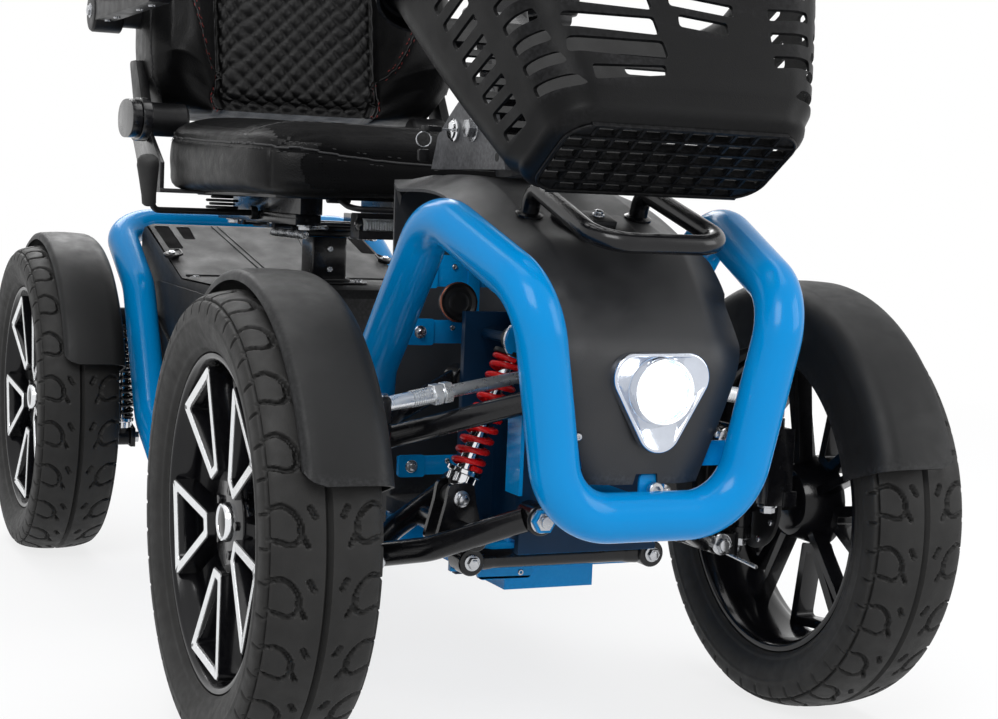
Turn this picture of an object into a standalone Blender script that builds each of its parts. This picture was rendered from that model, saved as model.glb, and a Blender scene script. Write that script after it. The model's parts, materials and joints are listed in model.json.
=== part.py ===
"""An all-terrain mobility scooter with full suspension: part geometry in metres, +Z up.

The scooter faces -Y and stands on z = 0. X runs across it. The box round the whole scooter is centred on
x = 0 and y = 0. Points in front are measured from the middle of the front axle, points behind from the
middle of the rear axle, so the two ends move apart when the wheelbase grows.
"""

import math

import bmesh
import bpy
from mathutils import Matrix, Vector

for leftover in list(bpy.data.objects):
    bpy.data.objects.remove(leftover, do_unlink=True)

# Driving dimensions
WHEELBASE = 0.925
WHEEL_OFFSET = 0.280
TYRE_RADIUS = 0.200
TYRE_WIDTH = 0.100
TYRE_SEGMENTS = 24
RIM_RADIUS = 0.1456
RIM_WIDTH = 0.077
RIM_WALL = 0.0075
HUB_RADIUS = 0.030
AXLE_RADIUS = 0.009
SPOKE_PAIRS = 5
SPOKE_SPREAD = math.radians(11)
BASKET_REACH = 0.235
GAP = 0.0003
RUNNING_GAP = 0.0005

# Heights and places that several pieces share
AXLE_HEIGHT = TYRE_RADIUS
FRONT_AXLE_Y = (BASKET_REACH - WHEELBASE - TYRE_RADIUS) / 2
REAR_AXLE_Y = FRONT_AXLE_Y + WHEELBASE

# Frame
HOOP_RADIUS = 0.021
HOOP_BEND = 0.055
HOOP_NOSE = (-0.191, 0.028)
RAIL_X = 0.118
RAIL_WIDTH = 0.034
RAIL_TOP = -0.030
RAIL_BOTTOM = -0.070
RAIL_START = 0.148
RAIL_END = -0.145
SPINE_HALF = 0.045
BULKHEAD_HALF = 0.068
BULKHEAD_THICKNESS = 0.008
FRONT_BULKHEAD_Y = -0.0785
REAR_BULKHEAD_Y = 0.048
STRAP_THICKNESS = 0.004
STRAP_Y = 0.100
POST_SIZE = 0.042
POST_Y = -0.270
POST_TOP = 0.230
TRAY_TOP = 0.0147
TRAY_THICKNESS = 0.006

# Front suspension
PIN_RADIUS = 0.007
EYE_RADIUS = 0.0135
EYE_LENGTH = 0.028
ARM_REACH = 0.117
ARM_DROP = 0.048
LOWER_PIVOT = (0.060, 0.013)
UPPER_PIVOT = (0.060, 0.115)
LOWER_JOINT = (LOWER_PIVOT[0] + ARM_REACH, LOWER_PIVOT[1] - ARM_DROP)
UPPER_JOINT = (UPPER_PIVOT[0] + ARM_REACH, UPPER_PIVOT[1] - ARM_DROP)
LOWER_TUBE = 0.011
UPPER_TUBE = 0.010
BOSS_RADIUS = 0.011
BOSS_HALF = 0.017
KINGPIN_X = 0.210
KINGPIN_RADIUS = 0.0125
KNUCKLE_LOW = -0.0212
KNUCKLE_HIGH = 0.0582
STEERING_ARM = 0.070
STEERING_ARM_X = 0.196
STEERING_ARM_TOP = 0.0925
DRUM_RADIUS = 0.038
DRUM_X = 0.226
DRUM_THICKNESS = 0.008
ROD_RADIUS = 0.0055
ROD_HOUSING_RADIUS = 0.011
ROD_HOUSING_HEIGHT = 0.024

# Shocks
FRONT_SHOCK_TOP = (0.0473, 0.160)
FRONT_SHOCK_FOOT = (0.1023, 0.020)
FRONT_SHOCK_Y = -0.022
REAR_SHOCK_TOP = 0.110
REAR_SHOCK_FOOT = -0.050
REAR_SHOCK_X = 0.195
REAR_SHOCK_Y = -0.036
SHOCK_PIN = 0.005
SHOCK_EYE = 0.0120
SHOCK_EYE_HALF = 0.010
SHOCK_ROD = 0.0045
SHOCK_BODY = 0.0085
SHOCK_SEAT = 0.0165
SPRING_RADIUS = 0.0130
SPRING_WIRE = 0.0024
FRONT_CURLS = 9
REAR_CURLS = 5
CURL_POINTS = 8

# Fenders
FENDER_RADIUS = 0.214
FENDER_THICKNESS = 0.003
FENDER_INNER_X = 0.2285
FENDER_OUTER_X = 0.300
FENDER_SKIRT = 0.062
FENDER_SHOULDER = 0.016
FENDER_FRONT_ANGLE = math.radians(17)
FENDER_REAR_ANGLE = math.radians(148)

# Steering and tiller
STEERING_LEAN = math.radians(20)
STEERING_PIVOT = (0.100, 0.330)
SHAFT_RADIUS = 0.014
HEAD_TUBE_RADIUS = 0.022
HEAD_TUBE_SPAN = (-0.175, -0.048)
PITMAN_BELOW = 0.243
PITMAN_LENGTH = 0.071
PITMAN_THICKNESS = 0.006
TILT_HEIGHT = 0.022
TILLER_PLATE_X = 0.0370
TILLER_PLATE = 0.005
STEM_HALF = 0.020
STEM_LENGTH = 0.470
GRIP_RADIUS = 0.016
BAR_RADIUS = 0.011
BAR_HALF = 0.285
THROTTLE_BACK = 0.072

# Covers
COVER_THICKNESS = 0.003
DECK_THICKNESS = 0.018
DECK_HALF = 0.185
REAR_COVER_HALF = 0.1545
REAR_COVER_BOTTOM = -0.035
LEDGE_HEIGHT = 0.172
REAR_COVER_TOP = 0.232

# Basket, in its own frame: across, back and up from the middle of its floor
BASKET_TILT = math.radians(33)
BASKET_FLOOR = (0.118, 0.058)
BASKET_RIM = (0.170, 0.120)
BASKET_SHIFT = 0.010
BASKET_ROUND = 0.014
BASKET_EDGE = 0.008
BASKET_HEIGHT = 0.235
BASKET_WALL = 0.003
BASKET_LIP = 0.010
BASKET_RAISE = 0.320

# Seat
CUSHION_HALF = 0.205
CUSHION_FRONT = -0.635
CUSHION_BACK = -0.176
CUSHION_BOTTOM = 0.282
CUSHION_FRONT_HEIGHT = 0.060
CUSHION_BACK_HEIGHT = 0.076
BACK_HALF = 0.200
BACK_PANEL_HALF = 0.108
BACK_HEIGHT = 0.560
BACK_LEAN = math.radians(12)
QUILT_PITCH = 0.048
QUILT_DEPTH = 0.0035
RECLINE_PIVOT = (-0.155, 0.362)
ARM_PIVOT_HEIGHT = 0.500
ARM_BEHIND = 0.065
ARM_CLEARANCE = 0.006


def collection(name, hidden):
    """A new collection in the scene."""
    made = bpy.data.collections.new(name)
    made.hide_render = hidden
    bpy.context.scene.collection.children.link(made)
    return made


PARTS = collection("mobility_scooter", False)
WORK = collection("cutters", True)


def front(x, y, z):
    """A point measured from the middle of the front axle."""
    return Vector((x, FRONT_AXLE_Y + y, AXLE_HEIGHT + z))


def rear(x, y, z):
    """A point measured from the middle of the rear axle."""
    return Vector((x, REAR_AXLE_Y + y, AXLE_HEIGHT + z))


def material(name, colour, roughness, metallic=0.0):
    """A Principled material."""
    made = bpy.data.materials.new(name)
    made.use_nodes = True
    shader = made.node_tree.nodes["Principled BSDF"]
    shader.inputs["Base Color"].default_value = (*colour, 1.0)
    shader.inputs["Roughness"].default_value = roughness
    shader.inputs["Metallic"].default_value = metallic
    return made


BLUE_PAINT = ((0.0, 0.24, 0.80), 0.25, 0.0)
BLACK_PAINT = ((0.012, 0.012, 0.013), 0.35, 0.0)
CHARCOAL = ((0.030, 0.031, 0.033), 0.50, 0.0)
GREY_PAINT = ((0.14, 0.14, 0.145), 0.45, 0.0)
BLACK_PLASTIC = ((0.015, 0.015, 0.016), 0.45, 0.0)
RUBBER = ((0.018, 0.018, 0.018), 0.80, 0.0)
LEATHER = ((0.016, 0.016, 0.017), 0.55, 0.0)
STEEL = ((0.60, 0.61, 0.62), 0.25, 1.0)
CHROME = ((0.80, 0.80, 0.81), 0.10, 1.0)
SPRING_RED = ((0.75, 0.01, 0.015), 0.30, 0.0)
RIM_BLACK = ((0.02, 0.02, 0.022), 0.30, 0.3)
LAMP = ((0.85, 0.88, 0.92), 0.10, 0.0)


def work_object(mesh):
    """Puts a mesh in the scene as a shape to work on."""
    obj = bpy.data.objects.new(mesh.name, mesh)
    obj.display_type = "WIRE"
    obj.hide_render = True
    WORK.objects.link(obj)
    return obj


def from_bmesh(name, shape):
    mesh = bpy.data.meshes.new(name)
    shape.to_mesh(mesh)
    shape.free()
    return work_object(mesh)


def baked(obj):
    """The object's evaluated shape as a plain closed mesh, in place of the object."""
    graph = bpy.context.evaluated_depsgraph_get()
    mesh = bpy.data.meshes.new_from_object(obj.evaluated_get(graph))
    mesh.transform(obj.matrix_world)
    shape = bmesh.new()
    shape.from_mesh(mesh)
    bmesh.ops.remove_doubles(shape, verts=shape.verts, dist=0.000002)
    bmesh.ops.recalc_face_normals(shape, faces=shape.faces)
    bpy.data.objects.remove(obj, do_unlink=True)
    bpy.data.meshes.remove(mesh)
    return from_bmesh("shape", shape)


def box(low, high):
    """An upright box between two corners."""
    low, high = Vector(low), Vector(high)
    shape = bmesh.new()
    bmesh.ops.create_cube(shape, size=1.0)
    for vert in shape.verts:
        vert.co = Vector(((low + high)[i] / 2 + vert.co[i] * (high - low)[i] for i in range(3)))
    return from_bmesh("box", shape)


def cylinder(start, end, radius, sides=16, end_radius=None):
    """A round bar, or a cone, from start to end, with a flat side facing down."""
    start, end = Vector(start), Vector(end)
    along = end - start
    shape = bmesh.new()
    bmesh.ops.create_cone(shape, cap_ends=True, segments=sides, radius1=radius,
                          radius2=radius if end_radius is None else end_radius, depth=along.length)
    turn = along.to_track_quat("Z", "Y").to_matrix().to_4x4()
    half_step = Matrix.Rotation(math.pi / sides, 4, "Z")
    place = Matrix.Translation((start + end) / 2)
    bmesh.ops.transform(shape, matrix=place @ turn @ half_step, verts=shape.verts)
    return from_bmesh("cylinder", shape)


def turned(profile, centre, axis, sides):
    """A closed outline of (radius to the flats, distance along the axis) points, turned about an axis."""
    shape = bmesh.new()
    to_corner = 1 / math.cos(math.pi / sides)
    corners = [shape.verts.new((radius * to_corner, 0.0, along)) for radius, along in profile]
    for corner, following in zip(corners, corners[1:] + corners[:1]):
        shape.edges.new((corner, following))
    obj = from_bmesh("turned", shape)
    screw = obj.modifiers.new("Screw", "SCREW")
    screw.steps = sides
    screw.render_steps = sides
    screw.use_merge_vertices = True
    screw.merge_threshold = 0.00001
    turn = Vector(axis).to_track_quat("Z", "Y").to_matrix().to_4x4()
    obj.matrix_world = Matrix.Translation(centre) @ turn @ Matrix.Rotation(math.pi / sides, 4, "Z")
    bpy.context.view_layer.update()
    return baked(obj)


def rounded(corners, bend, step=math.radians(30)):
    """The corners joined by straight runs, with each inner corner replaced by an arc."""
    corners = [Vector(corner) for corner in corners]
    bends = bend if isinstance(bend, (list, tuple)) else [bend] * (len(corners) - 2)
    path = [corners[0]]
    for before, corner, after, radius in zip(corners, corners[1:], corners[2:], bends):
        towards = (before - corner).normalized()
        away = (after - corner).normalized()
        turn = math.pi - towards.angle(away)
        if turn < math.radians(2):
            path.append(corner)
            continue
        centre = corner + (towards + away).normalized() * (radius / math.cos(turn / 2))
        reach = radius * math.tan(turn / 2)
        first = corner + towards * reach - centre
        axis = first.cross(corner + away * reach - centre).normalized()
        steps = max(1, round(turn / step))
        path += [centre + Matrix.Rotation(turn * i / steps, 3, axis) @ first for i in range(steps + 1)]
    return [*path, corners[-1]]


def tube(points, radius, resolution=1):
    """A round tube along the points, with flat caps."""
    curve = bpy.data.curves.new("tube", "CURVE")
    curve.dimensions = "3D"
    curve.bevel_depth = radius
    curve.bevel_resolution = resolution
    curve.use_fill_caps = True
    spline = curve.splines.new("POLY")
    spline.points.add(len(points) - 1)
    for control, point in zip(spline.points, points):
        control.co = (*point, 1.0)
    obj = bpy.data.objects.new("tube", curve)
    WORK.objects.link(obj)
    bpy.context.view_layer.update()
    return baked(obj)


def plate(outline, axis, low, high, place=front):
    """A flat outline of two coordinates, extruded along the third axis from low to high."""
    shape = bmesh.new()
    index = "XYZ".index(axis)
    rims = []
    for level in (low, high):
        ring = []
        for pair in outline:
            point = list(pair)
            point.insert(index, level)
            ring.append(shape.verts.new(place(*point)))
        rims.append(ring)
        shape.faces.new(ring)
    for i in range(len(outline)):
        j = (i + 1) % len(outline)
        shape.faces.new((rims[0][i], rims[0][j], rims[1][j], rims[1][i]))
    bmesh.ops.recalc_face_normals(shape, faces=shape.faces)
    return from_bmesh("plate", shape)


def grid_solid(rings):
    """A closed solid from rings of points, each ring joined to the next and the two end rings capped."""
    shape = bmesh.new()
    made = [[shape.verts.new(point) for point in ring] for ring in rings]
    count = len(made[0])
    for lower, upper in zip(made, made[1:]):
        for i in range(count):
            j = (i + 1) % count
            shape.faces.new((lower[i], lower[j], upper[j], upper[i]))
    shape.faces.new(made[0])
    shape.faces.new(made[-1])
    bmesh.ops.recalc_face_normals(shape, faces=shape.faces)
    return from_bmesh("solid", shape)


def fused(pieces, cutters=()):
    """All pieces in one body, with the cutters taken out of it."""
    body = pieces[0]
    steps = [(piece, "UNION") for piece in pieces[1:]] + [(cutter, "DIFFERENCE") for cutter in cutters]
    for other, operation in steps:
        change = body.modifiers.new(operation.title(), "BOOLEAN")
        change.operation = operation
        change.solver = "EXACT"
        change.object = other
    result = baked(body)
    for other, _ in steps:
        bpy.data.objects.remove(other, do_unlink=True)
    return result


def moved(obj, matrix):
    obj.data.transform(matrix)
    return obj


PIVOTS = {}


def pivot(name, point, parent=None):
    """An empty on a joint's axis, which carries what turns or slides there."""
    empty = bpy.data.objects.new(name, None)
    empty.empty_display_size = 0.03
    PARTS.objects.link(empty)
    empty.location = point
    if parent:
        empty.parent = PIVOTS[parent][0]
        empty.location = Vector(point) - PIVOTS[parent][1]
    PIVOTS[name] = (empty, Vector(point))
    return name


def node(name, obj, look, hung_on=None, smooth=math.radians(35)):
    """Turns a finished shape into a named sub-part with its own material, hung on its joint."""
    WORK.objects.unlink(obj)
    PARTS.objects.link(obj)
    obj.name = name
    obj.data.name = name
    obj.hide_render = False
    obj.display_type = "TEXTURED"
    obj.data.materials.clear()
    obj.data.materials.append(material(name, *look))
    if hung_on:
        empty, place = PIVOTS[hung_on]
        obj.data.transform(Matrix.Translation(-place))
        obj.parent = empty
    obj.data.shade_smooth()
    obj.data.set_sharp_from_angle(angle=smooth)
    return obj


def sided(side):
    """The rider faces -Y, so +X is the rider's left."""
    return "left" if side > 0 else "right"


STEERING_AXIS = Vector((0, math.sin(STEERING_LEAN), math.cos(STEERING_LEAN)))
STEERING_FORWARD = Vector((0, -math.cos(STEERING_LEAN), math.sin(STEERING_LEAN)))


def on_steering_axis(distance, ahead=0.0, across=0.0):
    """A point at a distance up the steering axis from the top of the head tube, then ahead and across."""
    base = front(0, STEERING_PIVOT[0], STEERING_PIVOT[1])
    return base + STEERING_AXIS * distance + STEERING_FORWARD * ahead + Vector((across, 0, 0))


def steering_block(low, high):
    """A box in the steering axis's own frame, from (across, ahead, up) corners."""
    block = box(low, high)
    turn = Matrix((Vector((1, 0, 0)), STEERING_FORWARD, STEERING_AXIS)).transposed().to_4x4()
    return moved(block, Matrix.Translation(on_steering_axis(0)) @ turn)


def chassis_frame():
    """Rails, spine, bulkheads, pivot pins, head tube, straps, seat post and battery tray, welded in one."""
    half_rail = RAIL_WIDTH / 2
    pieces = [box(front(-SPINE_HALF, -0.012, RAIL_BOTTOM), front(SPINE_HALF, 0.300, RAIL_TOP))]
    for side in (-1, 1):
        inner = side * (RAIL_X - half_rail)
        outer = side * (RAIL_X + half_rail)
        low_x, high_x = sorted((inner, outer))
        pieces.append(box(front(low_x, RAIL_START, RAIL_BOTTOM), rear(high_x, RAIL_END, RAIL_TOP)))
    reach = RAIL_X + 0.002
    cover_reach = REAR_COVER_HALF - COVER_THICKNESS - GAP
    crossbars = (
        (front, 0.165, half_rail, reach),
        (rear, -0.400, half_rail, cover_reach),
        (rear, POST_Y, POST_SIZE / 2 + 0.002, cover_reach),
    )
    for place, y, half, half_width in crossbars:
        pieces.append(box(place(-half_width, y - half, RAIL_BOTTOM + 0.001),
                          place(half_width, y + half, RAIL_TOP - 0.001)))
    pieces.append(seat_post())
    pieces += battery_tray()
    pieces += front_subframe()
    bore = cylinder(on_steering_axis(-PITMAN_BELOW), on_steering_axis(0.02), SHAFT_RADIUS + RUNNING_GAP, 12)
    node("chassis_frame", fused(pieces, [bore]), BLUE_PAINT)


def seat_post():
    half = POST_SIZE / 2
    return box(rear(-half, POST_Y - half, RAIL_BOTTOM + 0.002), rear(half, POST_Y + half, POST_TOP))


def battery_tray():
    """A tray above the swing arm, on four short legs from the rails."""
    low = TRAY_TOP - TRAY_THICKNESS
    pieces = [box(rear(-RAIL_X - 0.004, -0.245, low), rear(RAIL_X + 0.004, -0.150, TRAY_TOP))]
    for side in (-1, 1):
        low_x, high_x = sorted((side * (RAIL_X - 0.008), side * (RAIL_X + 0.008)))
        pieces.append(box(rear(low_x, -0.235, RAIL_TOP - 0.002), rear(high_x, -0.160, low + 0.002)))
    return pieces


def front_subframe():
    """Two bulkheads on a floor and ribs, with the wishbone and shock pins, the head tube and the straps."""
    front_face = FRONT_BULKHEAD_Y - BULKHEAD_THICKNESS
    rear_face = REAR_BULKHEAD_Y + BULKHEAD_THICKNESS
    floor = (-0.022, -0.012)
    pieces = [
        box(front(-BULKHEAD_HALF, front_face, floor[0]), front(BULKHEAD_HALF, FRONT_BULKHEAD_Y, 0.130)),
        box(front(-BULKHEAD_HALF, REAR_BULKHEAD_Y, RAIL_BOTTOM + 0.003),
            front(BULKHEAD_HALF, rear_face, 0.180)),
        box(front(-SPINE_HALF + 0.001, front_face + 0.002, floor[0] + 0.001),
            front(SPINE_HALF - 0.001, REAR_BULKHEAD_Y + 0.002, floor[1])),
        box(front(-SPINE_HALF + 0.002, -0.011, RAIL_TOP - 0.002),
            front(SPINE_HALF - 0.002, REAR_BULKHEAD_Y + 0.001, floor[0] + 0.004)),
        box(front(-0.015, HOOP_NOSE[0] + HOOP_RADIUS + GAP, HOOP_NOSE[1] - 0.010),
            front(0.015, FRONT_BULKHEAD_Y - 0.003, HOOP_NOSE[1] + 0.010)),
    ]
    for side in (-1, 1):
        low_x, high_x = sorted((side * 0.028, side * 0.034))
        pieces.append(box(front(low_x, front_face + 0.003, floor[1] - 0.002),
                          front(high_x, REAR_BULKHEAD_Y + 0.003, 0.084)))
        for x, z in (LOWER_PIVOT, UPPER_PIVOT):
            pieces += arm_pin(side * x, z, front_face, rear_face)
        top_x, top_z = FRONT_SHOCK_TOP
        eye_front = FRONT_SHOCK_Y - SHOCK_EYE_HALF - GAP
        pieces.append(cylinder(front(side * top_x, rear_face - 0.002, top_z),
                               front(side * top_x, eye_front - 0.003, top_z), SHOCK_PIN, 8))
        pieces.append(cylinder(front(side * top_x, eye_front, top_z),
                               front(side * top_x, eye_front - 0.004, top_z), 0.0110, 6))
        low_x, high_x = sorted((side * 0.034, side * 0.046))
        pieces.append(box(front(low_x, STRAP_Y - 0.005, RAIL_BOTTOM + 0.004),
                          front(high_x, STRAP_Y + 0.003, 0.229)))
    half_strap = STRAP_THICKNESS / 2
    for half, low, high in ((0.104, 0.200, 0.230), (0.106, 0.146, 0.168), (0.110, 0.020, 0.038)):
        pieces.append(box(front(-half, STRAP_Y - half_strap, low), front(half, STRAP_Y + half_strap, high)))
    pieces.append(box(front(-0.100, -0.0145, -0.050), front(0.100, -0.0085, -0.026)))
    pieces.append(cylinder(on_steering_axis(HEAD_TUBE_SPAN[0]), on_steering_axis(HEAD_TUBE_SPAN[1]),
                           HEAD_TUBE_RADIUS, 12))
    return pieces


def arm_pin(x, z, front_face, rear_face):
    """The two bolts on which a wishbone turns, one outside each bulkhead, with hexagon heads."""
    reach_front = front_face - GAP - EYE_LENGTH - GAP
    reach_rear = rear_face + GAP + EYE_LENGTH + GAP
    head = 0.006
    return [
        cylinder(front(x, reach_front - head / 2, z), front(x, FRONT_BULKHEAD_Y - 0.001, z), PIN_RADIUS, 8),
        cylinder(front(x, REAR_BULKHEAD_Y + 0.001, z), front(x, reach_rear + head / 2, z), PIN_RADIUS, 8),
        cylinder(front(x, reach_front - head, z), front(x, reach_front, z), 0.0110, 6),
        cylinder(front(x, reach_rear, z), front(x, reach_rear + head, z), 0.0110, 6),
    ]


def front_hoop():
    """One bent tube: up from each rail, over the shoulders and down round the nose, with two cover tabs."""
    half = [
        (RAIL_X, 0.165, RAIL_TOP + GAP),
        (RAIL_X, 0.165, 0.015),
        (0.140, 0.090, 0.125),
        (0.140, -0.044, 0.273),
        (0.1165, -0.2035, 0.211),
        (0.082, *HOOP_NOSE),
    ]
    corners = [front(*point) for point in half]
    corners += [front(-x, y, z) for x, y, z in reversed(half)]
    bends = [0.035, HOOP_BEND, HOOP_BEND, HOOP_BEND, HOOP_BEND]
    pieces = [tube(rounded(corners, [*bends, *reversed(bends)]), HOOP_RADIUS, 2)]
    for side in (-1, 1):
        low_x, high_x = sorted((side * 0.048, side * 0.090))
        pieces.append(box(front(low_x, -0.1749, 0.067), front(high_x, -0.1709, 0.088)))
    node("front_hoop", fused(pieces), BLUE_PAINT)


def rear_hoop():
    """The bent tube round the rear body, with an ear and a pin for each rear shock."""
    rail_side = RAIL_X + RAIL_WIDTH / 2 + GAP
    half = [
        (rail_side, -0.225, -0.058),
        (0.180, -0.225, -0.058),
        (0.180, -0.138, -0.012),
        (0.180, -0.053, 0.152),
        (0.180, 0.085, 0.230),
    ]
    corners = [rear(*point) for point in half]
    corners += [rear(-x, y, z) for x, y, z in reversed(half)]
    bends = [0.024, HOOP_BEND, HOOP_BEND, HOOP_BEND]
    pieces = [tube(rounded(corners, [*bends, *reversed(bends)]), HOOP_RADIUS, 2)]
    for side in (-1, 1):
        ear_inner = REAR_SHOCK_X - SHOCK_EYE_HALF - GAP - 0.008
        ear_outer = REAR_SHOCK_X - SHOCK_EYE_HALF - GAP
        low_x, high_x = sorted((side * ear_inner, side * ear_outer))
        pieces.append(box(rear(low_x, REAR_SHOCK_Y - 0.029, REAR_SHOCK_TOP - 0.010),
                          rear(high_x, REAR_SHOCK_Y + 0.010, REAR_SHOCK_TOP + 0.010)))
        pin_end = REAR_SHOCK_X + SHOCK_EYE_HALF + 0.002
        pieces.append(cylinder(rear(side * (ear_outer - 0.004), REAR_SHOCK_Y, REAR_SHOCK_TOP),
                               rear(side * pin_end, REAR_SHOCK_Y, REAR_SHOCK_TOP), SHOCK_PIN, 8))
    node("rear_hoop", fused(pieces), BLUE_PAINT)


COVER_STATIONS = (
    # distance behind the axle, height, crease half width, edge half width, edge drop
    (-0.184, 0.054, 0.036, 0.053, 0.000),
    (-0.196, 0.130, 0.052, 0.075, 0.000),
    (-0.195, 0.160, 0.058, 0.083, 0.000),
    (-0.180, 0.184, 0.062, 0.087, 0.004),
    (-0.120, 0.245, 0.062, 0.094, 0.014),
    (-0.070, 0.265, 0.060, 0.100, 0.016),
    (0.040, 0.302, 0.055, 0.100, 0.015),
    (0.170, 0.305, 0.050, 0.092, 0.014),
    (0.186, 0.290, 0.050, 0.090, 0.000),
    (0.180, 0.150, 0.050, 0.090, 0.000),
    (0.175, -0.0112, 0.050, 0.088, 0.000),
)


def front_cover():
    """The nose cover: a strip up the nose, over the top and down behind, folded along two creases."""
    shape = bmesh.new()
    rows = []
    for y, z, crease, edge, drop in COVER_STATIONS:
        back = 0.008 if y < -0.15 else 0.0
        points = ((-edge, y + back, z - drop), (-crease, y, z), (crease, y, z), (edge, y + back, z - drop))
        rows.append([shape.verts.new(front(*point)) for point in points])
    for lower, upper in zip(rows, rows[1:]):
        for i in range(3):
            shape.faces.new((lower[i], lower[i + 1], upper[i + 1], upper[i]))
    bmesh.ops.recalc_face_normals(shape, faces=shape.faces)
    skin = from_bmesh("skin", shape)
    thick = skin.modifiers.new("Solidify", "SOLIDIFY")
    thick.thickness = COVER_THICKNESS
    thick.offset = -1.0
    cover = baked(skin)
    hole = cylinder(on_steering_axis(-0.09), on_steering_axis(0.05), HEAD_TUBE_RADIUS + 0.004, 12)
    node("front_cover", fused([cover], [hole]), CHARCOAL)


def headlight():
    """A rounded triangular bezel with a domed lens in it."""
    face = -0.196 - GAP
    corners = ((-0.034, 0.034), (0.034, 0.034), (0.0, -0.044))
    radius = 0.016
    outline = []
    for index, (x, z) in enumerate(corners):
        inward = Vector((-x, -z)).normalized()
        centre = Vector((x, z)) + inward * radius
        middle = (math.radians(140), math.radians(40), math.radians(-90))[index]
        for step in (58, 20, -20, -58):
            angle = middle + math.radians(step)
            outline.append((centre.x + radius * math.cos(angle), 0.129 + centre.y + radius * math.sin(angle)))
    bezel = plate(outline, "Y", face - 0.009, face)
    lens = cylinder(front(0, face - 0.004, 0.134), front(0, face - 0.015, 0.134), 0.028, 12)
    dome = cylinder(front(0, face - 0.0145, 0.134), front(0, face - 0.020, 0.134), 0.027, 12, 0.016)
    node("headlight", fused([bezel, lens, dome]), LAMP)


def grab_loop():
    """The loop on top of the nose: a U-shaped tube whose ends stand on the cover."""
    top_slope = math.atan2(0.302 - 0.265, 0.110)
    up = Vector((0, -math.sin(top_slope), math.cos(top_slope)))
    half = [front(0.054, -0.050, 0.2718) + up * GAP, front(0.054, -0.050, 0.2718) + up * 0.027,
            front(0.060, -0.200, 0.2540)]
    corners = half + [Vector((-point.x, point.y, point.z)) for point in reversed(half)]
    node("grab_loop", tube(rounded(corners, [0.016, 0.030, 0.030, 0.016]), 0.0085), BLACK_PAINT)


def cross_link():
    """A tube with a bolt eye at each end, in front of the subframe's lower plate."""
    z = -0.037
    back = -0.0145 - GAP
    pieces = [cylinder(front(-0.086, -0.028, z), front(0.086, -0.028, z), 0.0085, 8)]
    for side in (-1, 1):
        x = side * 0.091
        pieces.append(cylinder(front(x, back, z), front(x, back - 0.026, z), 0.0125, 12))
    node("cross_link", fused(pieces), BLACK_PAINT)


def foot_deck():
    """The floor panel, narrow between the front wheels and wide where the feet rest."""
    narrow = 0.088
    deck_end = WHEELBASE - 0.428
    outline = [(narrow, 0.116), (narrow, 0.200), (DECK_HALF, 0.262), (DECK_HALF, deck_end)]
    outline += [(-x, y) for x, y in reversed(outline)]
    low = RAIL_TOP + GAP
    node("foot_deck", plate(outline, "Z", low, low + DECK_THICKNESS), BLACK_PLASTIC)


def rear_cover():
    """The rear body: an open-bottomed shell with a flat ledge, a slope up to its back and wheel cut-outs."""
    half = REAR_COVER_HALF
    side = ((-0.425, REAR_COVER_BOTTOM), (-0.425, LEDGE_HEIGHT - 0.010), (-0.415, LEDGE_HEIGHT),
            (-0.165, LEDGE_HEIGHT), (0.028, REAR_COVER_TOP), (0.047, REAR_COVER_TOP - 0.002),
            (0.055, REAR_COVER_TOP - 0.014), (0.055, REAR_COVER_BOTTOM))
    shell = plate(side, "X", -half, half, rear)
    bevel = shell.modifiers.new("Bevel", "BEVEL")
    bevel.width = 0.012
    bevel.segments = 2
    bevel.limit_method = "ANGLE"
    bevel.angle_limit = math.radians(60)
    shell = baked(shell)
    t = COVER_THICKNESS
    hollow = ((side[0][0] + t, REAR_COVER_BOTTOM - 0.05), (side[1][0] + t, side[1][1] - t),
              (side[2][0] + t, side[2][1] - t), (side[3][0] + t, side[3][1] - t),
              (side[4][0], side[4][1] - t), (side[6][0] - t, side[6][1] - t),
              (side[7][0] - t, REAR_COVER_BOTTOM - 0.05))
    cutters = [plate(hollow, "X", -half + t, half - t, rear)]
    cutters.append(box(rear(-half - 0.01, -0.070, REAR_COVER_BOTTOM - 0.01), rear(half + 0.01, 0.07, 0.100)))
    gap = POST_SIZE / 2 + RUNNING_GAP
    cutters.append(box(rear(-gap, POST_Y - gap, 0.10), rear(gap, POST_Y + gap, 0.20)))
    rails = RAIL_X + RAIL_WIDTH / 2 + 0.003
    cutters.append(box(rear(-rails, -0.44, REAR_COVER_BOTTOM - 0.01), rear(rails, -0.40, RAIL_TOP + 0.003)))
    node("rear_cover", fused([shell], cutters), CHARCOAL)


def battery_pack():
    """The battery box on its tray behind the seat post."""
    low = TRAY_TOP + GAP
    body = box(rear(-0.110, -0.240, low), rear(0.110, -0.153, low + 0.145))
    lid = box(rear(-0.112, -0.242, low + 0.120), rear(0.112, -0.152, low + 0.150))
    node("battery_pack", fused([body, lid]), BLACK_PLASTIC)


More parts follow.
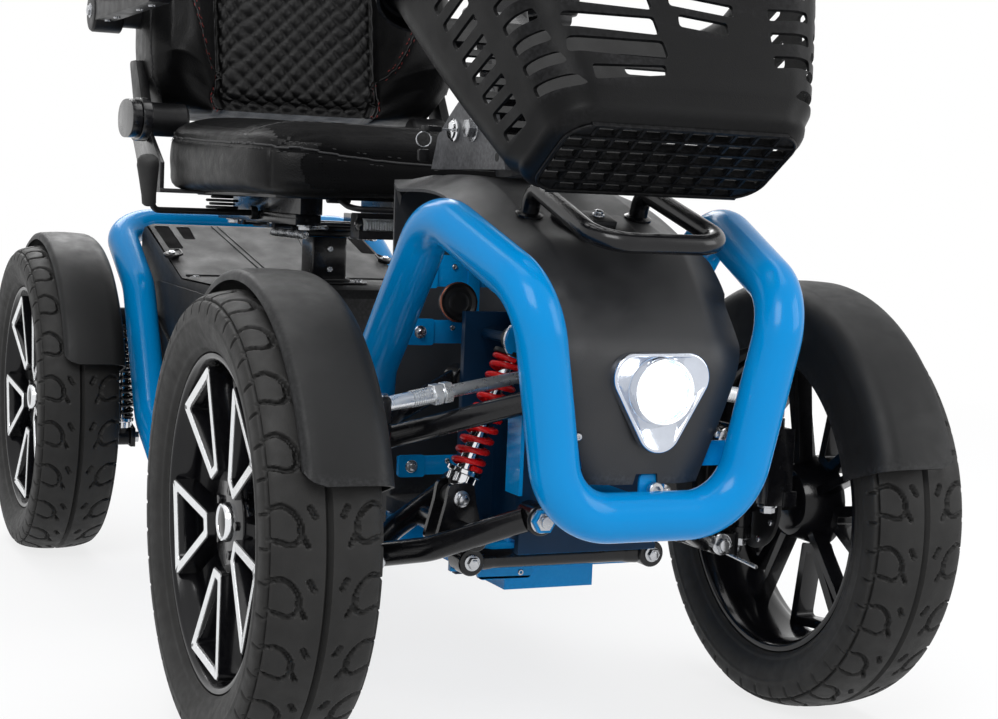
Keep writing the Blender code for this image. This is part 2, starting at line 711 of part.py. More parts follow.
def wishbone(side, pivot_at, joint_at, radius, dip, extra=()):
    """A front wishbone: two tubes from eyes on the bulkhead pins to a boss at the upright."""
    x, z = side * pivot_at[0], pivot_at[1]
    out_x, out_z = side * joint_at[0], joint_at[1]
    front_eye = FRONT_BULKHEAD_Y - BULKHEAD_THICKNESS - GAP
    rear_eye = REAR_BULKHEAD_Y + BULKHEAD_THICKNESS + GAP
    pieces = [
        cylinder(front(out_x, -BOSS_HALF, out_z), front(out_x, BOSS_HALF, out_z), BOSS_RADIUS, 12),
        cylinder(front(x, front_eye - EYE_LENGTH, z), front(x, front_eye, z), EYE_RADIUS, 12),
        cylinder(front(x, rear_eye, z), front(x, rear_eye + EYE_LENGTH, z), EYE_RADIUS, 12),
    ]
    bend_x = side * (0.5 * pivot_at[0] + 0.5 * joint_at[0] + 0.018)
    bend_z = 0.5 * pivot_at[1] + 0.5 * joint_at[1] - dip
    for eye_y, bend_y in ((front_eye - EYE_LENGTH / 2, -0.050), (rear_eye + EYE_LENGTH / 2, 0.042)):
        corners = [front(x + side * 0.009, eye_y, z - 0.001), front(bend_x, bend_y, bend_z),
                   front(out_x - side * 0.002, 0, out_z)]
        pieces.append(tube(corners, radius))
    pieces += extra
    reach = EYE_LENGTH + 0.01
    bore = cylinder(front(x, front_eye - reach, z), front(x, rear_eye + reach, z),
                    PIN_RADIUS + RUNNING_GAP, 12)
    return fused(pieces, [bore])


def shock_bracket(side):
    """The cross bar and two ears on the lower wishbone that hold the shock's foot."""
    x, z = side * FRONT_SHOCK_FOOT[0], FRONT_SHOCK_FOOT[1]
    pieces = [cylinder(front(x, -0.074, -0.010), front(x, 0.062, -0.010), 0.009, 6)]
    for direction in (-1, 1):
        inner = FRONT_SHOCK_Y + direction * (SHOCK_EYE_HALF + RUNNING_GAP)
        outer = inner + direction * 0.005
        low_y, high_y = sorted((inner, outer))
        pieces.append(box(front(x - 0.013, low_y, -0.012), front(x + 0.013, high_y, z + 0.010)))
    return pieces


def upright(side):
    """The C-shaped carrier between the wishbones, with a lug above and below the knuckle."""
    def block(low_x, high_x, low_y, high_y, low_z, high_z):
        near, far = sorted((side * low_x, side * high_x))
        return box(front(near, low_y, low_z), front(far, high_y, high_z))

    ear_in = BOSS_HALF + RUNNING_GAP
    ear_out = ear_in + 0.006
    lower_z, upper_z = LOWER_JOINT[1], UPPER_JOINT[1]
    web_in, web_out = KINGPIN_X - 0.0200, KINGPIN_X - KINGPIN_RADIUS - 0.0007
    reach = 0.012
    pieces = [block(web_in, web_out, -0.015, 0.015, lower_z - reach, upper_z + reach)]
    for (joint_x, z), lug_low, lug_high in ((LOWER_JOINT, KNUCKLE_LOW - GAP - 0.0115, KNUCKLE_LOW - GAP),
                                            (UPPER_JOINT, KNUCKLE_HIGH + GAP, KNUCKLE_HIGH + GAP + 0.0115)):
        pieces.append(block(web_in + 0.001, web_out - 0.001, -ear_out, ear_out,
                            z - reach + 0.001, z + reach - 0.001))
        for direction in (-1, 1):
            low_y, high_y = sorted((direction * ear_in, direction * ear_out))
            pieces.append(block(joint_x - 0.0005, web_in + 0.003, low_y, high_y,
                                z - reach + 0.002, z + reach - 0.002))
        pieces.append(block(web_out - 0.003, KINGPIN_X, -0.010, 0.010, lug_low, lug_high))
        pieces.append(cylinder(front(side * KINGPIN_X, 0, lug_low), front(side * KINGPIN_X, 0, lug_high),
                               KINGPIN_RADIUS, 12))
    node(f"{sided(side)}_upright", fused(pieces), BLACK_PAINT, f"{sided(side)}_upright_joint")


def knuckle(side):
    """Kingpin barrel, stub axle, drum, steering arm and fender bracket."""
    def block(low_x, high_x, low_y, high_y, low_z, high_z):
        near, far = sorted((side * low_x, side * high_x))
        return box(front(near, low_y, low_z), front(far, high_y, high_z))

    kingpin = side * KINGPIN_X
    arm_low = 0.010
    skirt = FENDER_INNER_X - FENDER_THICKNESS - GAP
    pieces = [
        cylinder(front(kingpin, 0, KNUCKLE_LOW), front(kingpin, 0, KNUCKLE_HIGH), KINGPIN_RADIUS, 12),
        cylinder(front(kingpin, 0, 0), front(side * (WHEEL_OFFSET + 0.029), 0, 0), AXLE_RADIUS, 8),
        cylinder(front(side * DRUM_X, 0, 0), front(side * (DRUM_X + DRUM_THICKNESS), 0, 0), DRUM_RADIUS, 12),
        block(KINGPIN_X - 0.004, KINGPIN_X + 0.010, -STEERING_ARM - 0.011, 0.0, arm_low, arm_low + 0.014),
        block(STEERING_ARM_X - 0.007, KINGPIN_X + 0.006, -STEERING_ARM - 0.009, -STEERING_ARM + 0.009,
              arm_low + 0.001, STEERING_ARM_TOP - 0.010),
        cylinder(front(side * STEERING_ARM_X, -STEERING_ARM, STEERING_ARM_TOP - 0.014),
                 front(side * STEERING_ARM_X, -STEERING_ARM, STEERING_ARM_TOP), 0.012, 12),
        block(KINGPIN_X + KINGPIN_RADIUS + 0.0010, skirt, -0.012, 0.012,
              0.024, FENDER_RADIUS - FENDER_SKIRT + 0.012),
        block(KINGPIN_X + 0.010, DRUM_X + 0.001, -0.010, 0.010, 0.0, 0.034),
    ]
    node(f"{sided(side)}_knuckle", fused(pieces), BLACK_PAINT, f"{sided(side)}_kingpin")


def tie_rod(side):
    """A rod with lock nuts, from a ball end on the pitman arm to a housing on the steering arm."""
    eye_radius = 0.008
    up = PITMAN_THICKNESS / 2 + eye_radius + GAP
    inner = on_steering_axis(-PITMAN_BELOW + up, PITMAN_LENGTH, side * 0.012)
    low = STEERING_ARM_TOP + GAP
    housing = front(side * STEERING_ARM_X, -STEERING_ARM, low)
    outer = housing + Vector((0, 0, ROD_HOUSING_HEIGHT * 0.62))
    along = (outer - inner).normalized()
    length = (outer - inner).length
    ball = bmesh.new()
    bmesh.ops.create_uvsphere(ball, u_segments=6, v_segments=4, radius=eye_radius,
                              matrix=Matrix.Translation(inner))
    pieces = [
        tube([inner, outer], ROD_RADIUS),
        from_bmesh("ball", ball),
        cylinder(housing, housing + Vector((0, 0, ROD_HOUSING_HEIGHT)), ROD_HOUSING_RADIUS, 12),
    ]
    nut = inner + along * (length * 0.72)
    pieces.append(cylinder(nut - along * 0.007, nut + along * 0.007, 0.0085, 6))
    node(f"{sided(side)}_tie_rod", fused(pieces), CHROME, f"{sided(side)}_tie_rod_joint")


def shock(name, top, foot, across, eye_axis, curls, sunk, spring_look):
    """A coil-over shock: rod with its upper seat, body with its lower collar, and the spring between them."""
    along = (foot - top).normalized()
    length = (foot - top).length
    seat_at = 0.0165
    collar_at = length - 0.026
    rod_end = seat_at + (collar_at - seat_at) * 0.62
    body_start = rod_end - 0.022
    half = Vector(eye_axis) * SHOCK_EYE_HALF
    rod_pieces = [
        cylinder(top - half, top + half, SHOCK_EYE, 10),
        cylinder(top + along * 0.006, top + along * rod_end, SHOCK_ROD, 8),
        cylinder(top + along * (seat_at - 0.004), top + along * seat_at, SHOCK_SEAT, 10),
    ]
    bore = [cylinder(top - half * 1.5, top + half * 1.5, SHOCK_PIN + RUNNING_GAP, 8)]
    node(f"{name}_shock_rod", fused(rod_pieces, bore), STEEL, f"{name}_shock_pivot")
    body_pieces = [
        cylinder(top + along * body_start, top + along * (length - 0.004), SHOCK_BODY, 8),
        cylinder(top + along * collar_at, top + along * (collar_at + 0.005), SHOCK_SEAT, 10),
        cylinder(foot - half * 0.95, foot + half * 0.95, 0.0095, 10),
    ]
    hollow = [cylinder(top + along * (body_start - 0.005), top + along * (rod_end + sunk + 0.002),
                       SHOCK_ROD + RUNNING_GAP, 8)]
    node(f"{name}_shock_body", fused(body_pieces, hollow), BLACK_PAINT, f"{name}_shock_slide")
    spring(name, top + along * (seat_at + GAP), top + along * (collar_at - GAP), across, curls, spring_look)


def spring(name, start, end, across, curls, look):
    """One wound wire between two seats."""
    axis = (end - start).normalized()
    first = Vector(across).cross(axis).normalized()
    second = axis.cross(first)
    length = (end - start).length - 2 * SPRING_WIRE
    count = curls * CURL_POINTS
    points = []
    for i in range(count + 1):
        angle = 2 * math.pi * i / CURL_POINTS
        out = first * math.cos(angle) + second * math.sin(angle)
        points.append(start + axis * (SPRING_WIRE + length * i / count) + out * SPRING_RADIUS)
    gap = length / curls - 2 * SPRING_WIRE
    print(f"{name}_spring: least gap between curls {gap * 1000:.2f} mm")
    node(f"{name}_spring", tube(points, SPRING_WIRE, 1), look, f"{name}_shock_pivot")


def front_shock(side):
    name = f"front_{sided(side)}"
    top = front(side * FRONT_SHOCK_TOP[0], FRONT_SHOCK_Y, FRONT_SHOCK_TOP[1])
    foot = front(side * FRONT_SHOCK_FOOT[0], FRONT_SHOCK_Y, FRONT_SHOCK_FOOT[1])
    pivot(f"{name}_shock_pivot", top)
    pivot(f"{name}_shock_slide", foot, f"{name}_shock_pivot")
    shock(name, top, foot, (0, 1, 0), (0, 1, 0), FRONT_CURLS, 0.014, SPRING_RED)


def rear_shock(side):
    name = f"rear_{sided(side)}"
    top = rear(side * REAR_SHOCK_X, REAR_SHOCK_Y, REAR_SHOCK_TOP)
    foot = rear(side * REAR_SHOCK_X, REAR_SHOCK_Y, REAR_SHOCK_FOOT)
    pivot(f"{name}_shock_pivot", top)
    pivot(f"{name}_shock_slide", foot, f"{name}_shock_pivot")
    shock(name, top, foot, (1, 0, 0), (1, 0, 0), REAR_CURLS, 0.032, BLACK_PAINT)


def tyre_shape(centre):
    """A tyre with a rounded tread, turned about its axle."""
    half = TYRE_WIDTH / 2
    radius = TYRE_RADIUS
    bead = RIM_RADIUS + GAP
    profile = [(radius, 0.60 * half), (radius - 0.018, half), (bead, 0.86 * half)]
    profile += [(r, -x) for r, x in reversed(profile)]
    return turned(profile, centre, (1, 0, 0), TYRE_SEGMENTS)


def rim_shape(centre, outward):
    """A rim barrel, a hub with its bore and five split spokes near the outer face."""
    outer = RIM_WIDTH / 2
    inner_radius = RIM_RADIUS - RIM_WALL
    wall = [(RIM_RADIUS, -outer), (RIM_RADIUS, outer), (inner_radius, outer), (inner_radius, -outer)]
    barrel = turned(wall, centre, (outward, 0, 0), TYRE_SEGMENTS)

    def along(distance, y=0.0, z=0.0):
        return centre + Vector((outward * distance, y, z))

    pieces = [barrel, cylinder(along(-0.018), along(outer - 0.004), HUB_RADIUS, 8)]
    for pair in range(SPOKE_PAIRS):
        middle = math.pi / 2 + 2 * math.pi * pair / SPOKE_PAIRS
        for direction in (-1, 1):
            start_angle = middle + direction * SPOKE_SPREAD * 0.9
            end_angle = middle + direction * SPOKE_SPREAD
            start = Vector((0, math.cos(start_angle), math.sin(start_angle))) * (HUB_RADIUS - 0.008)
            end = Vector((0, math.cos(end_angle), math.sin(end_angle))) * (inner_radius + 0.003)
            half = (end - start).length / 2
            spoke = box((-0.006, -half, -0.0055), (0.006, half, 0.0055))
            turn = Matrix.Rotation(math.atan2((end - start).z, (end - start).y), 4, "X")
            moved(spoke, Matrix.Translation(along(outer - 0.016) + (start + end) / 2) @ turn)
            pieces.append(spoke)
    to_flats = math.cos(math.pi / 8)
    bore = cylinder(along(-0.03), along(outer - 0.009), (AXLE_RADIUS + RUNNING_GAP) / to_flats, 8)
    return fused(pieces, [bore])


def wheel(end, side, place):
    """One rim and its tyre on a rolling axle."""
    name = f"{end}_{sided(side)}"
    centre = place(side * WHEEL_OFFSET, 0, 0)
    hung = f"{name}_wheel_axle"
    node(f"{name}_tyre", tyre_shape(centre), RUBBER, hung)
    node(f"{name}_rim", rim_shape(centre, side), RIM_BLACK, hung)


def fender(end, side, place, hung):
    """An arched guard over the tyre's inner part, with a rounded shoulder and a skirt on its inner side."""
    steps = 8
    shape = bmesh.new()
    rows = []
    drop = FENDER_SHOULDER
    section = [(FENDER_INNER_X, FENDER_RADIUS - FENDER_SKIRT), (FENDER_INNER_X, FENDER_RADIUS - drop),
               (FENDER_INNER_X + drop * 0.3, FENDER_RADIUS - drop * 0.3),
               (FENDER_INNER_X + drop, FENDER_RADIUS), (FENDER_OUTER_X, FENDER_RADIUS)]
    for i in range(steps + 1):
        angle = FENDER_FRONT_ANGLE + (FENDER_REAR_ANGLE - FENDER_FRONT_ANGLE) * i / steps
        rows.append([shape.verts.new(place(side * x, -radius * math.cos(angle), radius * math.sin(angle)))
                     for x, radius in section])
    for lower, upper in zip(rows, rows[1:]):
        for i in range(len(section) - 1):
            shape.faces.new((lower[i], lower[i + 1], upper[i + 1], upper[i]))
    bmesh.ops.recalc_face_normals(shape, faces=shape.faces)
    centre = place(side * WHEEL_OFFSET, 0, 0)
    top = max(shape.faces, key=lambda face: face.calc_center_median().z)
    if (top.calc_center_median() - centre).dot(top.normal) < 0:
        bmesh.ops.reverse_faces(shape, faces=shape.faces)
    skin = from_bmesh("skin", shape)
    thick = skin.modifiers.new("Solidify", "SOLIDIFY")
    thick.thickness = FENDER_THICKNESS
    thick.offset = 1.0
    thick.use_even_offset = True
    node(f"{end}_{sided(side)}_fender", baked(skin), BLACK_PLASTIC, hung)


def rear_axle():
    """Swing arm, axle tubes, transaxle casing, motor and stub axles in one assembly."""
    sleeve = RAIL_X - RAIL_WIDTH / 2 - GAP
    arm_y = -0.225
    pieces = [
        cylinder(rear(-0.205, 0, 0), rear(0.205, 0, 0), 0.0145, 12),
        cylinder(rear(-0.062, 0, 0), rear(0.062, 0, 0), 0.058, 12),
        cylinder(rear(-0.080, -0.088, 0.012), rear(0.070, -0.088, 0.012), 0.040, 12),
        cylinder(rear(-sleeve, arm_y, -0.035), rear(sleeve, arm_y, -0.035), 0.013, 10),
    ]
    skirt = FENDER_INNER_X - FENDER_THICKNESS - GAP
    for side in (-1, 1):
        pieces.append(tube([rear(side * 0.088, arm_y, -0.035), rear(side * 0.088, 0, 0)], 0.012))
        stub_end = side * (WHEEL_OFFSET + 0.029)
        pieces.append(cylinder(rear(side * 0.200, 0, 0), rear(stub_end, 0, 0), AXLE_RADIUS, 8))
        pieces.append(cylinder(rear(side * 0.213, 0, 0), rear(side * DRUM_X, 0, 0), 0.034, 12))
        low_x, high_x = sorted((side * 0.2185, side * skirt))
        pieces.append(box(rear(low_x, -0.012, 0.020),
                          rear(high_x, 0.012, FENDER_RADIUS - FENDER_SKIRT + 0.012)))
        foot_in = REAR_SHOCK_X - SHOCK_EYE_HALF - RUNNING_GAP
        low_x, high_x = sorted((side * (foot_in - 0.006), side * foot_in))
        y, z = REAR_SHOCK_Y, REAR_SHOCK_FOOT
        outline = ((y - 0.012, z - 0.012), (y + 0.010, z - 0.012), (0.012, -0.010), (0.008, 0.004),
                   (-0.012, 0.002), (-0.014, z + 0.020), (y - 0.012, z + 0.012))
        pieces.append(plate(outline, "X", low_x, high_x, rear))
    node("rear_axle", fused(pieces), BLACK_PAINT, "rear_swing_pivot")


def tiller_base():
    """Steering shaft with the pitman arm below and the forked grey base above."""
    top = -0.026
    pieces = [
        cylinder(on_steering_axis(-PITMAN_BELOW), on_steering_axis(top + 0.001), SHAFT_RADIUS, 12),
        steering_block((-0.022, -0.010, -PITMAN_BELOW - PITMAN_THICKNESS / 2),
                       (0.022, PITMAN_LENGTH + 0.012, -PITMAN_BELOW + PITMAN_THICKNESS / 2)),
    ]
    plate_out = TILLER_PLATE_X + TILLER_PLATE
    base_low, base_high = 0.312, 0.318
    pieces.append(box(front(-plate_out + 0.001, 0.034, base_low + 0.0005),
                      front(plate_out - 0.001, 0.204, base_high)))
    pieces.append(cylinder(on_steering_axis(-0.030), on_steering_axis(-0.010), HEAD_TUBE_RADIUS, 12))
    outline = ((0.030, base_low), (0.210, base_low), (0.196, 0.345),
               (0.165, 0.366), (0.128, 0.388), (0.074, 0.388))
    for side in (-1, 1):
        low_x, high_x = sorted((side * TILLER_PLATE_X, side * plate_out))
        pieces.append(plate(outline, "X", low_x, high_x))
    node("tiller_base", fused(pieces), GREY_PAINT, "tiller_steer_axis")


def at(x, y, z):
    """A point of the scooter's own frame, for plate()."""
    return Vector((x, y, z))


def basket_bracket():
    """A plate on the basket's rear wall and the arm that carries it from the stem."""
    low, high = 0.105, 0.165
    face = [on_basket_back(low, GAP), on_basket_back(high, GAP),
            on_basket_back(high, GAP + 0.005), on_basket_back(low, GAP + 0.005)]
    arm = [on_basket_back(low + 0.020, GAP + 0.002), on_basket_back(high - 0.020, GAP + 0.002),
           on_steering_axis(0.140, STEM_HALF - 0.004), on_steering_axis(0.100, STEM_HALF - 0.004)]
    return [plate([(point.y, point.z) for point in face], "X", -0.045, 0.045, at),
            plate([(point.y, point.z) for point in arm], "X", -0.014, 0.014, at)]


def tiller_stem():
    """The stem on its tilt pivot, with the handlebar on top and a bracket for the basket in front."""
    inner = TILLER_PLATE_X - GAP
    pieces = [
        steering_block((-STEM_HALF, -STEM_HALF, 0.012), (STEM_HALF, STEM_HALF, STEM_LENGTH)),
        cylinder(on_steering_axis(TILT_HEIGHT, 0, -inner), on_steering_axis(TILT_HEIGHT, 0, inner),
                 0.016, 12),
        *basket_bracket(),
    ]
    low = on_steering_axis(STEM_LENGTH - 0.030, 0.004)
    high = on_steering_axis(STEM_LENGTH - 0.014, -0.030)
    half = [low + Vector((0.060, 0, 0)), high + Vector((0.120, 0, 0)),
            high + Vector((BAR_HALF, 0.045, -0.012))]
    corners = [Vector((-point.x, point.y, point.z)) for point in reversed(half)] + half
    pieces.append(tube(rounded(corners, 0.035), BAR_RADIUS))
    for side in (-1, 1):
        end = high + Vector((side * BAR_HALF, 0.045, -0.012))
        start = high + Vector((side * 0.165, 0.0123, -0.0033))
        pieces.append(cylinder(start, end + (end - start).normalized() * 0.003, GRIP_RADIUS, 12))
    node("tiller_stem", fused(pieces), BLACK_PAINT, "tiller_tilt_pivot")


def console():
    """The control head over the top of the stem."""
    low = STEM_LENGTH + GAP
    body = steering_block((-0.085, -0.085, low), (0.085, 0.035, low + 0.040))
    bevel = body.modifiers.new("Bevel", "BEVEL")
    bevel.width = 0.012
    bevel.segments = 2
    node("console", baked(body), BLACK_PLASTIC, "tiller_tilt_pivot")


def throttle_lever():
    """A thumb lever behind the right grip, on a hub under the console."""
    hub = on_steering_axis(STEM_LENGTH - 0.016, -THROTTLE_BACK, -0.070)
    top = on_steering_axis(STEM_LENGTH, -THROTTLE_BACK, -0.070)
    start = on_steering_axis(STEM_LENGTH - 0.008, -THROTTLE_BACK, -0.070)
    end = on_steering_axis(STEM_LENGTH - 0.008, -THROTTLE_BACK - 0.020, -0.145)
    pieces = [cylinder(hub, top, 0.009, 12), cylinder(start, end, 0.0050, 8, 0.0075)]
    node("throttle_lever", fused(pieces), BLACK_PLASTIC, "throttle_pivot")


def key():
    """The ignition key in the right plate of the tiller base."""
    out = -(TILLER_PLATE_X + TILLER_PLATE + GAP)
    y, z = 0.150, 0.350
    pieces = [
        cylinder(front(out, y, z), front(out - 0.006, y, z), 0.009, 12),
        box(front(out - 0.018, y - 0.004, z - 0.0012), front(out - 0.004, y + 0.004, z + 0.0012)),
        box(front(out - 0.036, y - 0.011, z - 0.003), front(out - 0.015, y + 0.011, z + 0.003)),
    ]
    node("key", fused(pieces), BLACK_PLASTIC, "key_pivot")


def basket_frame():
    """The matrix of the basket's own frame, whose lower front edge is the scooter's foremost point."""
    turn = Matrix.Rotation(-BASKET_TILT, 4, "X")
    y = -BASKET_REACH + math.cos(BASKET_TILT) * BASKET_FLOOR[1] - math.sin(BASKET_TILT) * BASKET_ROUND
    return Matrix.Translation(front(0, y, BASKET_RAISE)) @ turn


def on_basket_back(height, out):
    """A point outside the middle of the basket's rear wall."""
    rise = (BASKET_RIM[1] + BASKET_SHIFT - BASKET_FLOOR[1]) / (BASKET_HEIGHT - BASKET_EDGE - BASKET_ROUND)
    y = BASKET_FLOOR[1] + rise * (height - BASKET_ROUND)
    outward = Vector((0, 1, -rise)).normalized()
    return basket_frame() @ (Vector((0, y, height)) + outward * out)


def basket_ring(half_x, half_y, height, corner, shift=0.0):
    """A rounded rectangle at one height of the basket."""
    ring = []
    for sign_x, sign_y, start in ((1, 1, 0), (-1, 1, 90), (-1, -1, 180), (1, -1, 270)):
        for step in (0, 45, 90):
            angle = math.radians(start + step)
            x = sign_x * (half_x - corner) + corner * math.cos(angle)
            y = sign_y * (half_y - corner) + corner * math.sin(angle) + shift
            ring.append(Vector((x, y, height)))
    return ring


def basket():
    """An open basket with a rolled rim, slanted slots in its walls and a grid of gaps in its floor."""
    floor_x, floor_y = BASKET_FLOOR
    rim_x, rim_y = BASKET_RIM
    lip = BASKET_ROUND
    edge = BASKET_HEIGHT - BASKET_EDGE
    outer = [basket_ring(floor_x - lip, floor_y - lip, 0.0, 0.020),
             basket_ring(floor_x, floor_y, lip, 0.032),
             basket_ring(rim_x, rim_y, edge, 0.050, BASKET_SHIFT),
             basket_ring(rim_x + BASKET_LIP, rim_y + BASKET_LIP, edge, 0.056, BASKET_SHIFT),
             basket_ring(rim_x + BASKET_LIP, rim_y + BASKET_LIP, BASKET_HEIGHT, 0.056, BASKET_SHIFT)]
    wall = BASKET_WALL
    inner = [basket_ring(floor_x - lip - wall, floor_y - lip - wall, wall, 0.019),
             basket_ring(floor_x - wall, floor_y - wall, lip + wall, 0.030),
             basket_ring(rim_x - wall, rim_y - wall, BASKET_HEIGHT + 0.010, 0.048, BASKET_SHIFT)]
    body = grid_solid(outer)
    hollow = grid_solid(inner)
    slots = floor_gaps() + wall_slots()
    whole = fused([body], [hollow, *slots])
    moved(whole, basket_frame())
    node("basket", whole, BLACK_PLASTIC, "tiller_tilt_pivot")


def floor_gaps():
    """One cutter for each gap of the floor grid."""
    columns, rows = 4, 3
    pitch_x, pitch_y = 0.0460, 0.0245
    gaps = []
    for column in range(columns):
        for row in range(rows):
            x = (column - (columns - 1) / 2) * pitch_x
            y = (row - (rows - 1) / 2) * pitch_y
            gaps.append(box((x - 0.0200, y - 0.0090, -0.01), (x + 0.0200, y + 0.0090, 0.012)))
    return gaps


def wall_slots():
    """Cutters for the slanted slots in the side and front walls."""
    slots = []
    slant = Matrix.Rotation(math.radians(-14), 4, "X")
    for side in (-1, 1):
        for column, y in enumerate((-0.042, 0.042)):
            for row in range(3):
                z = 0.060 + row * 0.048
                slot = box((-0.06, -0.030, -0.0055), (0.06, 0.030, 0.0055))
                moved(slot, Matrix.Translation((side * 0.155, y + 0.004, z)) @ slant)
                slots.append(slot)
    for centre, reach in ((-0.072, 0.034), (0.0, 0.026), (0.072, 0.034)):
        for row in range(3):
            z = 0.062 + row * 0.048
            slots.append(box((centre - reach, -0.16, z - 0.0055), (centre + reach, -0.05, z + 0.0055)))
    return slots


def seat_swivel():
    """A short spigot on the post, the swivel plate and the two lower slide rails."""
    low = POST_TOP + GAP
    pieces = [
        cylinder(rear(0, POST_Y, low), rear(0, POST_Y, low + 0.014), 0.030, 12),
        box(rear(-0.070, POST_Y - 0.085, low + 0.008), rear(0.070, POST_Y + 0.075, low + 0.013)),
    ]
    for side in (-1, 1):
        low_x, high_x = sorted((side * 0.070, side * 0.100))
        pieces.append(box(rear(low_x, POST_Y - 0.190, low + 0.016),
                          rear(high_x, POST_Y + 0.130, low + 0.028)))
    for y in (-0.070, 0.055):
        pieces.append(box(rear(-0.092, POST_Y + y - 0.014, low + 0.010),
                          rear(0.092, POST_Y + y + 0.014, low + 0.018)))
    node("seat_swivel", fused(pieces), BLACK_PAINT, "seat_swivel_axis")


def seat_frame():
    """Upper slide rails, the seat pan, the recliner side plates and the lamp bracket."""
    low = POST_TOP + 2 * GAP + 0.028
    pan_top = CUSHION_BOTTOM - GAP
    plate_x = CUSHION_HALF + 0.0030
    pieces = [box(rear(-0.160, CUSHION_FRONT + 0.060, pan_top - 0.005),
                  rear(0.160, CUSHION_BACK - 0.020, pan_top))]
    for side in (-1, 1):
        low_x, high_x = sorted((side * 0.072, side * 0.098))
        pieces.append(box(rear(low_x, POST_Y - 0.200, low), rear(high_x, POST_Y + 0.070, pan_top - 0.003)))
        low_x, high_x = sorted((side * 0.150, side * (plate_x + 0.005)))
        pieces.append(box(rear(low_x, -0.290, pan_top - 0.0055), rear(high_x, -0.200, pan_top - 0.0005)))
        low_x, high_x = sorted((side * plate_x, side * (plate_x + 0.005)))
        pivot_y, pivot_z = RECLINE_PIVOT
        outline = ((-0.288, pan_top - 0.005), (-0.202, pan_top - 0.005),
                   (pivot_y + 0.018, pivot_z - 0.016), (pivot_y + 0.018, pivot_z + 0.018),
                   (pivot_y - 0.018, pivot_z + 0.018), (-0.288, pan_top + 0.030))
        pieces.append(plate(outline, "X", low_x, high_x, rear))
    pieces.append(box(rear(-0.012, CUSHION_FRONT + 0.070, pan_top - 0.018),
                      rear(0.012, CUSHION_FRONT + 0.105, pan_top - 0.003)))
    node("seat_frame", fused(pieces), BLACK_PAINT, "seat_slide_axis")


def seat_lamp():
    """The light bar that hangs under the front of the seat."""
    top = CUSHION_BOTTOM - GAP - 0.018 - GAP
    y = CUSHION_FRONT + 0.090
    body = box(rear(-0.062, y - 0.014, top - 0.028), rear(0.062, y + 0.014, top))
    bevel = body.modifiers.new("Bevel", "BEVEL")
    bevel.width = 0.005
    bevel.segments = 2
    lamp = baked(body)
    window = box(rear(-0.050, y - 0.0165, top - 0.022), rear(0.050, y - 0.012, top - 0.006))
    node("seat_lamp", fused([lamp, window]), LAMP, "seat_slide_axis")


def superellipse(angle, half_x, half_y, power):
    c, s = math.cos(angle), math.sin(angle)
    x = half_x * math.copysign(abs(c) ** (2 / power), c)
    y = half_y * math.copysign(abs(s) ** (2 / power), s)
    return x, y


def cushion():
    """The seat cushion: drawn-in sides, a welted edge, a crowned top and a cross seam."""
    low = CUSHION_BOTTOM
    middle = (CUSHION_FRONT + CUSHION_BACK) / 2
    half_y = (CUSHION_BACK - CUSHION_FRONT) / 2
    around = 32

    def height(y):
        share = (y + half_y) / (2 * half_y)
        return CUSHION_FRONT_HEIGHT + (CUSHION_BACK_HEIGHT - CUSHION_FRONT_HEIGHT) * share ** 1.3

    def seam(y):
        return 0.0035 * math.exp(-(((y + 0.030) / 0.008) ** 2))

    layers = [(0.94, 0.00, 0.0), (0.99, 0.18, 0.0), (1.0, 0.50, 0.0), (0.975, 0.82, 0.0), (0.94, 0.88, 0.0),
              (0.89, 1.0, 0.5), (0.74, 1.08, 1.0), (0.50, 1.13, 1.0), (0.22, 1.15, 1.0)]
    rings = []
    for scale, level, seamed in layers:
        ring = []
        for i in range(around):
            x, y = superellipse(2 * math.pi * i / around, CUSHION_HALF * scale, half_y * scale, 5.5)
            z = low + height(y) * level - seam(y) * seamed
            ring.append(rear(x, middle + y, z))
        rings.append(ring)
    node("cushion", grid_solid(rings), LEATHER, "seat_slide_axis", math.radians(60))


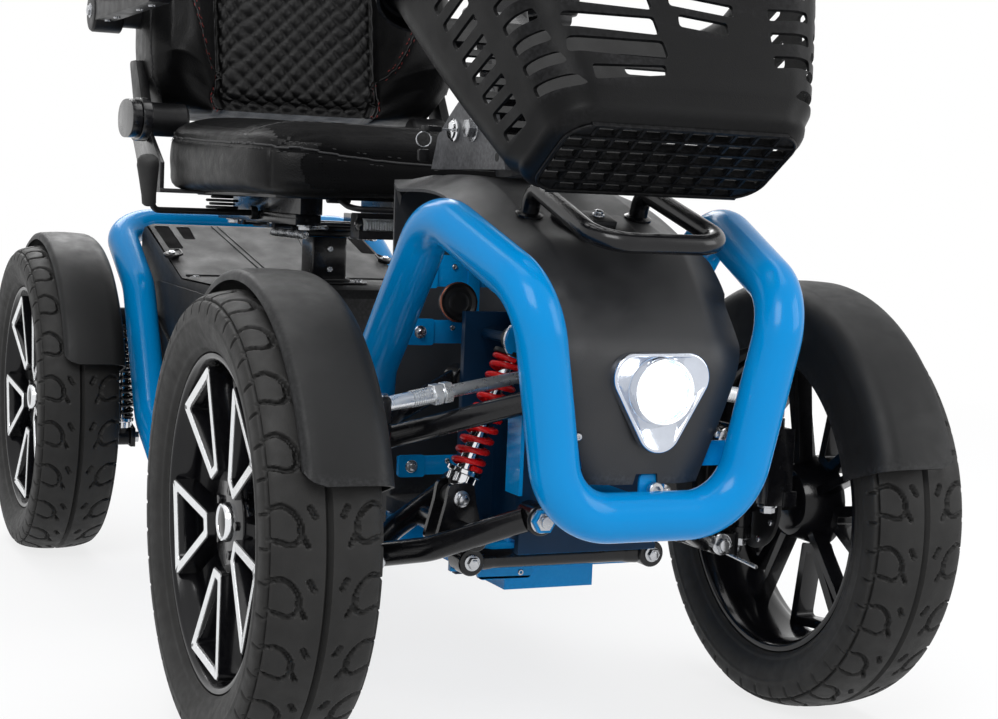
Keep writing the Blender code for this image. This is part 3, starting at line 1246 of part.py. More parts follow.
def backrest():
    """The backrest: a quilted panel between two side bolsters, leaning back on its recliner lugs."""
    columns = [-1.0, -0.90, -0.77, -0.64]
    panel = BACK_PANEL_HALF / BACK_HALF
    cells = round(2 * BACK_PANEL_HALF / (QUILT_PITCH / 2))
    across = [c * BACK_HALF for c in columns]
    across += [BACK_HALF * panel * (2 * i / cells - 1) for i in range(cells + 1)]
    across += [-c * BACK_HALF for c in reversed(columns)]
    rows = round((BACK_HEIGHT - 0.06) / (QUILT_PITCH / 2))
    thickness = 0.052
    bolster = 0.085
    shape = bmesh.new()

    def half_width(share):
        return 1.0 - 0.16 * max(0.0, (share - 0.62) / 0.38) ** 2 - 0.10 * max(0.0, (0.06 - share) / 0.06)

    def forward(x, share, column, row):
        u = abs(x) / BACK_HALF
        fade = min(1.0, share / 0.10) * min(1.0, (1.0 - share) / 0.16)
        if u <= panel + 1e-6:
            raised = (row + column) % 2
            return thickness - QUILT_DEPTH * (1 - raised)
        rise = (u - panel) / (1 - panel)
        return thickness + bolster * fade ** 0.6 * math.sin(min(1.0, rise * 1.35) * math.pi / 2) ** 1.2 * (
            1.0 if rise < 0.8 else 1.0 - 0.30 * (rise - 0.8) / 0.2)

    grid = []
    for row in range(rows + 1):
        share = row / rows
        z = 0.012 + BACK_HEIGHT * share
        line = []
        for column, x in enumerate(across):
            line.append(shape.verts.new((x * half_width(share), -forward(x, share, column, row), z)))
        grid.append(line)
    for row in range(rows):
        for column in range(len(across) - 1):
            corners = (grid[row][column], grid[row][column + 1],
                       grid[row + 1][column + 1], grid[row + 1][column])
            if (row + column) % 2:
                shape.faces.new((corners[0], corners[1], corners[2]))
                shape.faces.new((corners[0], corners[2], corners[3]))
            else:
                shape.faces.new((corners[0], corners[1], corners[3]))
                shape.faces.new((corners[1], corners[2], corners[3]))
    border = [*grid[0], *[line[-1] for line in grid[1:]], *reversed(grid[-1][:-1]),
              *[line[0] for line in reversed(grid[1:-1])]]
    back = []
    for vert in border:
        inset = 0.94
        z = 0.012 + BACK_HEIGHT / 2 + (vert.co.z - 0.012 - BACK_HEIGHT / 2) * 0.97
        back.append(shape.verts.new((vert.co.x * inset, 0.030, z)))
    for i in range(len(border)):
        j = (i + 1) % len(border)
        shape.faces.new((border[j], border[i], back[i], back[j]))
    shape.faces.new(back)
    bmesh.ops.recalc_face_normals(shape, faces=shape.faces)
    body = from_bmesh("back", shape)
    pivot_y, pivot_z = RECLINE_PIVOT
    lean = Matrix.Translation(rear(0, pivot_y, pivot_z)) @ Matrix.Rotation(-BACK_LEAN, 4, "X")
    moved(body, lean @ Matrix.Translation((0, 0.062, 0.004)))
    pieces = [body]
    for side in (-1, 1):
        out = CUSHION_HALF + 0.0030 - GAP
        low_x, high_x = sorted((side * (out - 0.012), side * out))
        outline = ((pivot_y - 0.012, pivot_z - 0.014), (pivot_y + 0.014, pivot_z - 0.014),
                   (pivot_y + 0.062, pivot_z + 0.075), (pivot_y + 0.030, pivot_z + 0.075),
                   (pivot_y - 0.012, pivot_z + 0.014))
        pieces.append(plate(outline, "X", low_x, high_x, rear))
        hub = BACK_HALF + ARM_CLEARANCE - GAP
        pieces.append(cylinder(rear(side * (hub - 0.030), pivot_y + ARM_BEHIND, ARM_PIVOT_HEIGHT),
                               rear(side * hub, pivot_y + ARM_BEHIND, ARM_PIVOT_HEIGHT), 0.018, 10))
    pieces.append(box(rear(-0.199, pivot_y + 0.040, pivot_z + 0.045),
                      rear(0.199, pivot_y + 0.056, pivot_z + 0.070)))
    node("backrest", fused(pieces), LEATHER, "recline_pivot", math.radians(50))


def armrest(side):
    """An arm pad on a housing that hinges on the side of the backrest."""
    pivot_y = RECLINE_PIVOT[0] + ARM_BEHIND
    inner = BACK_HALF + ARM_CLEARANCE
    z = ARM_PIVOT_HEIGHT
    housing = cylinder(rear(side * inner, pivot_y, z), rear(side * (inner + 0.038), pivot_y, z), 0.026, 12)
    low_x, high_x = sorted((side * (inner + 0.012), side * (inner + 0.037)))
    arm = box(rear(low_x, pivot_y - 0.300, z - 0.014), rear(high_x, pivot_y, z + 0.014))
    low_x, high_x = sorted((side * (inner + 0.001), side * (inner + 0.056)))
    pad = box(rear(low_x, pivot_y - 0.330, z + 0.010), rear(high_x, pivot_y - 0.040, z + 0.040))
    bevel = pad.modifiers.new("Bevel", "BEVEL")
    bevel.width = 0.009
    bevel.segments = 1
    name = sided(side)
    node(f"{name}_armrest", fused([housing, arm, baked(pad)]), BLACK_PLASTIC, f"{name}_armrest_pivot")


def swivel_lever():
    """The long lever that frees the swivel: a rod from the swivel plate to a tall grip."""
    z = POST_TOP + 0.026
    hub_x = -(0.100 + GAP)
    corners = [rear(hub_x - 0.004, POST_Y - 0.040, z), rear(-0.235, POST_Y - 0.085, z),
               rear(-0.246, POST_Y - 0.100, z + 0.020)]
    rod = tube(rounded(corners, 0.012), 0.0035)
    low = rear(-0.2445, POST_Y - 0.098, z + 0.006)
    high = rear(-0.252, POST_Y - 0.118, z + 0.060)
    grip = cylinder(low, high, 0.0085, 12, 0.0125)
    hub = cylinder(rear(hub_x, POST_Y - 0.040, z), rear(hub_x - 0.008, POST_Y - 0.040, z), 0.008, 8)
    node("swivel_lever", fused([rod, grip, hub]), BLACK_PLASTIC, "swivel_lever_pivot")


def recline_lever():
    """The recliner's paddle outside the right side plate."""
    pivot_y, pivot_z = RECLINE_PIVOT
    out = -(CUSHION_HALF + 0.0030 + 0.005 + GAP)
    hub = cylinder(rear(out, pivot_y - 0.060, pivot_z - 0.010),
                   rear(out - 0.016, pivot_y - 0.060, pivot_z - 0.010), 0.015, 12)
    outline = ((pivot_y - 0.058, pivot_z - 0.022), (pivot_y - 0.050, pivot_z + 0.004),
               (pivot_y - 0.120, pivot_z + 0.024), (pivot_y - 0.140, pivot_z + 0.006),
               (pivot_y - 0.128, pivot_z - 0.020))
    paddle = plate(outline, "X", out - 0.034, out - 0.010, rear)
    bevel = paddle.modifiers.new("Bevel", "BEVEL")
    bevel.width = 0.006
    bevel.segments = 1
    node("recline_lever", fused([hub, baked(paddle)]), BLACK_PLASTIC, "recline_lever_pivot")


def pivots():
    """The empties on every joint's axis, parents first."""
    for side in (-1, 1):
        name = sided(side)
        pivot(f"{name}_lower_arm_pivot", front(side * LOWER_PIVOT[0], 0, LOWER_PIVOT[1]))
        pivot(f"{name}_upper_arm_pivot", front(side * UPPER_PIVOT[0], 0, UPPER_PIVOT[1]))
        pivot(f"{name}_upright_joint", front(side * LOWER_JOINT[0], 0, LOWER_JOINT[1]),
              f"{name}_lower_arm_pivot")
        pivot(f"{name}_tie_rod_joint", front(side * STEERING_ARM_X, -STEERING_ARM, STEERING_ARM_TOP),
              f"{name}_upright_joint")
        pivot(f"{name}_kingpin", front(side * KINGPIN_X, 0, 0), f"{name}_upright_joint")
        pivot(f"front_{name}_wheel_axle", front(side * WHEEL_OFFSET, 0, 0), f"{name}_kingpin")
    pivot("rear_swing_pivot", rear(0, -0.225, -0.035))
    for side in (-1, 1):
        pivot(f"rear_{sided(side)}_wheel_axle", rear(side * WHEEL_OFFSET, 0, 0), "rear_swing_pivot")
    pivot("tiller_steer_axis", on_steering_axis(0))
    pivot("tiller_tilt_pivot", on_steering_axis(TILT_HEIGHT), "tiller_steer_axis")
    pivot("key_pivot", front(-(TILLER_PLATE_X + TILLER_PLATE), 0.150, 0.350), "tiller_steer_axis")
    pivot("throttle_pivot", on_steering_axis(STEM_LENGTH, -THROTTLE_BACK, -0.070), "tiller_tilt_pivot")
    pivot("seat_swivel_axis", rear(0, POST_Y, POST_TOP))
    pivot("seat_slide_axis", rear(0, POST_Y, POST_TOP + 0.028), "seat_swivel_axis")
    pivot("swivel_lever_pivot", rear(-0.1003, POST_Y - 0.040, POST_TOP + 0.026), "seat_swivel_axis")
    pivot("recline_pivot", rear(0, RECLINE_PIVOT[0], RECLINE_PIVOT[1]), "seat_slide_axis")
    pivot("recline_lever_pivot",
          rear(-(CUSHION_HALF + 0.008), RECLINE_PIVOT[0] - 0.060, RECLINE_PIVOT[1] - 0.010),
          "seat_slide_axis")
    for side in (-1, 1):
        pivot(f"{sided(side)}_armrest_pivot",
              rear(side * (BACK_HALF + 0.020), RECLINE_PIVOT[0] + ARM_BEHIND, ARM_PIVOT_HEIGHT),
              "recline_pivot")


def scooter():
    """Builds every sub-part."""
    pivots()
    chassis_frame()
    front_hoop()
    rear_hoop()
    front_cover()
    headlight()
    grab_loop()
    cross_link()
    foot_deck()
    rear_cover()
    battery_pack()
    for side in (-1, 1):
        name = sided(side)
        lower = wishbone(side, LOWER_PIVOT, LOWER_JOINT, LOWER_TUBE, 0.010, shock_bracket(side))
        node(f"{name}_lower_arm", lower, BLACK_PAINT, f"{name}_lower_arm_pivot")
        upper = wishbone(side, UPPER_PIVOT, UPPER_JOINT, UPPER_TUBE, 0.004)
        node(f"{name}_upper_arm", upper, BLACK_PAINT, f"{name}_upper_arm_pivot")
        upright(side)
        knuckle(side)
        tie_rod(side)
        front_shock(side)
        rear_shock(side)
        wheel("front", side, front)
        wheel("rear", side, rear)
        fender("front", side, front, f"{name}_kingpin")
        fender("rear", side, rear, "rear_swing_pivot")
        armrest(side)
    rear_axle()
    tiller_base()
    tiller_stem()
    console()
    throttle_lever()
    key()
    basket()
    seat_swivel()
    seat_frame()
    seat_lamp()
    cushion()
    backrest()
    swivel_lever()
    recline_lever()


scooter()
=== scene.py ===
"""Looks of the all-terrain mobility scooter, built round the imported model. Metres, +Z up."""

import json
import math

import bmesh
import bpy
import numpy as np
from mathutils import Matrix, Vector
from mathutils.bvhtree import BVHTree
from mathutils.kdtree import KDTree

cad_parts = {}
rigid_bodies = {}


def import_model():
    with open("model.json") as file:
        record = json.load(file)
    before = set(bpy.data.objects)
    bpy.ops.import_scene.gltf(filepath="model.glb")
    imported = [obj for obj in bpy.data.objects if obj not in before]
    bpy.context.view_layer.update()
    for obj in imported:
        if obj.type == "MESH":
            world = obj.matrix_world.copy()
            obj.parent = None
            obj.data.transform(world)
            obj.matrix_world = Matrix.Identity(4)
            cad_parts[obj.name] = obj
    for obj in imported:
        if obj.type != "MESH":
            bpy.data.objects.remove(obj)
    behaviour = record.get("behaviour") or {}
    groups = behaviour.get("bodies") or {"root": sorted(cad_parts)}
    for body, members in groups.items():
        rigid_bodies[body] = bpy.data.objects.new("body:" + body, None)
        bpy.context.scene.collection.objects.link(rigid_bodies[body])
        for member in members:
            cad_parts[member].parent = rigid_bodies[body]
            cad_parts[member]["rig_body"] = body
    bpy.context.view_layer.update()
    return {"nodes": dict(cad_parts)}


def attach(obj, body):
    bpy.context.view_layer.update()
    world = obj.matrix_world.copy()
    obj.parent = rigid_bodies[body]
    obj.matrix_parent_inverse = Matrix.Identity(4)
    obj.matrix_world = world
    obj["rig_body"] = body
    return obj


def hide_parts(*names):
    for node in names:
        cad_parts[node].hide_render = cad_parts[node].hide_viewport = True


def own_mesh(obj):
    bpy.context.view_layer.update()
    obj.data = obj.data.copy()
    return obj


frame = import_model()
NODES = frame["nodes"]

# Places that the solids share, in metres
FRONT_AXLE_Y = -0.445
REAR_AXLE_Y = 0.480
AXLE_HEIGHT = 0.200
WHEEL_OFFSET = 0.280
TYRE_RADIUS = 0.200
SIDES = (-1, 1)


def front(x, y, z):
    """A point measured from the middle of the front axle."""
    return Vector((x, FRONT_AXLE_Y + y, AXLE_HEIGHT + z))


def rear(x, y, z):
    """A point measured from the middle of the rear axle."""
    return Vector((x, REAR_AXLE_Y + y, AXLE_HEIGHT + z))


def sided(side):
    """The rider faces -Y, so +X is the rider's left."""
    return "left" if side > 0 else "right"


LEAN = math.radians(20)
STEER_UP = Vector((0, math.sin(LEAN), math.cos(LEAN)))
STEER_AHEAD = Vector((0, -math.cos(LEAN), math.sin(LEAN)))


def on_steering(distance, ahead=0.0, across=0.0):
    """A point up the steering axis from the top of the head tube, then ahead of it and across."""
    return front(0, 0.100, 0.330) + STEER_UP * distance + STEER_AHEAD * ahead + Vector((across, 0, 0))


# Camera
EYE = Vector((-0.7344, -1.9340, 0.4852))
YAW, PITCH, ROLL = 0.4285, -0.0884, 0.0416
SENSOR = 36.0
LENS = 65.37


def camera():
    """A camera where the photograph was taken from."""
    ahead = Vector((math.sin(YAW) * math.cos(PITCH), math.cos(YAW) * math.cos(PITCH), math.sin(PITCH)))
    right = Vector((math.cos(YAW), -math.sin(YAW), 0.0))
    up = right.cross(ahead)
    rolled_right = right * math.cos(ROLL) + up * math.sin(ROLL)
    rolled_up = up * math.cos(ROLL) - right * math.sin(ROLL)
    data = bpy.data.cameras.new("camera")
    data.sensor_width = SENSOR
    data.lens = LENS
    data.clip_start = 0.05
    data.clip_end = 60
    obj = bpy.data.objects.new("camera", data)
    turn = Matrix((rolled_right, rolled_up, -ahead)).transposed().to_4x4()
    obj.matrix_world = Matrix.Translation(EYE) @ turn
    bpy.context.scene.collection.objects.link(obj)
    bpy.context.scene.camera = obj


def lamp(name, place, target, size, power):
    """A soft rectangular studio lamp."""
    data = bpy.data.lights.new(name, "AREA")
    data.shape = "RECTANGLE"
    data.size, data.size_y = size
    data.energy = power
    obj = bpy.data.objects.new(name, data)
    obj.matrix_world = Matrix.Translation(place) @ (
        Vector(target) - Vector(place)).to_track_quat("-Z", "Y").to_matrix().to_4x4()
    bpy.context.scene.collection.objects.link(obj)


def seen_directly(tree):
    """The share that is 1 for rays from the camera, in a mirror or through glass."""
    path = tree.nodes.new("ShaderNodeLightPath")
    first = tree.nodes.new("ShaderNodeMath")
    first.operation = "MAXIMUM"
    tree.links.new(path.outputs["Is Camera Ray"], first.inputs[0])
    tree.links.new(path.outputs["Is Glossy Ray"], first.inputs[1])
    second = tree.nodes.new("ShaderNodeMath")
    second.operation = "MAXIMUM"
    tree.links.new(first.outputs[0], second.inputs[0])
    tree.links.new(path.outputs["Is Transmission Ray"], second.inputs[1])
    return second.outputs[0]


def stage():
    """The pale floor, the even world light and the studio lamps."""
    world = bpy.data.worlds.new("studio")
    bpy.context.scene.world = world
    world.use_nodes = True
    tree = world.node_tree
    tree.nodes.clear()
    plain = tree.nodes.new("ShaderNodeBackground")
    plain.inputs["Color"].default_value = (0.93, 0.95, 1.0, 1)
    plain.inputs["Strength"].default_value = 0.42
    white = tree.nodes.new("ShaderNodeBackground")
    white.inputs["Color"].default_value = (1, 1, 1, 1)
    mix = tree.nodes.new("ShaderNodeMixShader")
    tree.links.new(seen_directly(tree), mix.inputs["Fac"])
    tree.links.new(plain.outputs[0], mix.inputs[1])
    tree.links.new(white.outputs[0], mix.inputs[2])
    out = tree.nodes.new("ShaderNodeOutputWorld")
    tree.links.new(mix.outputs[0], out.inputs["Surface"])

    mesh = bpy.data.meshes.new("floor")
    reach = 14.0
    mesh.from_pydata([(-reach, -reach, -0.0005), (reach, -reach, -0.0005), (reach, reach, -0.0005),
                      (-reach, reach, -0.0005)], [], [(0, 1, 2, 3)])
    floor = bpy.data.objects.new("floor", mesh)
    bpy.context.scene.collection.objects.link(floor)
    material = bpy.data.materials.new("floor")
    material.use_nodes = True
    tree = material.node_tree
    tree.nodes.clear()
    matt = tree.nodes.new("ShaderNodeBsdfDiffuse")
    matt.inputs["Color"].default_value = (0.86, 0.86, 0.86, 1)
    glow = tree.nodes.new("ShaderNodeEmission")
    glow.inputs["Color"].default_value = (1, 1, 1, 1)
    place = tree.nodes.new("ShaderNodeTexCoord").outputs["Object"]
    reach = tree.nodes.new("ShaderNodeVectorMath")
    reach.operation = "LENGTH"
    tree.links.new(place, reach.inputs[0])
    share = tree.nodes.new("ShaderNodeMath")
    share.operation = "MULTIPLY"
    tree.links.new(seen_directly(tree), share.inputs[0])
    tree.links.new(ramp(tree, reach.outputs["Value"], 1.0, 3.2, 0.80, 1.0), share.inputs[1])
    mix = tree.nodes.new("ShaderNodeMixShader")
    tree.links.new(share.outputs[0], mix.inputs["Fac"])
    tree.links.new(matt.outputs[0], mix.inputs[1])
    tree.links.new(glow.outputs[0], mix.inputs[2])
    out = tree.nodes.new("ShaderNodeOutputMaterial")
    tree.links.new(mix.outputs[0], out.inputs["Surface"])
    mesh.materials.append(material)

    lamp("key", (-1.6, -2.6, 2.6), (0, -0.2, 0.4), (1.6, 1.6), 62)
    lamp("fill", (2.6, -2.2, 1.6), (0, -0.2, 0.4), (1.8, 1.8), 34)
    lamp("back", (0.3, 2.8, 2.4), (0, 0.2, 0.5), (2.2, 1.4), 55)
    lamp("overhead", (0, 0, 3.2), (0, 0, 0.4), (2.6, 2.6), 46)
    bpy.context.scene.view_settings.view_transform = "Standard"


# Materials: every one is built from the same parts, in the object's own metres
def add(tree, kind, **inputs):
    made = tree.nodes.new(kind)
    for name, value in inputs.items():
        made.inputs[name.replace("_", " ")].default_value = value
    return made


def started(name):
    """A new material with its nodes, its shader and the place on the object."""
    material = bpy.data.materials.new(name)
    material.use_nodes = True
    tree = material.node_tree
    shader = tree.nodes["Principled BSDF"]
    return material, tree, shader, tree.nodes.new("ShaderNodeTexCoord").outputs["Object"]


def noise(tree, place, scale, detail=3.0, roughness=0.55):
    made = add(tree, "ShaderNodeTexNoise", Scale=scale, Detail=detail, Roughness=roughness)
    tree.links.new(place, made.inputs["Vector"])
    return made.outputs["Fac"]


def ramp(tree, source, low, high, to_low, to_high):
    made = tree.nodes.new("ShaderNodeMapRange")
    tree.links.new(source, made.inputs["Value"])
    for name, value in (("From Min", low), ("From Max", high), ("To Min", to_low), ("To Max", to_high)):
        made.inputs[name].default_value = value
    return made.outputs["Result"]


def mixed(tree, share, first, second):
    """A colour between two, by a share; each colour is a tuple or a socket."""
    made = tree.nodes.new("ShaderNodeMix")
    made.data_type = "RGBA"
    if isinstance(share, (int, float)):
        made.inputs["Factor"].default_value = share
    else:
        tree.links.new(share, made.inputs["Factor"])
    for socket, value in ((made.inputs[6], first), (made.inputs[7], second)):
        if isinstance(value, tuple):
            socket.default_value = (*value, 1)
        else:
            tree.links.new(value, socket)
    return made.outputs[2]


def bump(tree, height, distance, under=None):
    made = tree.nodes.new("ShaderNodeBump")
    made.inputs["Distance"].default_value = distance
    made.inputs["Strength"].default_value = 1.0
    tree.links.new(height, made.inputs["Height"])
    if under:
        tree.links.new(under, made.inputs["Normal"])
    return made.outputs["Normal"]


def surface(name, colour, roughness, metallic=0.0, grain=0.0, grain_size=0.0006, mottle=0.12,
            patch=0.05, wear=None, hollow_dust_and_shade=None, coat=0.0, uneven=0.08, cells=False, specular=0.5):
    """A procedural finish: mottled colour, uneven gloss, a fine grain, worn edges; hollows paler as dust,
    darker as painted shade.
    """
    material, tree, shader, place = started(name)
    broad = noise(tree, place, 1 / patch)
    dark = tuple(channel * (1 - mottle) for channel in colour)
    pale = tuple(min(1.0, channel * (1 + mottle)) for channel in colour)
    tone = mixed(tree, ramp(tree, broad, 0.3, 0.7, 0, 1), dark, pale)
    if wear or hollow_dust_and_shade:
        shape = tree.nodes.new("ShaderNodeNewGeometry").outputs["Pointiness"]
    # The hollows take a tint: where it is paler than the surface it is dust, where it is darker it is painted
    # shade.
    if hollow_dust_and_shade:
        hollow = ramp(tree, shape, 0.42, 0.49, hollow_dust_and_shade[1], 0.0)
        tone = mixed(tree, hollow, tone, hollow_dust_and_shade[0])
    if wear:
        scuffs = noise(tree, place, 300.0, 4.0)
        edge = ramp(tree, shape, 0.515, 0.56, 0.0, 1.0)
        both = tree.nodes.new("ShaderNodeMath")
        both.operation = "MULTIPLY"
        tree.links.new(edge, both.inputs[0])
        tree.links.new(ramp(tree, scuffs, 0.4, 0.65, 0.0, wear[1]), both.inputs[1])
        tone = mixed(tree, both.outputs[0], tone, wear[0])
    tree.links.new(tone, shader.inputs["Base Color"])
    gloss = noise(tree, place, 1 / (patch * 0.4), 4.0)
    tree.links.new(ramp(tree, gloss, 0.3, 0.7, roughness - uneven, roughness + uneven),
                   shader.inputs["Roughness"])
    shader.inputs["Metallic"].default_value = metallic
    shader.inputs["Specular IOR Level"].default_value = specular
    shader.inputs["Coat Weight"].default_value = coat
    shader.inputs["Coat Roughness"].default_value = 0.05
    if grain:
        if cells:
            texture = add(tree, "ShaderNodeTexVoronoi", Scale=1 / grain_size)
            texture.feature = "SMOOTH_F1"
            texture.inputs["Smoothness"].default_value = 0.4
            tree.links.new(place, texture.inputs["Vector"])
            height = texture.outputs["Distance"]
        else:
            height = noise(tree, place, 1 / grain_size, 2.0)
        tree.links.new(bump(tree, height, grain), shader.inputs["Normal"])
    return material


BLUE = surface("blue_paint", (0.0, 0.25, 0.62), 0.20, mottle=0.03, patch=0.15, grain=0.00004,
               grain_size=0.004, wear=((0.02, 0.36, 0.74), 0.2), coat=0.08, uneven=0.04, specular=0.14)
# A dark navy copy of the blue paint for the inside of the frame's bay: painted shade, with still darker
# hollows.
BLUE_PAINTED_SHADE = surface("blue_painted_shade", (0.0, 0.020, 0.055), 0.45, mottle=0.2, patch=0.05, grain=0.00004,
                      grain_size=0.003, hollow_dust_and_shade=((0.0, 0.004, 0.010), 0.5), specular=0.2)
BLACK_PAINT = surface("black_paint", (0.004, 0.004, 0.005), 0.24, mottle=0.2, grain=0.00004, grain_size=0.002,
                      wear=((0.03, 0.03, 0.033), 0.15), coat=0.15, uneven=0.06, specular=0.3)
SATIN_BLACK = surface("satin_black", (0.0065, 0.0065, 0.0072), 0.42, mottle=0.2, grain=0.00008,
                      grain_size=0.0012, wear=((0.04, 0.04, 0.043), 0.2), specular=0.25)
FENDER_PLASTIC = surface("fender_plastic", (0.0085, 0.0088, 0.0092), 0.50, mottle=0.12, grain=0.00010,
                         grain_size=0.0007, wear=((0.04, 0.04, 0.042), 0.4), specular=0.22)
COVER_PLASTIC = surface("cover_plastic", (0.0165, 0.0170, 0.0185), 0.46, mottle=0.10, grain=0.00012,
                        grain_size=0.0007, wear=((0.07, 0.07, 0.075), 0.4), patch=0.09)
REAR_PLASTIC = surface("rear_plastic", (0.0110, 0.0112, 0.0118), 0.60, mottle=0.12, grain=0.00016,
                       grain_size=0.0009, wear=((0.05, 0.05, 0.052), 0.4), patch=0.09, specular=0.25)
BASKET_PLASTIC = surface("basket_plastic", (0.0036, 0.0037, 0.0040), 0.42, mottle=0.14, grain=0.00012,
                         grain_size=0.0008, wear=((0.026, 0.026, 0.028), 0.45), patch=0.07, specular=0.12)
DECK_PLASTIC = surface("deck_plastic", (0.012, 0.012, 0.013), 0.62, mottle=0.15, grain=0.0003,
                       grain_size=0.0016, wear=((0.06, 0.06, 0.06), 0.4), hollow_dust_and_shade=((0.05, 0.047, 0.042), 0.3),
                       cells=True)
# The tread's grooves and hollows are tinted darker: painted shade. The paler edges are wear.
RUBBER = surface("tyre_rubber", (0.0125, 0.0122, 0.0118), 0.58, mottle=0.25, patch=0.03, grain=0.00016,
                 grain_size=0.0009, wear=((0.030, 0.028, 0.026), 0.6), hollow_dust_and_shade=((0.0012, 0.0012, 0.0012), 0.95),
                 specular=0.28)
GRIP_RUBBER = surface("grip_rubber", (0.010, 0.010, 0.010), 0.66, mottle=0.15, grain=0.0002,
                      grain_size=0.0008, cells=True)
# Chrome and bright steel are tinted darker in their hollows: painted shade.
CHROME = surface("chrome", (0.78, 0.79, 0.81), 0.12, metallic=1.0, mottle=0.04, grain=0.00002,
                 grain_size=0.002, hollow_dust_and_shade=((0.20, 0.20, 0.20), 0.4), uneven=0.05)
STEEL = surface("bright_steel", (0.50, 0.51, 0.53), 0.28, metallic=1.0, mottle=0.10, patch=0.01,
                grain=0.00004, grain_size=0.0008, hollow_dust_and_shade=((0.10, 0.10, 0.10), 0.5))
MACHINED = surface("machined_rim", (0.80, 0.81, 0.82), 0.22, metallic=0.85, mottle=0.06, patch=0.02,
                   grain=0.00003, grain_size=0.0006, uneven=0.06)
RIM_BLACK = surface("rim_black", (0.004, 0.004, 0.005), 0.18, mottle=0.2, grain=0.00003, grain_size=0.003,
                    wear=((0.03, 0.03, 0.03), 0.12), coat=0.15, uneven=0.05, specular=0.22)
SPRING_RED = surface("spring_red", (0.74, 0.005, 0.008), 0.26, mottle=0.08, patch=0.02, grain=0.00004,
                     grain_size=0.002, wear=((0.85, 0.09, 0.07), 0.2), coat=0.15, specular=0.25)
GREY_PAINT = surface("grey_paint", (0.075, 0.077, 0.082), 0.42, mottle=0.07, grain=0.00006, grain_size=0.001,
                     wear=((0.22, 0.22, 0.23), 0.5))
BRAKE_RED = surface("lamp_red", (0.30, 0.004, 0.006), 0.10, mottle=0.10, patch=0.01, grain=0.00020,
                    grain_size=0.0035, coat=1.0, cells=True)
AMBER = surface("lamp_amber", (0.60, 0.16, 0.004), 0.10, mottle=0.10, patch=0.01, grain=0.00020,
                grain_size=0.0035, coat=1.0, cells=True)
RED_STITCH = surface("red_stitch", (0.17, 0.012, 0.010), 0.70, mottle=0.3, patch=0.002, grain=0.0001,
                     grain_size=0.0005)
BLACK_STITCH = surface("black_stitch", (0.020, 0.020, 0.021), 0.60, mottle=0.3, patch=0.002, grain=0.0001,
                       grain_size=0.0005)


def glowing(name, colour, strength, spots):
    """A lit lamp face: bright all over with brighter small spots."""
    material, tree, shader, place = started(name)
    texture = add(tree, "ShaderNodeTexVoronoi", Scale=spots)
    tree.links.new(place, texture.inputs["Vector"])
    near = ramp(tree, texture.outputs["Distance"], 0.15, 0.65, 0.0, 1.0)
    tree.links.new(mixed(tree, near, (1.0, 1.0, 1.0), colour), shader.inputs["Emission Color"])
    shader.inputs["Emission Strength"].default_value = strength
    shader.inputs["Base Color"].default_value = (0.9, 0.95, 1.0, 1)
    shader.inputs["Roughness"].default_value = 0.2
    tree.links.new(bump(tree, texture.outputs["Distance"], 0.0004), shader.inputs["Normal"])
    return material


def glass(name, colour, roughness, ripple):
    """Clear moulded plastic with fine flutes in it."""
    material, tree, shader, place = started(name)
    shader.inputs["Transmission Weight"].default_value = 1.0
    shader.inputs["IOR"].default_value = 1.45
    cloud = noise(tree, place, 60.0)
    tint = tuple(channel * 0.93 for channel in colour)
    tree.links.new(mixed(tree, ramp(tree, cloud, 0.3, 0.7, 0, 1), colour, tint), shader.inputs["Base Color"])
    tree.links.new(ramp(tree, cloud, 0.3, 0.7, roughness, roughness + 0.04), shader.inputs["Roughness"])
    tree.links.new(bump(tree, noise(tree, place, ripple), 0.0001), shader.inputs["Normal"])
    return material


LAMP_CHROME = surface("lamp_bowl", (0.62, 0.66, 0.74), 0.14, metallic=1.0, mottle=0.06, patch=0.02,
                      grain=0.00005, grain_size=0.003, uneven=0.06)
LAMP_LIT = glowing("lamp_lit", (0.40, 0.70, 1.0), 0.9, 260.0)
LAMP_CORE = glowing("lamp_core", (0.80, 0.97, 1.0), 4.0, 500.0)
CLEAR = glass("clear_lens", (0.96, 0.98, 1.0), 0.02, 300.0)
# Tinted darker in the hollows: painted shade.
BRIGHT_ROD = surface("bright_rod", (0.86, 0.88, 0.90), 0.30, metallic=0.85, mottle=0.06, patch=0.015,
                     grain=0.00003, grain_size=0.0008, hollow_dust_and_shade=((0.16, 0.16, 0.16), 0.4), uneven=0.06)
COPPER = surface("copper", (0.22, 0.085, 0.055), 0.34, metallic=1.0, mottle=0.2, patch=0.006)


def leather(name, colour, roughness, dotted=0.0, specular=0.16):
    """Soft hide: a fine cell grain over broad creases, with rows of small holes where it is dotted."""
    # Tinted darker in the hollows and creases: painted shade.
    material = surface(name, colour, roughness, mottle=0.16, patch=0.045, grain=0.00022, grain_size=0.0016,
                       wear=((0.026, 0.025, 0.024), 0.35), hollow_dust_and_shade=((0.0015, 0.0015, 0.0015), 0.5), cells=True,
                       specular=specular)
    tree = material.node_tree
    shader = tree.nodes["Principled BSDF"]
    place = tree.nodes["Texture Coordinate"].outputs["Object"]
    under = shader.inputs["Normal"].links[0].from_socket
    creases = bump(tree, noise(tree, place, 38.0, 3.0, 0.5), 0.0005, under)
    if dotted:
        holes = add(tree, "ShaderNodeTexVoronoi", Scale=1 / dotted, Randomness=0.0)
        tree.links.new(place, holes.inputs["Vector"])
        dots = ramp(tree, holes.outputs["Distance"], 0.12, 0.24, 0.0, 1.0)
        tone = shader.inputs["Base Color"].links[0].from_socket
        tree.links.new(mixed(tree, dots, (0.0015, 0.0015, 0.0015), tone), shader.inputs["Base Color"])
        creases = bump(tree, dots, 0.0005, creases)
    tree.links.new(creases, shader.inputs["Normal"])
    return material


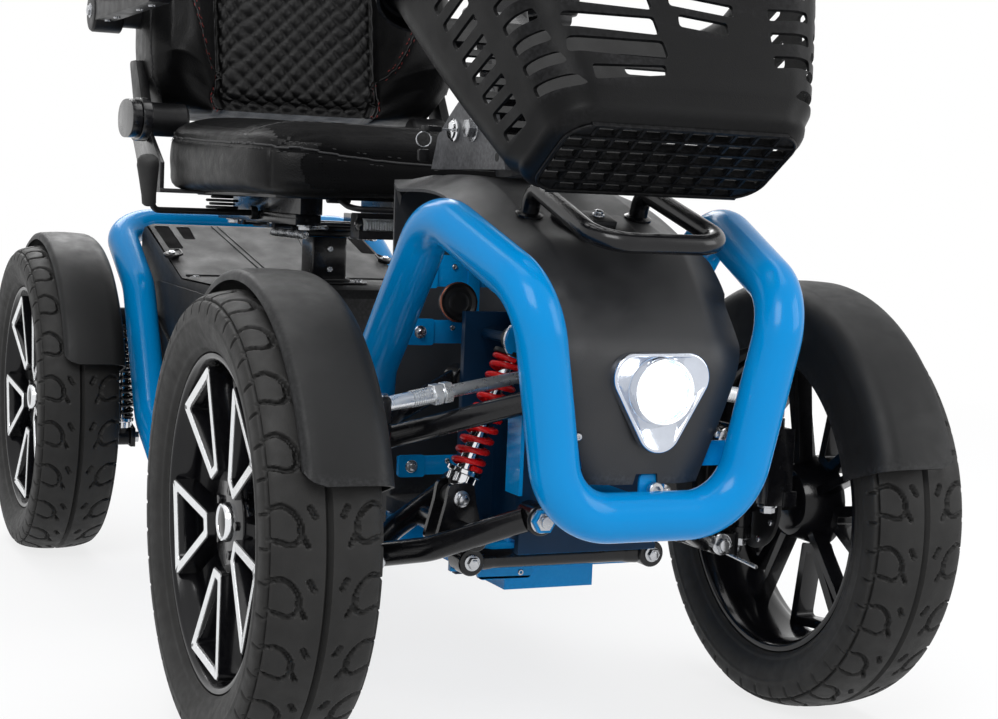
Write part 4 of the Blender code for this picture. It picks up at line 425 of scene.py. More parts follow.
LEATHER = leather("leather", (0.0042, 0.0042, 0.0045), 0.40)
LEATHER_DOTTED = leather("leather_dotted", (0.0040, 0.0040, 0.0043), 0.66, 0.0034, 0.04)
DARK_WINDOW = surface("dark_window", (0.0012, 0.0012, 0.0015), 0.80, mottle=0.2, grain=0.00003,
                      grain_size=0.002, specular=0.02)
LAMP_STRIP = surface("lamp_strip", (0.62, 0.64, 0.66), 0.30, mottle=0.25, patch=0.004, grain=0.0003,
                     grain_size=0.0020, coat=0.8, cells=True)
DISPLAY = surface("display", (0.012, 0.020, 0.022), 0.08, mottle=0.5, patch=0.010, coat=1.0, uneven=0.02)


# Shapes: each is a pair of lists, points and faces
def joined(*shapes):
    points, faces = [], []
    for own_points, own_faces in shapes:
        base = len(points)
        points += [Vector(point) for point in own_points]
        faces += [tuple(index + base for index in face) for face in own_faces]
    return points, faces


def piece(name, shape, material, body, sharp=35, stands_for=(), bevel=0.0, segments=2):
    """An object of the scooter made from a shape, riding on a body."""
    mesh = bpy.data.meshes.new(name)
    points, faces = shape
    mesh.from_pydata([tuple(point) for point in points], [], faces)
    own = bmesh.new()
    own.from_mesh(mesh)
    bmesh.ops.remove_doubles(own, verts=own.verts, dist=0.000003)
    bmesh.ops.recalc_face_normals(own, faces=own.faces)
    own.to_mesh(mesh)
    own.free()
    return finished(name, mesh, material, body, sharp, stands_for, bevel, segments)


def finished(name, mesh, material, body, sharp=35, stands_for=(), bevel=0.0, segments=2):
    obj = bpy.data.objects.new(name, mesh)
    bpy.context.scene.collection.objects.link(obj)
    if bevel:
        rounding = obj.modifiers.new("Bevel", "BEVEL")
        rounding.width = bevel
        rounding.segments = segments
        rounding.limit_method = "ANGLE"
        rounding.angle_limit = math.radians(32)
        rounding.use_clamp_overlap = True
        obj = applied(obj)
    mesh = obj.data
    mesh.materials.clear()
    mesh.materials.append(material)
    mesh.shade_smooth()
    mesh.set_sharp_from_angle(angle=math.radians(sharp))
    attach(obj, body)
    if stands_for:
        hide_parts(*stands_for)
    return obj


def applied(obj):
    """The object with its modifiers made part of its mesh."""
    graph = bpy.context.evaluated_depsgraph_get()
    mesh = bpy.data.meshes.new_from_object(obj.evaluated_get(graph))
    obj.modifiers.clear()
    obj.data = mesh
    return obj


def across(axis):
    """Two directions square to an axis."""
    axis = Vector(axis).normalized()
    side = Vector((1, 0, 0)) if abs(axis.x) < 0.9 else Vector((0, 1, 0))
    first = axis.cross(side).normalized()
    return first, axis.cross(first)


def sections(rings, closed=True):
    """A closed solid from rings of points, each ring joined to the next and the two end rings capped."""
    count = len(rings[0])
    points = [Vector(point) for own in rings for point in own]
    faces = []
    for row in range(len(rings) - 1):
        for i in range(count):
            j = (i + 1) % count
            faces.append((row * count + i, row * count + j, (row + 1) * count + j, (row + 1) * count + i))
    if closed:
        faces.append(tuple(range(count)))
        faces.append(tuple((len(rings) - 1) * count + i for i in range(count)))
    return points, faces


def circle(centre, first, second, radius, sides):
    """A ring of points round a centre, in the plane of two directions."""
    angles = [2 * math.pi * i / sides for i in range(sides)]
    return [centre + (first * math.cos(angle) + second * math.sin(angle)) * radius for angle in angles]


def lathe(profile, start, axis, sides=40):
    """A profile of (distance along, radius) points turned about an axis from start, with closed ends."""
    start, axis = Vector(start), Vector(axis).normalized()
    first, second = across(axis)
    return sections([circle(start + axis * along, first, second, radius, sides) for along, radius in profile])


def ring(profile, centre, axis, sides=96):
    """A closed outline of (distance along, radius) points, turned about an axis into a ring."""
    centre, axis = Vector(centre), Vector(axis).normalized()
    first, second = across(axis)
    count = len(profile)
    points, faces = [], []
    for i in range(sides):
        angle = 2 * math.pi * i / sides
        out = first * math.cos(angle) + second * math.sin(angle)
        points += [centre + axis * along + out * radius for along, radius in profile]
    for i in range(sides):
        j = (i + 1) % sides
        for k in range(count):
            m = (k + 1) % count
            faces.append((i * count + k, i * count + m, j * count + m, j * count + k))
    return points, faces


def bar(start, end, radius, end_radius=None, sides=32, edge=0.0006):
    """A round bar with softened ends."""
    start, end = Vector(start), Vector(end)
    length = (end - start).length
    last = radius if end_radius is None else end_radius
    edge = min(edge, length / 4, radius / 3)
    return lathe([(0, radius - edge), (edge, radius), (length - edge, last), (length, last - edge)],
                 start, end - start, sides)


def curved(corners, bend, step=6):
    """The corners joined by straight runs, with each inner corner replaced by a fine arc."""
    corners = [Vector(corner) for corner in corners]
    bends = bend if isinstance(bend, (list, tuple)) else [bend] * (len(corners) - 2)
    path = [corners[0]]
    for before, corner, after, radius in zip(corners, corners[1:], corners[2:], bends):
        towards, away = (before - corner).normalized(), (after - corner).normalized()
        turn = math.pi - towards.angle(away)
        if turn < math.radians(1):
            path.append(corner)
            continue
        centre = corner + (towards + away).normalized() * (radius / math.cos(turn / 2))
        reach = radius * math.tan(turn / 2)
        first = corner + towards * reach - centre
        axis = first.cross(corner + away * reach - centre).normalized()
        steps = max(2, round(math.degrees(turn) / step))
        path += [centre + Matrix.Rotation(turn * i / steps, 3, axis) @ first for i in range(steps + 1)]
    return [*path, corners[-1]]


def tube(path, radius, sides=24):
    """A round tube along a path; the radius is one number or one for each point."""
    path = [Vector(point) for point in path]
    radii = radius if isinstance(radius, (list, tuple)) else [radius] * len(path)
    tangents = []
    for i in range(len(path)):
        before, after = path[max(0, i - 1)], path[min(len(path) - 1, i + 1)]
        tangents.append((after - before).normalized())
    first, second = across(tangents[0])
    rings = []
    for i, (point, tangent, own) in enumerate(zip(path, tangents, radii)):
        if i:
            turn = tangents[i - 1].rotation_difference(tangent)
            first, second = turn @ first, turn @ second
        rings.append(circle(point, first, second, own, sides))
    return sections(rings)


def slab(outline, axis, low, high, place=None):
    """A flat outline of two coordinates, extruded along the third axis from low to high."""
    index = "XYZ".index(axis)
    rings = [[(*pair[:index], level, *pair[index:]) for pair in outline] for level in (low, high)]
    return sections([[place(*point) if place else point for point in own] for own in rings])


def block(low, high):
    """An upright box between two corners."""
    return slab(((low[0], low[1]), (high[0], low[1]), (high[0], high[1]), (low[0], high[1])), "Z", low[2],
                high[2])


def turned_to(shape, place, axis):
    """A shape drawn round +Z, moved to a place with +Z along an axis."""
    axis = Vector(axis).normalized()
    side = Vector((0, 0, 1)).cross(axis)
    side = side.normalized() if side.length > 0.01 else across(axis)[0]
    matrix = Matrix((side, axis.cross(side), axis)).transposed().to_4x4()
    matrix = Matrix.Translation(place) @ matrix
    return [matrix @ Vector(point) for point in shape[0]], shape[1]


def moved(shape, matrix):
    return [matrix @ Vector(point) for point in shape[0]], shape[1]


def hexagon(radius, low, high):
    """A six-sided bar along +Z with softened ends."""
    edge = 0.0004
    rows = [(low, radius - edge), (low + edge, radius), (high - edge, radius), (high, radius - edge)]
    angles = [2 * math.pi * i / 6 for i in range(6)]
    return sections([[(own * math.cos(angle), own * math.sin(angle), level) for angle in angles]
                     for level, own in rows])


def hex_bolt(place, axis, size=0.0065, height=0.0045):
    """A hexagon head with a round washer under it and the end of its thread on top."""
    washer = 0.0012
    thread = [(height + 0.0010, size * 0.78), (height + 0.0018, size * 0.55)]
    disc = [(-0.0006, size * 1.32), (0.0010, size * 1.32), (0.0013, size * 1.24)]
    shape = joined(hexagon(size, washer, height + washer), lathe(thread, (0, 0, 0), (0, 0, 1), 20),
                   lathe(disc, (0, 0, 0), (0, 0, 1), 28))
    return turned_to(shape, place, axis)


def socket_bolt(place, axis, size=0.005, height=0.004):
    """A round head with a hexagon hollow in it."""
    sides = 24
    rows = [(-0.0006, size), (height - 0.0006, size), (height, size - 0.0006), (height, size * 0.60)]
    points, faces = lathe(rows, (0, 0, 0), (0, 0, 1), sides)
    faces = faces[:-1]
    base = (len(rows) - 1) * sides
    first = len(points)
    for level in (height, height - size * 0.5):
        for i in range(sides):
            angle = 2 * math.pi * i / sides
            flat = size * 0.50 / math.cos((angle % (math.pi / 3)) - math.pi / 6)
            points.append(Vector((flat * math.cos(angle), flat * math.sin(angle), level)))
    lined = across(Vector((0, 0, 1)))
    start = math.atan2(lined[0].y, lined[0].x)
    shift = round(start / (2 * math.pi / sides)) % sides
    for i in range(sides):
        j = (i + 1) % sides
        a, b = first + (i + shift) % sides, first + (j + shift) % sides
        faces.append((base + i, base + j, b, a))
        faces.append((a, b, b + sides, a + sides))
    faces.append(tuple(first + sides + i for i in range(sides)))
    return turned_to((points, faces), place, axis)


def rounded_outline(corners, radius, steps=5):
    """A closed flat outline with its corners rounded; the radius is one number or one for each corner."""
    radii = radius if isinstance(radius, (list, tuple)) else [radius] * len(corners)
    outline = []
    count = len(corners)
    for i in range(count):
        before, corner, after = (Vector((*corners[(i + k) % count], 0)) for k in (-1, 0, 1))
        towards, away = (before - corner).normalized(), (after - corner).normalized()
        half = towards.angle(away) / 2
        reach = radii[i] / math.tan(half)
        start, end = corner + towards * reach, corner + away * reach
        for k in range(steps + 1):
            share = k / steps
            # A quadratic curve from one side to the other that leans on the corner
            point = start * (1 - share) ** 2 + corner * 2 * share * (1 - share) + end * share ** 2
            outline.append((point.x, point.y))
    return outline


def dressed(node, material, bevel=0.0, segments=2, sharp=30):
    """A CAD node with its edges softened and a better finish; the copy stands for the node."""
    source = NODES[node]
    if not bevel:
        source.data.materials.clear()
        source.data.materials.append(material)
        return source
    mesh = source.data.copy()
    own = bmesh.new()
    own.from_mesh(mesh)
    bmesh.ops.remove_doubles(own, verts=own.verts, dist=0.00002)
    bmesh.ops.dissolve_limit(own, angle_limit=math.radians(1.0), verts=own.verts, edges=own.edges)
    own.to_mesh(mesh)
    own.free()
    body = source["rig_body"]
    return finished(f"{node}_shown", mesh, material, body, sharp, (node,), bevel, segments)


def cut(obj, cutters):
    """The object with closed shapes taken out of it."""
    for shape in cutters:
        mesh = bpy.data.meshes.new("cutter")
        mesh.from_pydata([tuple(point) for point in shape[0]], [], shape[1])
        own = bmesh.new()
        own.from_mesh(mesh)
        bmesh.ops.recalc_face_normals(own, faces=own.faces)
        own.to_mesh(mesh)
        own.free()
        cutter = bpy.data.objects.new("cutter", mesh)
        cutter.matrix_world = obj.matrix_world
        bpy.context.scene.collection.objects.link(cutter)
        change = obj.modifiers.new("Cut", "BOOLEAN")
        change.operation = "DIFFERENCE"
        change.solver = "EXACT"
        change.object = cutter
    bpy.context.view_layer.update()
    helpers = [change.object for change in obj.modifiers if change.type == "BOOLEAN"]
    applied(obj)
    for cutter in helpers:
        bpy.data.objects.remove(cutter, do_unlink=True)
    return obj


def shell(rows, thickness, outward, closed_rows=False):
    """A thin sheet from rows of points, thickened towards the side that outward names."""
    count = len(rows[0])
    points = [Vector(point) for row in rows for point in row]
    faces = []
    for row in range(len(rows) - 1):
        for i in range(count if closed_rows else count - 1):
            j = (i + 1) % count
            faces.append((row * count + i, row * count + j, (row + 1) * count + j, (row + 1) * count + i))
    mesh = bpy.data.meshes.new("shell")
    mesh.from_pydata([tuple(point) for point in points], [], faces)
    own = bmesh.new()
    own.from_mesh(mesh)
    bmesh.ops.recalc_face_normals(own, faces=own.faces)
    middle = own.faces[:]
    score = sum(face.normal.dot(outward(face.calc_center_median())) * face.calc_area() for face in middle)
    if score < 0:
        bmesh.ops.reverse_faces(own, faces=own.faces)
    own.to_mesh(mesh)
    own.free()
    obj = bpy.data.objects.new("shell", mesh)
    bpy.context.scene.collection.objects.link(obj)
    thick = obj.modifiers.new("Solidify", "SOLIDIFY")
    thick.thickness = thickness
    thick.offset = 1.0
    thick.use_even_offset = True
    bpy.context.view_layer.update()
    applied(obj)
    mesh = obj.data
    bpy.data.objects.remove(obj, do_unlink=True)
    return [vert.co.copy() for vert in mesh.vertices], [tuple(face.vertices) for face in mesh.polygons]


# Wheels
PITCHES = 22
CELLS = 50
HALF_PROFILE = ((0.0380, 0.1461), (0.0412, 0.1490), (0.0430, 0.1525), (0.0468, 0.1600), (0.0494, 0.1695),
                (0.0499, 0.1785), (0.0488, 0.1858), (0.0452, 0.1915), (0.0385, 0.1952), (0.0275, 0.1979),
                (0.0140, 0.1995), (0.0, 0.2000))


def eased(points, count):
    """A smooth line through the points, at even distances."""
    points = np.array(points, float)
    ends = np.vstack([2 * points[0] - points[1], points, 2 * points[-1] - points[-2]])
    fine = []
    for i in range(1, len(ends) - 2):
        a, b, c, d = ends[i - 1:i + 3]
        for t in np.linspace(0, 1, 16, endpoint=False):
            fine.append(0.5 * (2 * b + (c - a) * t + (2 * a - 5 * b + 4 * c - d) * t ** 2
                               + (3 * b - a - 3 * c + d) * t ** 3))
    fine = np.array([*fine, points[-1]])
    distance = np.concatenate([[0], np.cumsum(np.linalg.norm(np.diff(fine, axis=0), axis=1))])
    even = np.linspace(0, distance[-1], count)
    return np.stack([np.interp(even, distance, fine[:, k]) for k in range(fine.shape[1])], axis=1)


def near_line(v, s, line):
    """Each point's distance from a broken line."""
    best = np.full(v.shape, 1.0)
    for (v0, s0), (v1, s1) in zip(line, line[1:]):
        dv, ds = v1 - v0, s1 - s0
        share = np.clip(((v - v0) * dv + (s - s0) * ds) / (dv * dv + ds * ds), 0, 1)
        best = np.minimum(best, np.hypot(v - v0 - share * dv, s - s0 - share * ds))
    return best


def tread_depth(v, s):
    """How deep the tread is cut, v round the tyre from the middle of a pitch and s out from the crown."""
    def groove(distance, half, deep):
        share = np.clip((distance - half) / 0.0010, 0, 1)
        return deep * (1 - share * share * (3 - 2 * share))

    s = np.abs(s)
    shoulder = 0.0475
    depth = groove(s, 0.0013, 0.0042)
    depth = np.maximum(depth, groove(np.abs(s - shoulder), 0.0009, 0.0026))
    loop = []
    for i in range(15):
        angle = math.radians(-100 + 200 * i / 14)
        loop.append((0.0145 * math.sin(angle), shoulder - 0.0120 - 0.0135 * math.cos(angle)))
    loop = [(v0 - 0.40 * (shoulder - s0) + 0.010, s0) for v0, s0 in loop]
    loop = [(loop[0][0] + 0.002, shoulder), *loop, (loop[-1][0] - 0.002, shoulder)]
    tail = [(loop[7][0] + 0.0045, loop[7][1] + 0.0015), (loop[7][0] - 0.0085, loop[7][1] - 0.0055)]
    dash = [(0.0175, 0.0150), (0.0110, 0.0115)]
    for line, half in ((loop, 0.0013), (tail, 0.0012), (dash, 0.0016)):
        for shift in (-1, 0, 1):
            pitch = 2 * math.pi * TYRE_RADIUS / PITCHES
            shifted = [(v0 + shift * pitch, s0) for v0, s0 in line]
            depth = np.maximum(depth, groove(near_line(v, s, shifted), half, 0.0036))
    for place in (-0.0145, 0.0140):
        cut_line = [(place, shoulder), (place, shoulder + 0.0115)]
        depth = np.maximum(depth, groove(near_line(v, s, cut_line), 0.0008, 0.0022))
    return depth


def tyre_mesh():
    """A tyre round the X axis with its tread cut in and two plain ribs on each side wall."""
    half = eased(HALF_PROFILE, 60)
    section = np.vstack([half, (half * (-1, 1))[-2::-1]])
    steps = np.linalg.norm(np.diff(section, axis=0), axis=1)
    along = np.concatenate([[0], np.cumsum(steps)])
    along -= along[-1] / 2
    tangent = np.gradient(section, axis=0)
    normal = np.stack([tangent[:, 1], -tangent[:, 0]], axis=1)
    normal /= np.linalg.norm(normal, axis=1)[:, None]
    normal *= np.sign((normal * (section - (0, 0.170))).sum(axis=1))[:, None]
    around = PITCHES * CELLS
    pitch = 2 * math.pi * TYRE_RADIUS / PITCHES
    v = ((np.arange(around) % CELLS) / CELLS - 0.5) * pitch
    depth = tread_depth(v[:, None], along[None, :])
    rib = sum(0.0007 * np.exp(-((np.abs(along) - place) / 0.0011) ** 2) for place in (0.0655, 0.0905))
    height = rib[None, :] - depth
    where = section[None] + normal[None] * height[..., None]
    angle = 2 * math.pi * np.arange(around) / around
    points = np.stack([where[..., 0], -where[..., 1] * np.cos(angle)[:, None],
                       where[..., 1] * np.sin(angle)[:, None]], axis=-1)
    inside = np.array([(0.0370, 0.1520), (-0.0370, 0.1520)])
    inner = np.stack([np.broadcast_to(inside[None, :, 0], (around, 2)),
                      -inside[None, :, 1] * np.cos(angle)[:, None],
                      inside[None, :, 1] * np.sin(angle)[:, None]],
                     axis=-1)
    points = np.concatenate([points, inner[:, ::-1]], axis=1)
    count = points.shape[1]
    index = np.arange(around * count).reshape(around, count)
    down, right = np.roll(index, -1, axis=0), np.roll(index, -1, axis=1)
    both = np.roll(down, -1, axis=1)
    faces = np.stack([index, right, both, down], axis=-1).reshape(-1, 4)
    mesh = bpy.data.meshes.new("tyre")
    mesh.from_pydata(points.reshape(-1, 3).tolist(), [], faces.tolist())
    own = bmesh.new()
    own.from_mesh(mesh)
    bmesh.ops.recalc_face_normals(own, faces=own.faces)
    own.to_mesh(mesh)
    own.free()
    mesh.materials.append(RUBBER)
    mesh.shade_smooth()
    mesh.set_sharp_from_angle(angle=math.radians(50))
    return mesh


def petal(inset, inset_thin, inset_rim):
    """The outline of one split spoke on the wheel's face, drawn in from its edge."""
    def polar(radius, degrees):
        angle = math.radians(degrees)
        return Vector((radius * math.cos(angle), radius * math.sin(angle), 0))

    corners = [polar(0.1355, -19.5), polar(0.1355, 19.5), polar(0.044, 15), polar(0.044, -14)]
    insets = [inset_rim, inset, inset_thin, inset]
    moved_in = []
    count = len(corners)
    for i in range(count):
        before, corner, after = corners[i - 1], corners[i], corners[(i + 1) % count]
        first, second = (corner - before).normalized(), (after - corner).normalized()
        in_first = Vector((-first.y, first.x, 0)) * insets[i - 1]
        in_second = Vector((-second.y, second.x, 0)) * insets[i]
        # Where the two shifted sides meet
        cross = first.x * second.y - first.y * second.x
        gap = (corner + in_second) - (before + in_first)
        share = (gap.x * second.y - gap.y * second.x) / cross
        place = before + in_first + first * share
        moved_in.append((place.x, place.y))
    return rounded_outline(moved_in, [0.004, 0.005, 0.003, 0.003])


def face_depth(radius):
    """How far out the spokes' face stands, dished towards the hub."""
    return 0.0285 + 0.0084 * (radius / 0.1355) ** 2


def petal_band(outer, inner, low, high, turn):
    """A closed band between two outlines, from low to high below and above the spokes' face."""
    rings = []
    for outline, level in ((outer, low), (outer, high), (inner, high), (inner, low)):
        own = []
        for x, y in outline:
            radius = math.hypot(x, y)
            angle = math.atan2(y, x) + turn
            own.append(Vector((radius * math.cos(angle), radius * math.sin(angle),
                               face_depth(radius) + level)))
        rings.append(own)
    count = len(rings[0])
    points = [point for own in rings for point in own]
    faces = []
    for row in range(4):
        following = (row + 1) % 4
        for i in range(count):
            j = (i + 1) % count
            faces.append((row * count + i, row * count + j, following * count + j, following * count + i))
    return points, faces


def rim(end, side, place):
    """A black rim with five split spokes, bright machined edges, a hub cap and a valve."""
    name = f"{end}_{sided(side)}"
    body = f"{name}_wheel"
    centre = place(side * WHEEL_OFFSET, 0, 0)
    outward = Vector((side, 0, 0))
    barrel = [(-0.0385, 0.1450), (-0.0385, 0.1402), (-0.0350, 0.1372), (-0.0290, 0.1350), (-0.0240, 0.1330),
              (0.0120, 0.1300), (0.0200, 0.1306), (0.0262, 0.1340), (0.0312, 0.1372), (0.0350, 0.1384),
              (0.0378, 0.1400), (0.0385, 0.1420), (0.0385, 0.1446), (0.0376, 0.1455), (-0.0376, 0.1455)]
    parts = [ring(barrel, centre, outward, 120)]
    faces = []
    wide, thin, at_rim = 0.0098, 0.0092, 0.0088
    for k in range(5):
        turn = math.radians(48 + 72 * k)
        body_band = petal_band(petal(0.0, 0.0, 0.0), petal(wide, thin, at_rim), -0.0200, 0.0, turn)
        parts.append(turned_to(body_band, centre, outward))
        edge = petal_band(petal(0.0008, 0.0010, 0.0006), petal(wide - 0.0014, thin - 0.0014, at_rim - 0.0014),
                          -0.0004, 0.0010, turn)
        faces.append(turned_to(edge, centre, outward))
        web = math.radians(84 + 72 * k)
        arm = slab(((0.030, -0.0045), (0.131, -0.0030), (0.131, 0.0030), (0.030, 0.0045)), "Z", -0.004, 0.012)
        parts.append(turned_to(moved(arm, Matrix.Rotation(web, 4, "Z")), centre, outward))
    parts.append(lathe([(-0.018, 0.0265), (-0.016, 0.0330), (0.016, 0.0430), (0.0215, 0.0450),
                        (0.0225, 0.0438)],
                       centre, outward, 48))
    for k in range(5):
        angle = math.radians(3 + 72 * k)
        hole = Vector((0.029 * math.cos(angle), 0.029 * math.sin(angle), 0.0225))
        parts.append(turned_to(moved(hexagon(0.0042, -0.001, 0.0032), Matrix.Translation(hole)), centre,
                               outward))
    piece(f"{name}_rim_shown", joined(*parts), RIM_BLACK, body, 40, (f"{name}_rim",), 0.0007, 1)
    piece(f"{name}_rim_edges", joined(*faces), MACHINED, body, 40, (), 0.0003, 1)
    cap = lathe([(0.0215, 0.0175), (0.0270, 0.0170), (0.0292, 0.0158), (0.0296, 0.0146), (0.0288, 0.0136),
                 (0.0272, 0.0132), (0.0272, 0.0060), (0.0280, 0.0020)], centre, outward, 48)
    piece(f"{name}_hub_cap", cap, CHROME, body, 40)
    middle = lathe([(0.0268, 0.0128), (0.0284, 0.0120), (0.0294, 0.0080), (0.0298, 0.0020)], centre, outward,
                   48)
    piece(f"{name}_hub_cap_middle", middle, RIM_BLACK, body, 40)
    angle = math.radians(230)
    foot = centre + Vector((side * 0.004, 0.131 * math.cos(angle), 0.131 * math.sin(angle)))
    inward = Vector((side * 0.45, -math.cos(angle), -math.sin(angle))).normalized()
    piece(f"{name}_valve", joined(bar(foot - inward * 0.004, foot + inward * 0.020, 0.0036, 0.0028, 16),
                                  bar(foot + inward * 0.0195, foot + inward * 0.029, 0.0040, sides=16)),
          GRIP_RUBBER, body)


def wheels():
    mesh = tyre_mesh()
    for end, place in (("front", front), ("rear", rear)):
        for side in SIDES:
            name = f"{end}_{sided(side)}"
            obj = bpy.data.objects.new(f"{name}_tyre_shown", mesh)
            obj.location = place(side * WHEEL_OFFSET, 0, 0)
            bpy.context.scene.collection.objects.link(obj)
            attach(obj, f"{name}_wheel")
            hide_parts(f"{name}_tyre")
            rim(end, side, place)


# Fenders
def fender(end, side, place):
    """A moulded guard: an arch with a rounded shoulder, an inner skirt and a rolled outer lip."""
    radius, inner, outer = 0.214, 0.2285, 0.300
    skirt = 0.062
    section = [(inner, radius - skirt)]
    section += [(inner, radius - skirt + (skirt - 0.018) * k / 4) for k in range(1, 4)]
    for k in range(9):
        angle = math.radians(180 - 90 * k / 8)
        section.append((inner + 0.018 + 0.018 * math.cos(angle), radius - 0.018 + 0.018 * math.sin(angle)))
    section += [(inner + 0.018 + (outer - inner - 0.022) * k / 5, radius + 0.0012 * math.sin(math.pi * k / 5))
                for k in range(1, 6)]
    section += [(outer - 0.0015, radius - 0.0008), (outer, radius - 0.0030), (outer, radius - 0.0065)]
    start, stop = math.radians(17), math.radians(148)
    rows = []
    steps = 72
    for i in range(steps + 1):
        angle = start + (stop - start) * i / steps
        row = []
        for k, (x, r) in enumerate(section):
            # The outer corners of both ends are rounded off
            share = (x - (outer - 0.016)) / 0.016
            back = 0.011 * (1 - math.sqrt(max(0.0, 1 - min(1.0, max(0.0, share)) ** 2))) / radius
            own = min(max(angle, start + back), stop - back)
            row.append(place(side * x, -r * math.cos(own), r * math.sin(own)))
        rows.append(row)
    centre = place(side * WHEEL_OFFSET, 0, 0)
    name = f"{end}_{sided(side)}"
    body = f"{sided(side)}_knuckle" if end == "front" else "rear_axle"

    def outward(point):
        away = point - centre
        away.x = -side * 0.04
        return away

    guard = shell(rows, 0.0028, outward)
    bolts = []
    for angle in (70, 110):
        turn = math.radians(angle)
        where = place(side * (inner - 0.0030), -0.176 * math.cos(turn), 0.176 * math.sin(turn))
        bolts.append(socket_bolt(where, (-side, 0, 0), 0.0050, 0.0032))
    piece(f"{name}_fender_shown", guard, FENDER_PLASTIC, body, 40, (f"{name}_fender",))
    piece(f"{name}_fender_bolts", joined(*bolts), STEEL, body)


def fenders():
    for end, place in (("front", front), ("rear", rear)):
        for side in SIDES:
            fender(end, side, place)


# Frame, nose cover and headlight
COVER_STATIONS = (
    # distance behind the axle, height, crease half width, edge half width, edge drop, crease roundness
    (-0.184, 0.054, 0.036, 0.053, 0.000, 0.022),
    (-0.196, 0.130, 0.052, 0.075, 0.000, 0.024),
    (-0.195, 0.160, 0.058, 0.083, 0.000, 0.018),
    (-0.180, 0.184, 0.062, 0.087, 0.004, 0.010),
    (-0.120, 0.245, 0.062, 0.094, 0.014, 0.003),
    (-0.070, 0.265, 0.060, 0.100, 0.016, 0.002),
    (0.040, 0.302, 0.055, 0.100, 0.015, 0.002),
    (0.170, 0.305, 0.050, 0.092, 0.014, 0.002),
    (0.186, 0.290, 0.050, 0.090, 0.000, 0.004),
    (0.180, 0.150, 0.050, 0.090, 0.000, 0.006),
    (0.175, -0.0112, 0.050, 0.088, 0.000, 0.006),
)


def band(rings):
    """A ring-shaped solid: the last ring of points joins the first again."""
    return sections([*rings, rings[0]], closed=False)


def front_cover():
    rows = []
    for y, z, crease, edge, drop, soft in eased(COVER_STATIONS, 90):
        back = 0.008 * min(1.0, max(0.0, (-0.145 - y) / 0.010))
        at_edge, at_crease = Vector((edge, y + back, z - drop)), Vector((crease, y, z))
        facet = at_edge - at_crease
        reach = min(soft, facet.length * 0.8)
        first, last = at_crease + facet.normalized() * reach, at_crease - Vector((reach, 0, 0))
        half = [at_edge, at_edge.lerp(first, 0.08), at_edge.lerp(first, 0.5), first]
        for t in (0.25, 0.5, 0.75):
            half.append(first * (1 - t) ** 2 + at_crease * 2 * t * (1 - t) + last * t ** 2)
        half += [last, Vector((last.x * 0.5, y, z))]
        row = [front(*point) for point in half]
        row.append(front(0, y, z))
        row += [front(-point.x, point.y, point.z) for point in reversed(half)]
        rows.append(row)
    inside = front(0, 0.0, 0.13)
    cover = piece("front_cover_shown", shell(rows, 0.003, lambda point: inside - point), COVER_PLASTIC,
                  "root", 30, ("front_cover",))
    cut(cover, [lathe([(0, 0.026), (0.14, 0.026)], on_steering(-0.09), STEER_UP, 40),
                slab(((-0.014, 0.045), (0.014, 0.045), (0.010, 0.063), (-0.010, 0.063)), "Y", -0.22, -0.15,
                     front)])
    bolts = [socket_bolt(front(0.008, -0.1850, 0.0490), (0, -1, 0.1), 0.0066, 0.0055)]
    for side in SIDES:
        bolts.append(socket_bolt(front(side * 0.0655, -0.1860, 0.0950), (side * 0.35, -1, 0), 0.0030, 0.0018))
        bolts.append(socket_bolt(front(side * 0.078, 0.1815, 0.060), (0, 1, 0), 0.0045, 0.0030))
    piece("front_cover_bolts", joined(*bolts), STEEL, "root")
    lug = slab(rounded_outline(((-0.004, 0.036), (0.020, 0.036), (0.020, 0.062), (-0.004, 0.062)), 0.004),
               "Y", -0.1815, -0.1780, front)
    piece("front_cover_lug", lug, BLUE, "root", 35, (), 0.0005, 1)


def headlight_outline(angle, inset):
    """A place on the soft triangle round the lens, which points down, by the way its edge faces."""
    out = Vector((math.cos(angle), math.sin(angle)))
    corners = [Vector((0.028 * math.cos(math.radians(turn)), 0.028 * math.sin(math.radians(turn))))
               for turn in (30, 150, 270)]
    return max(corners, key=out.dot) + out * (0.0205 - inset)


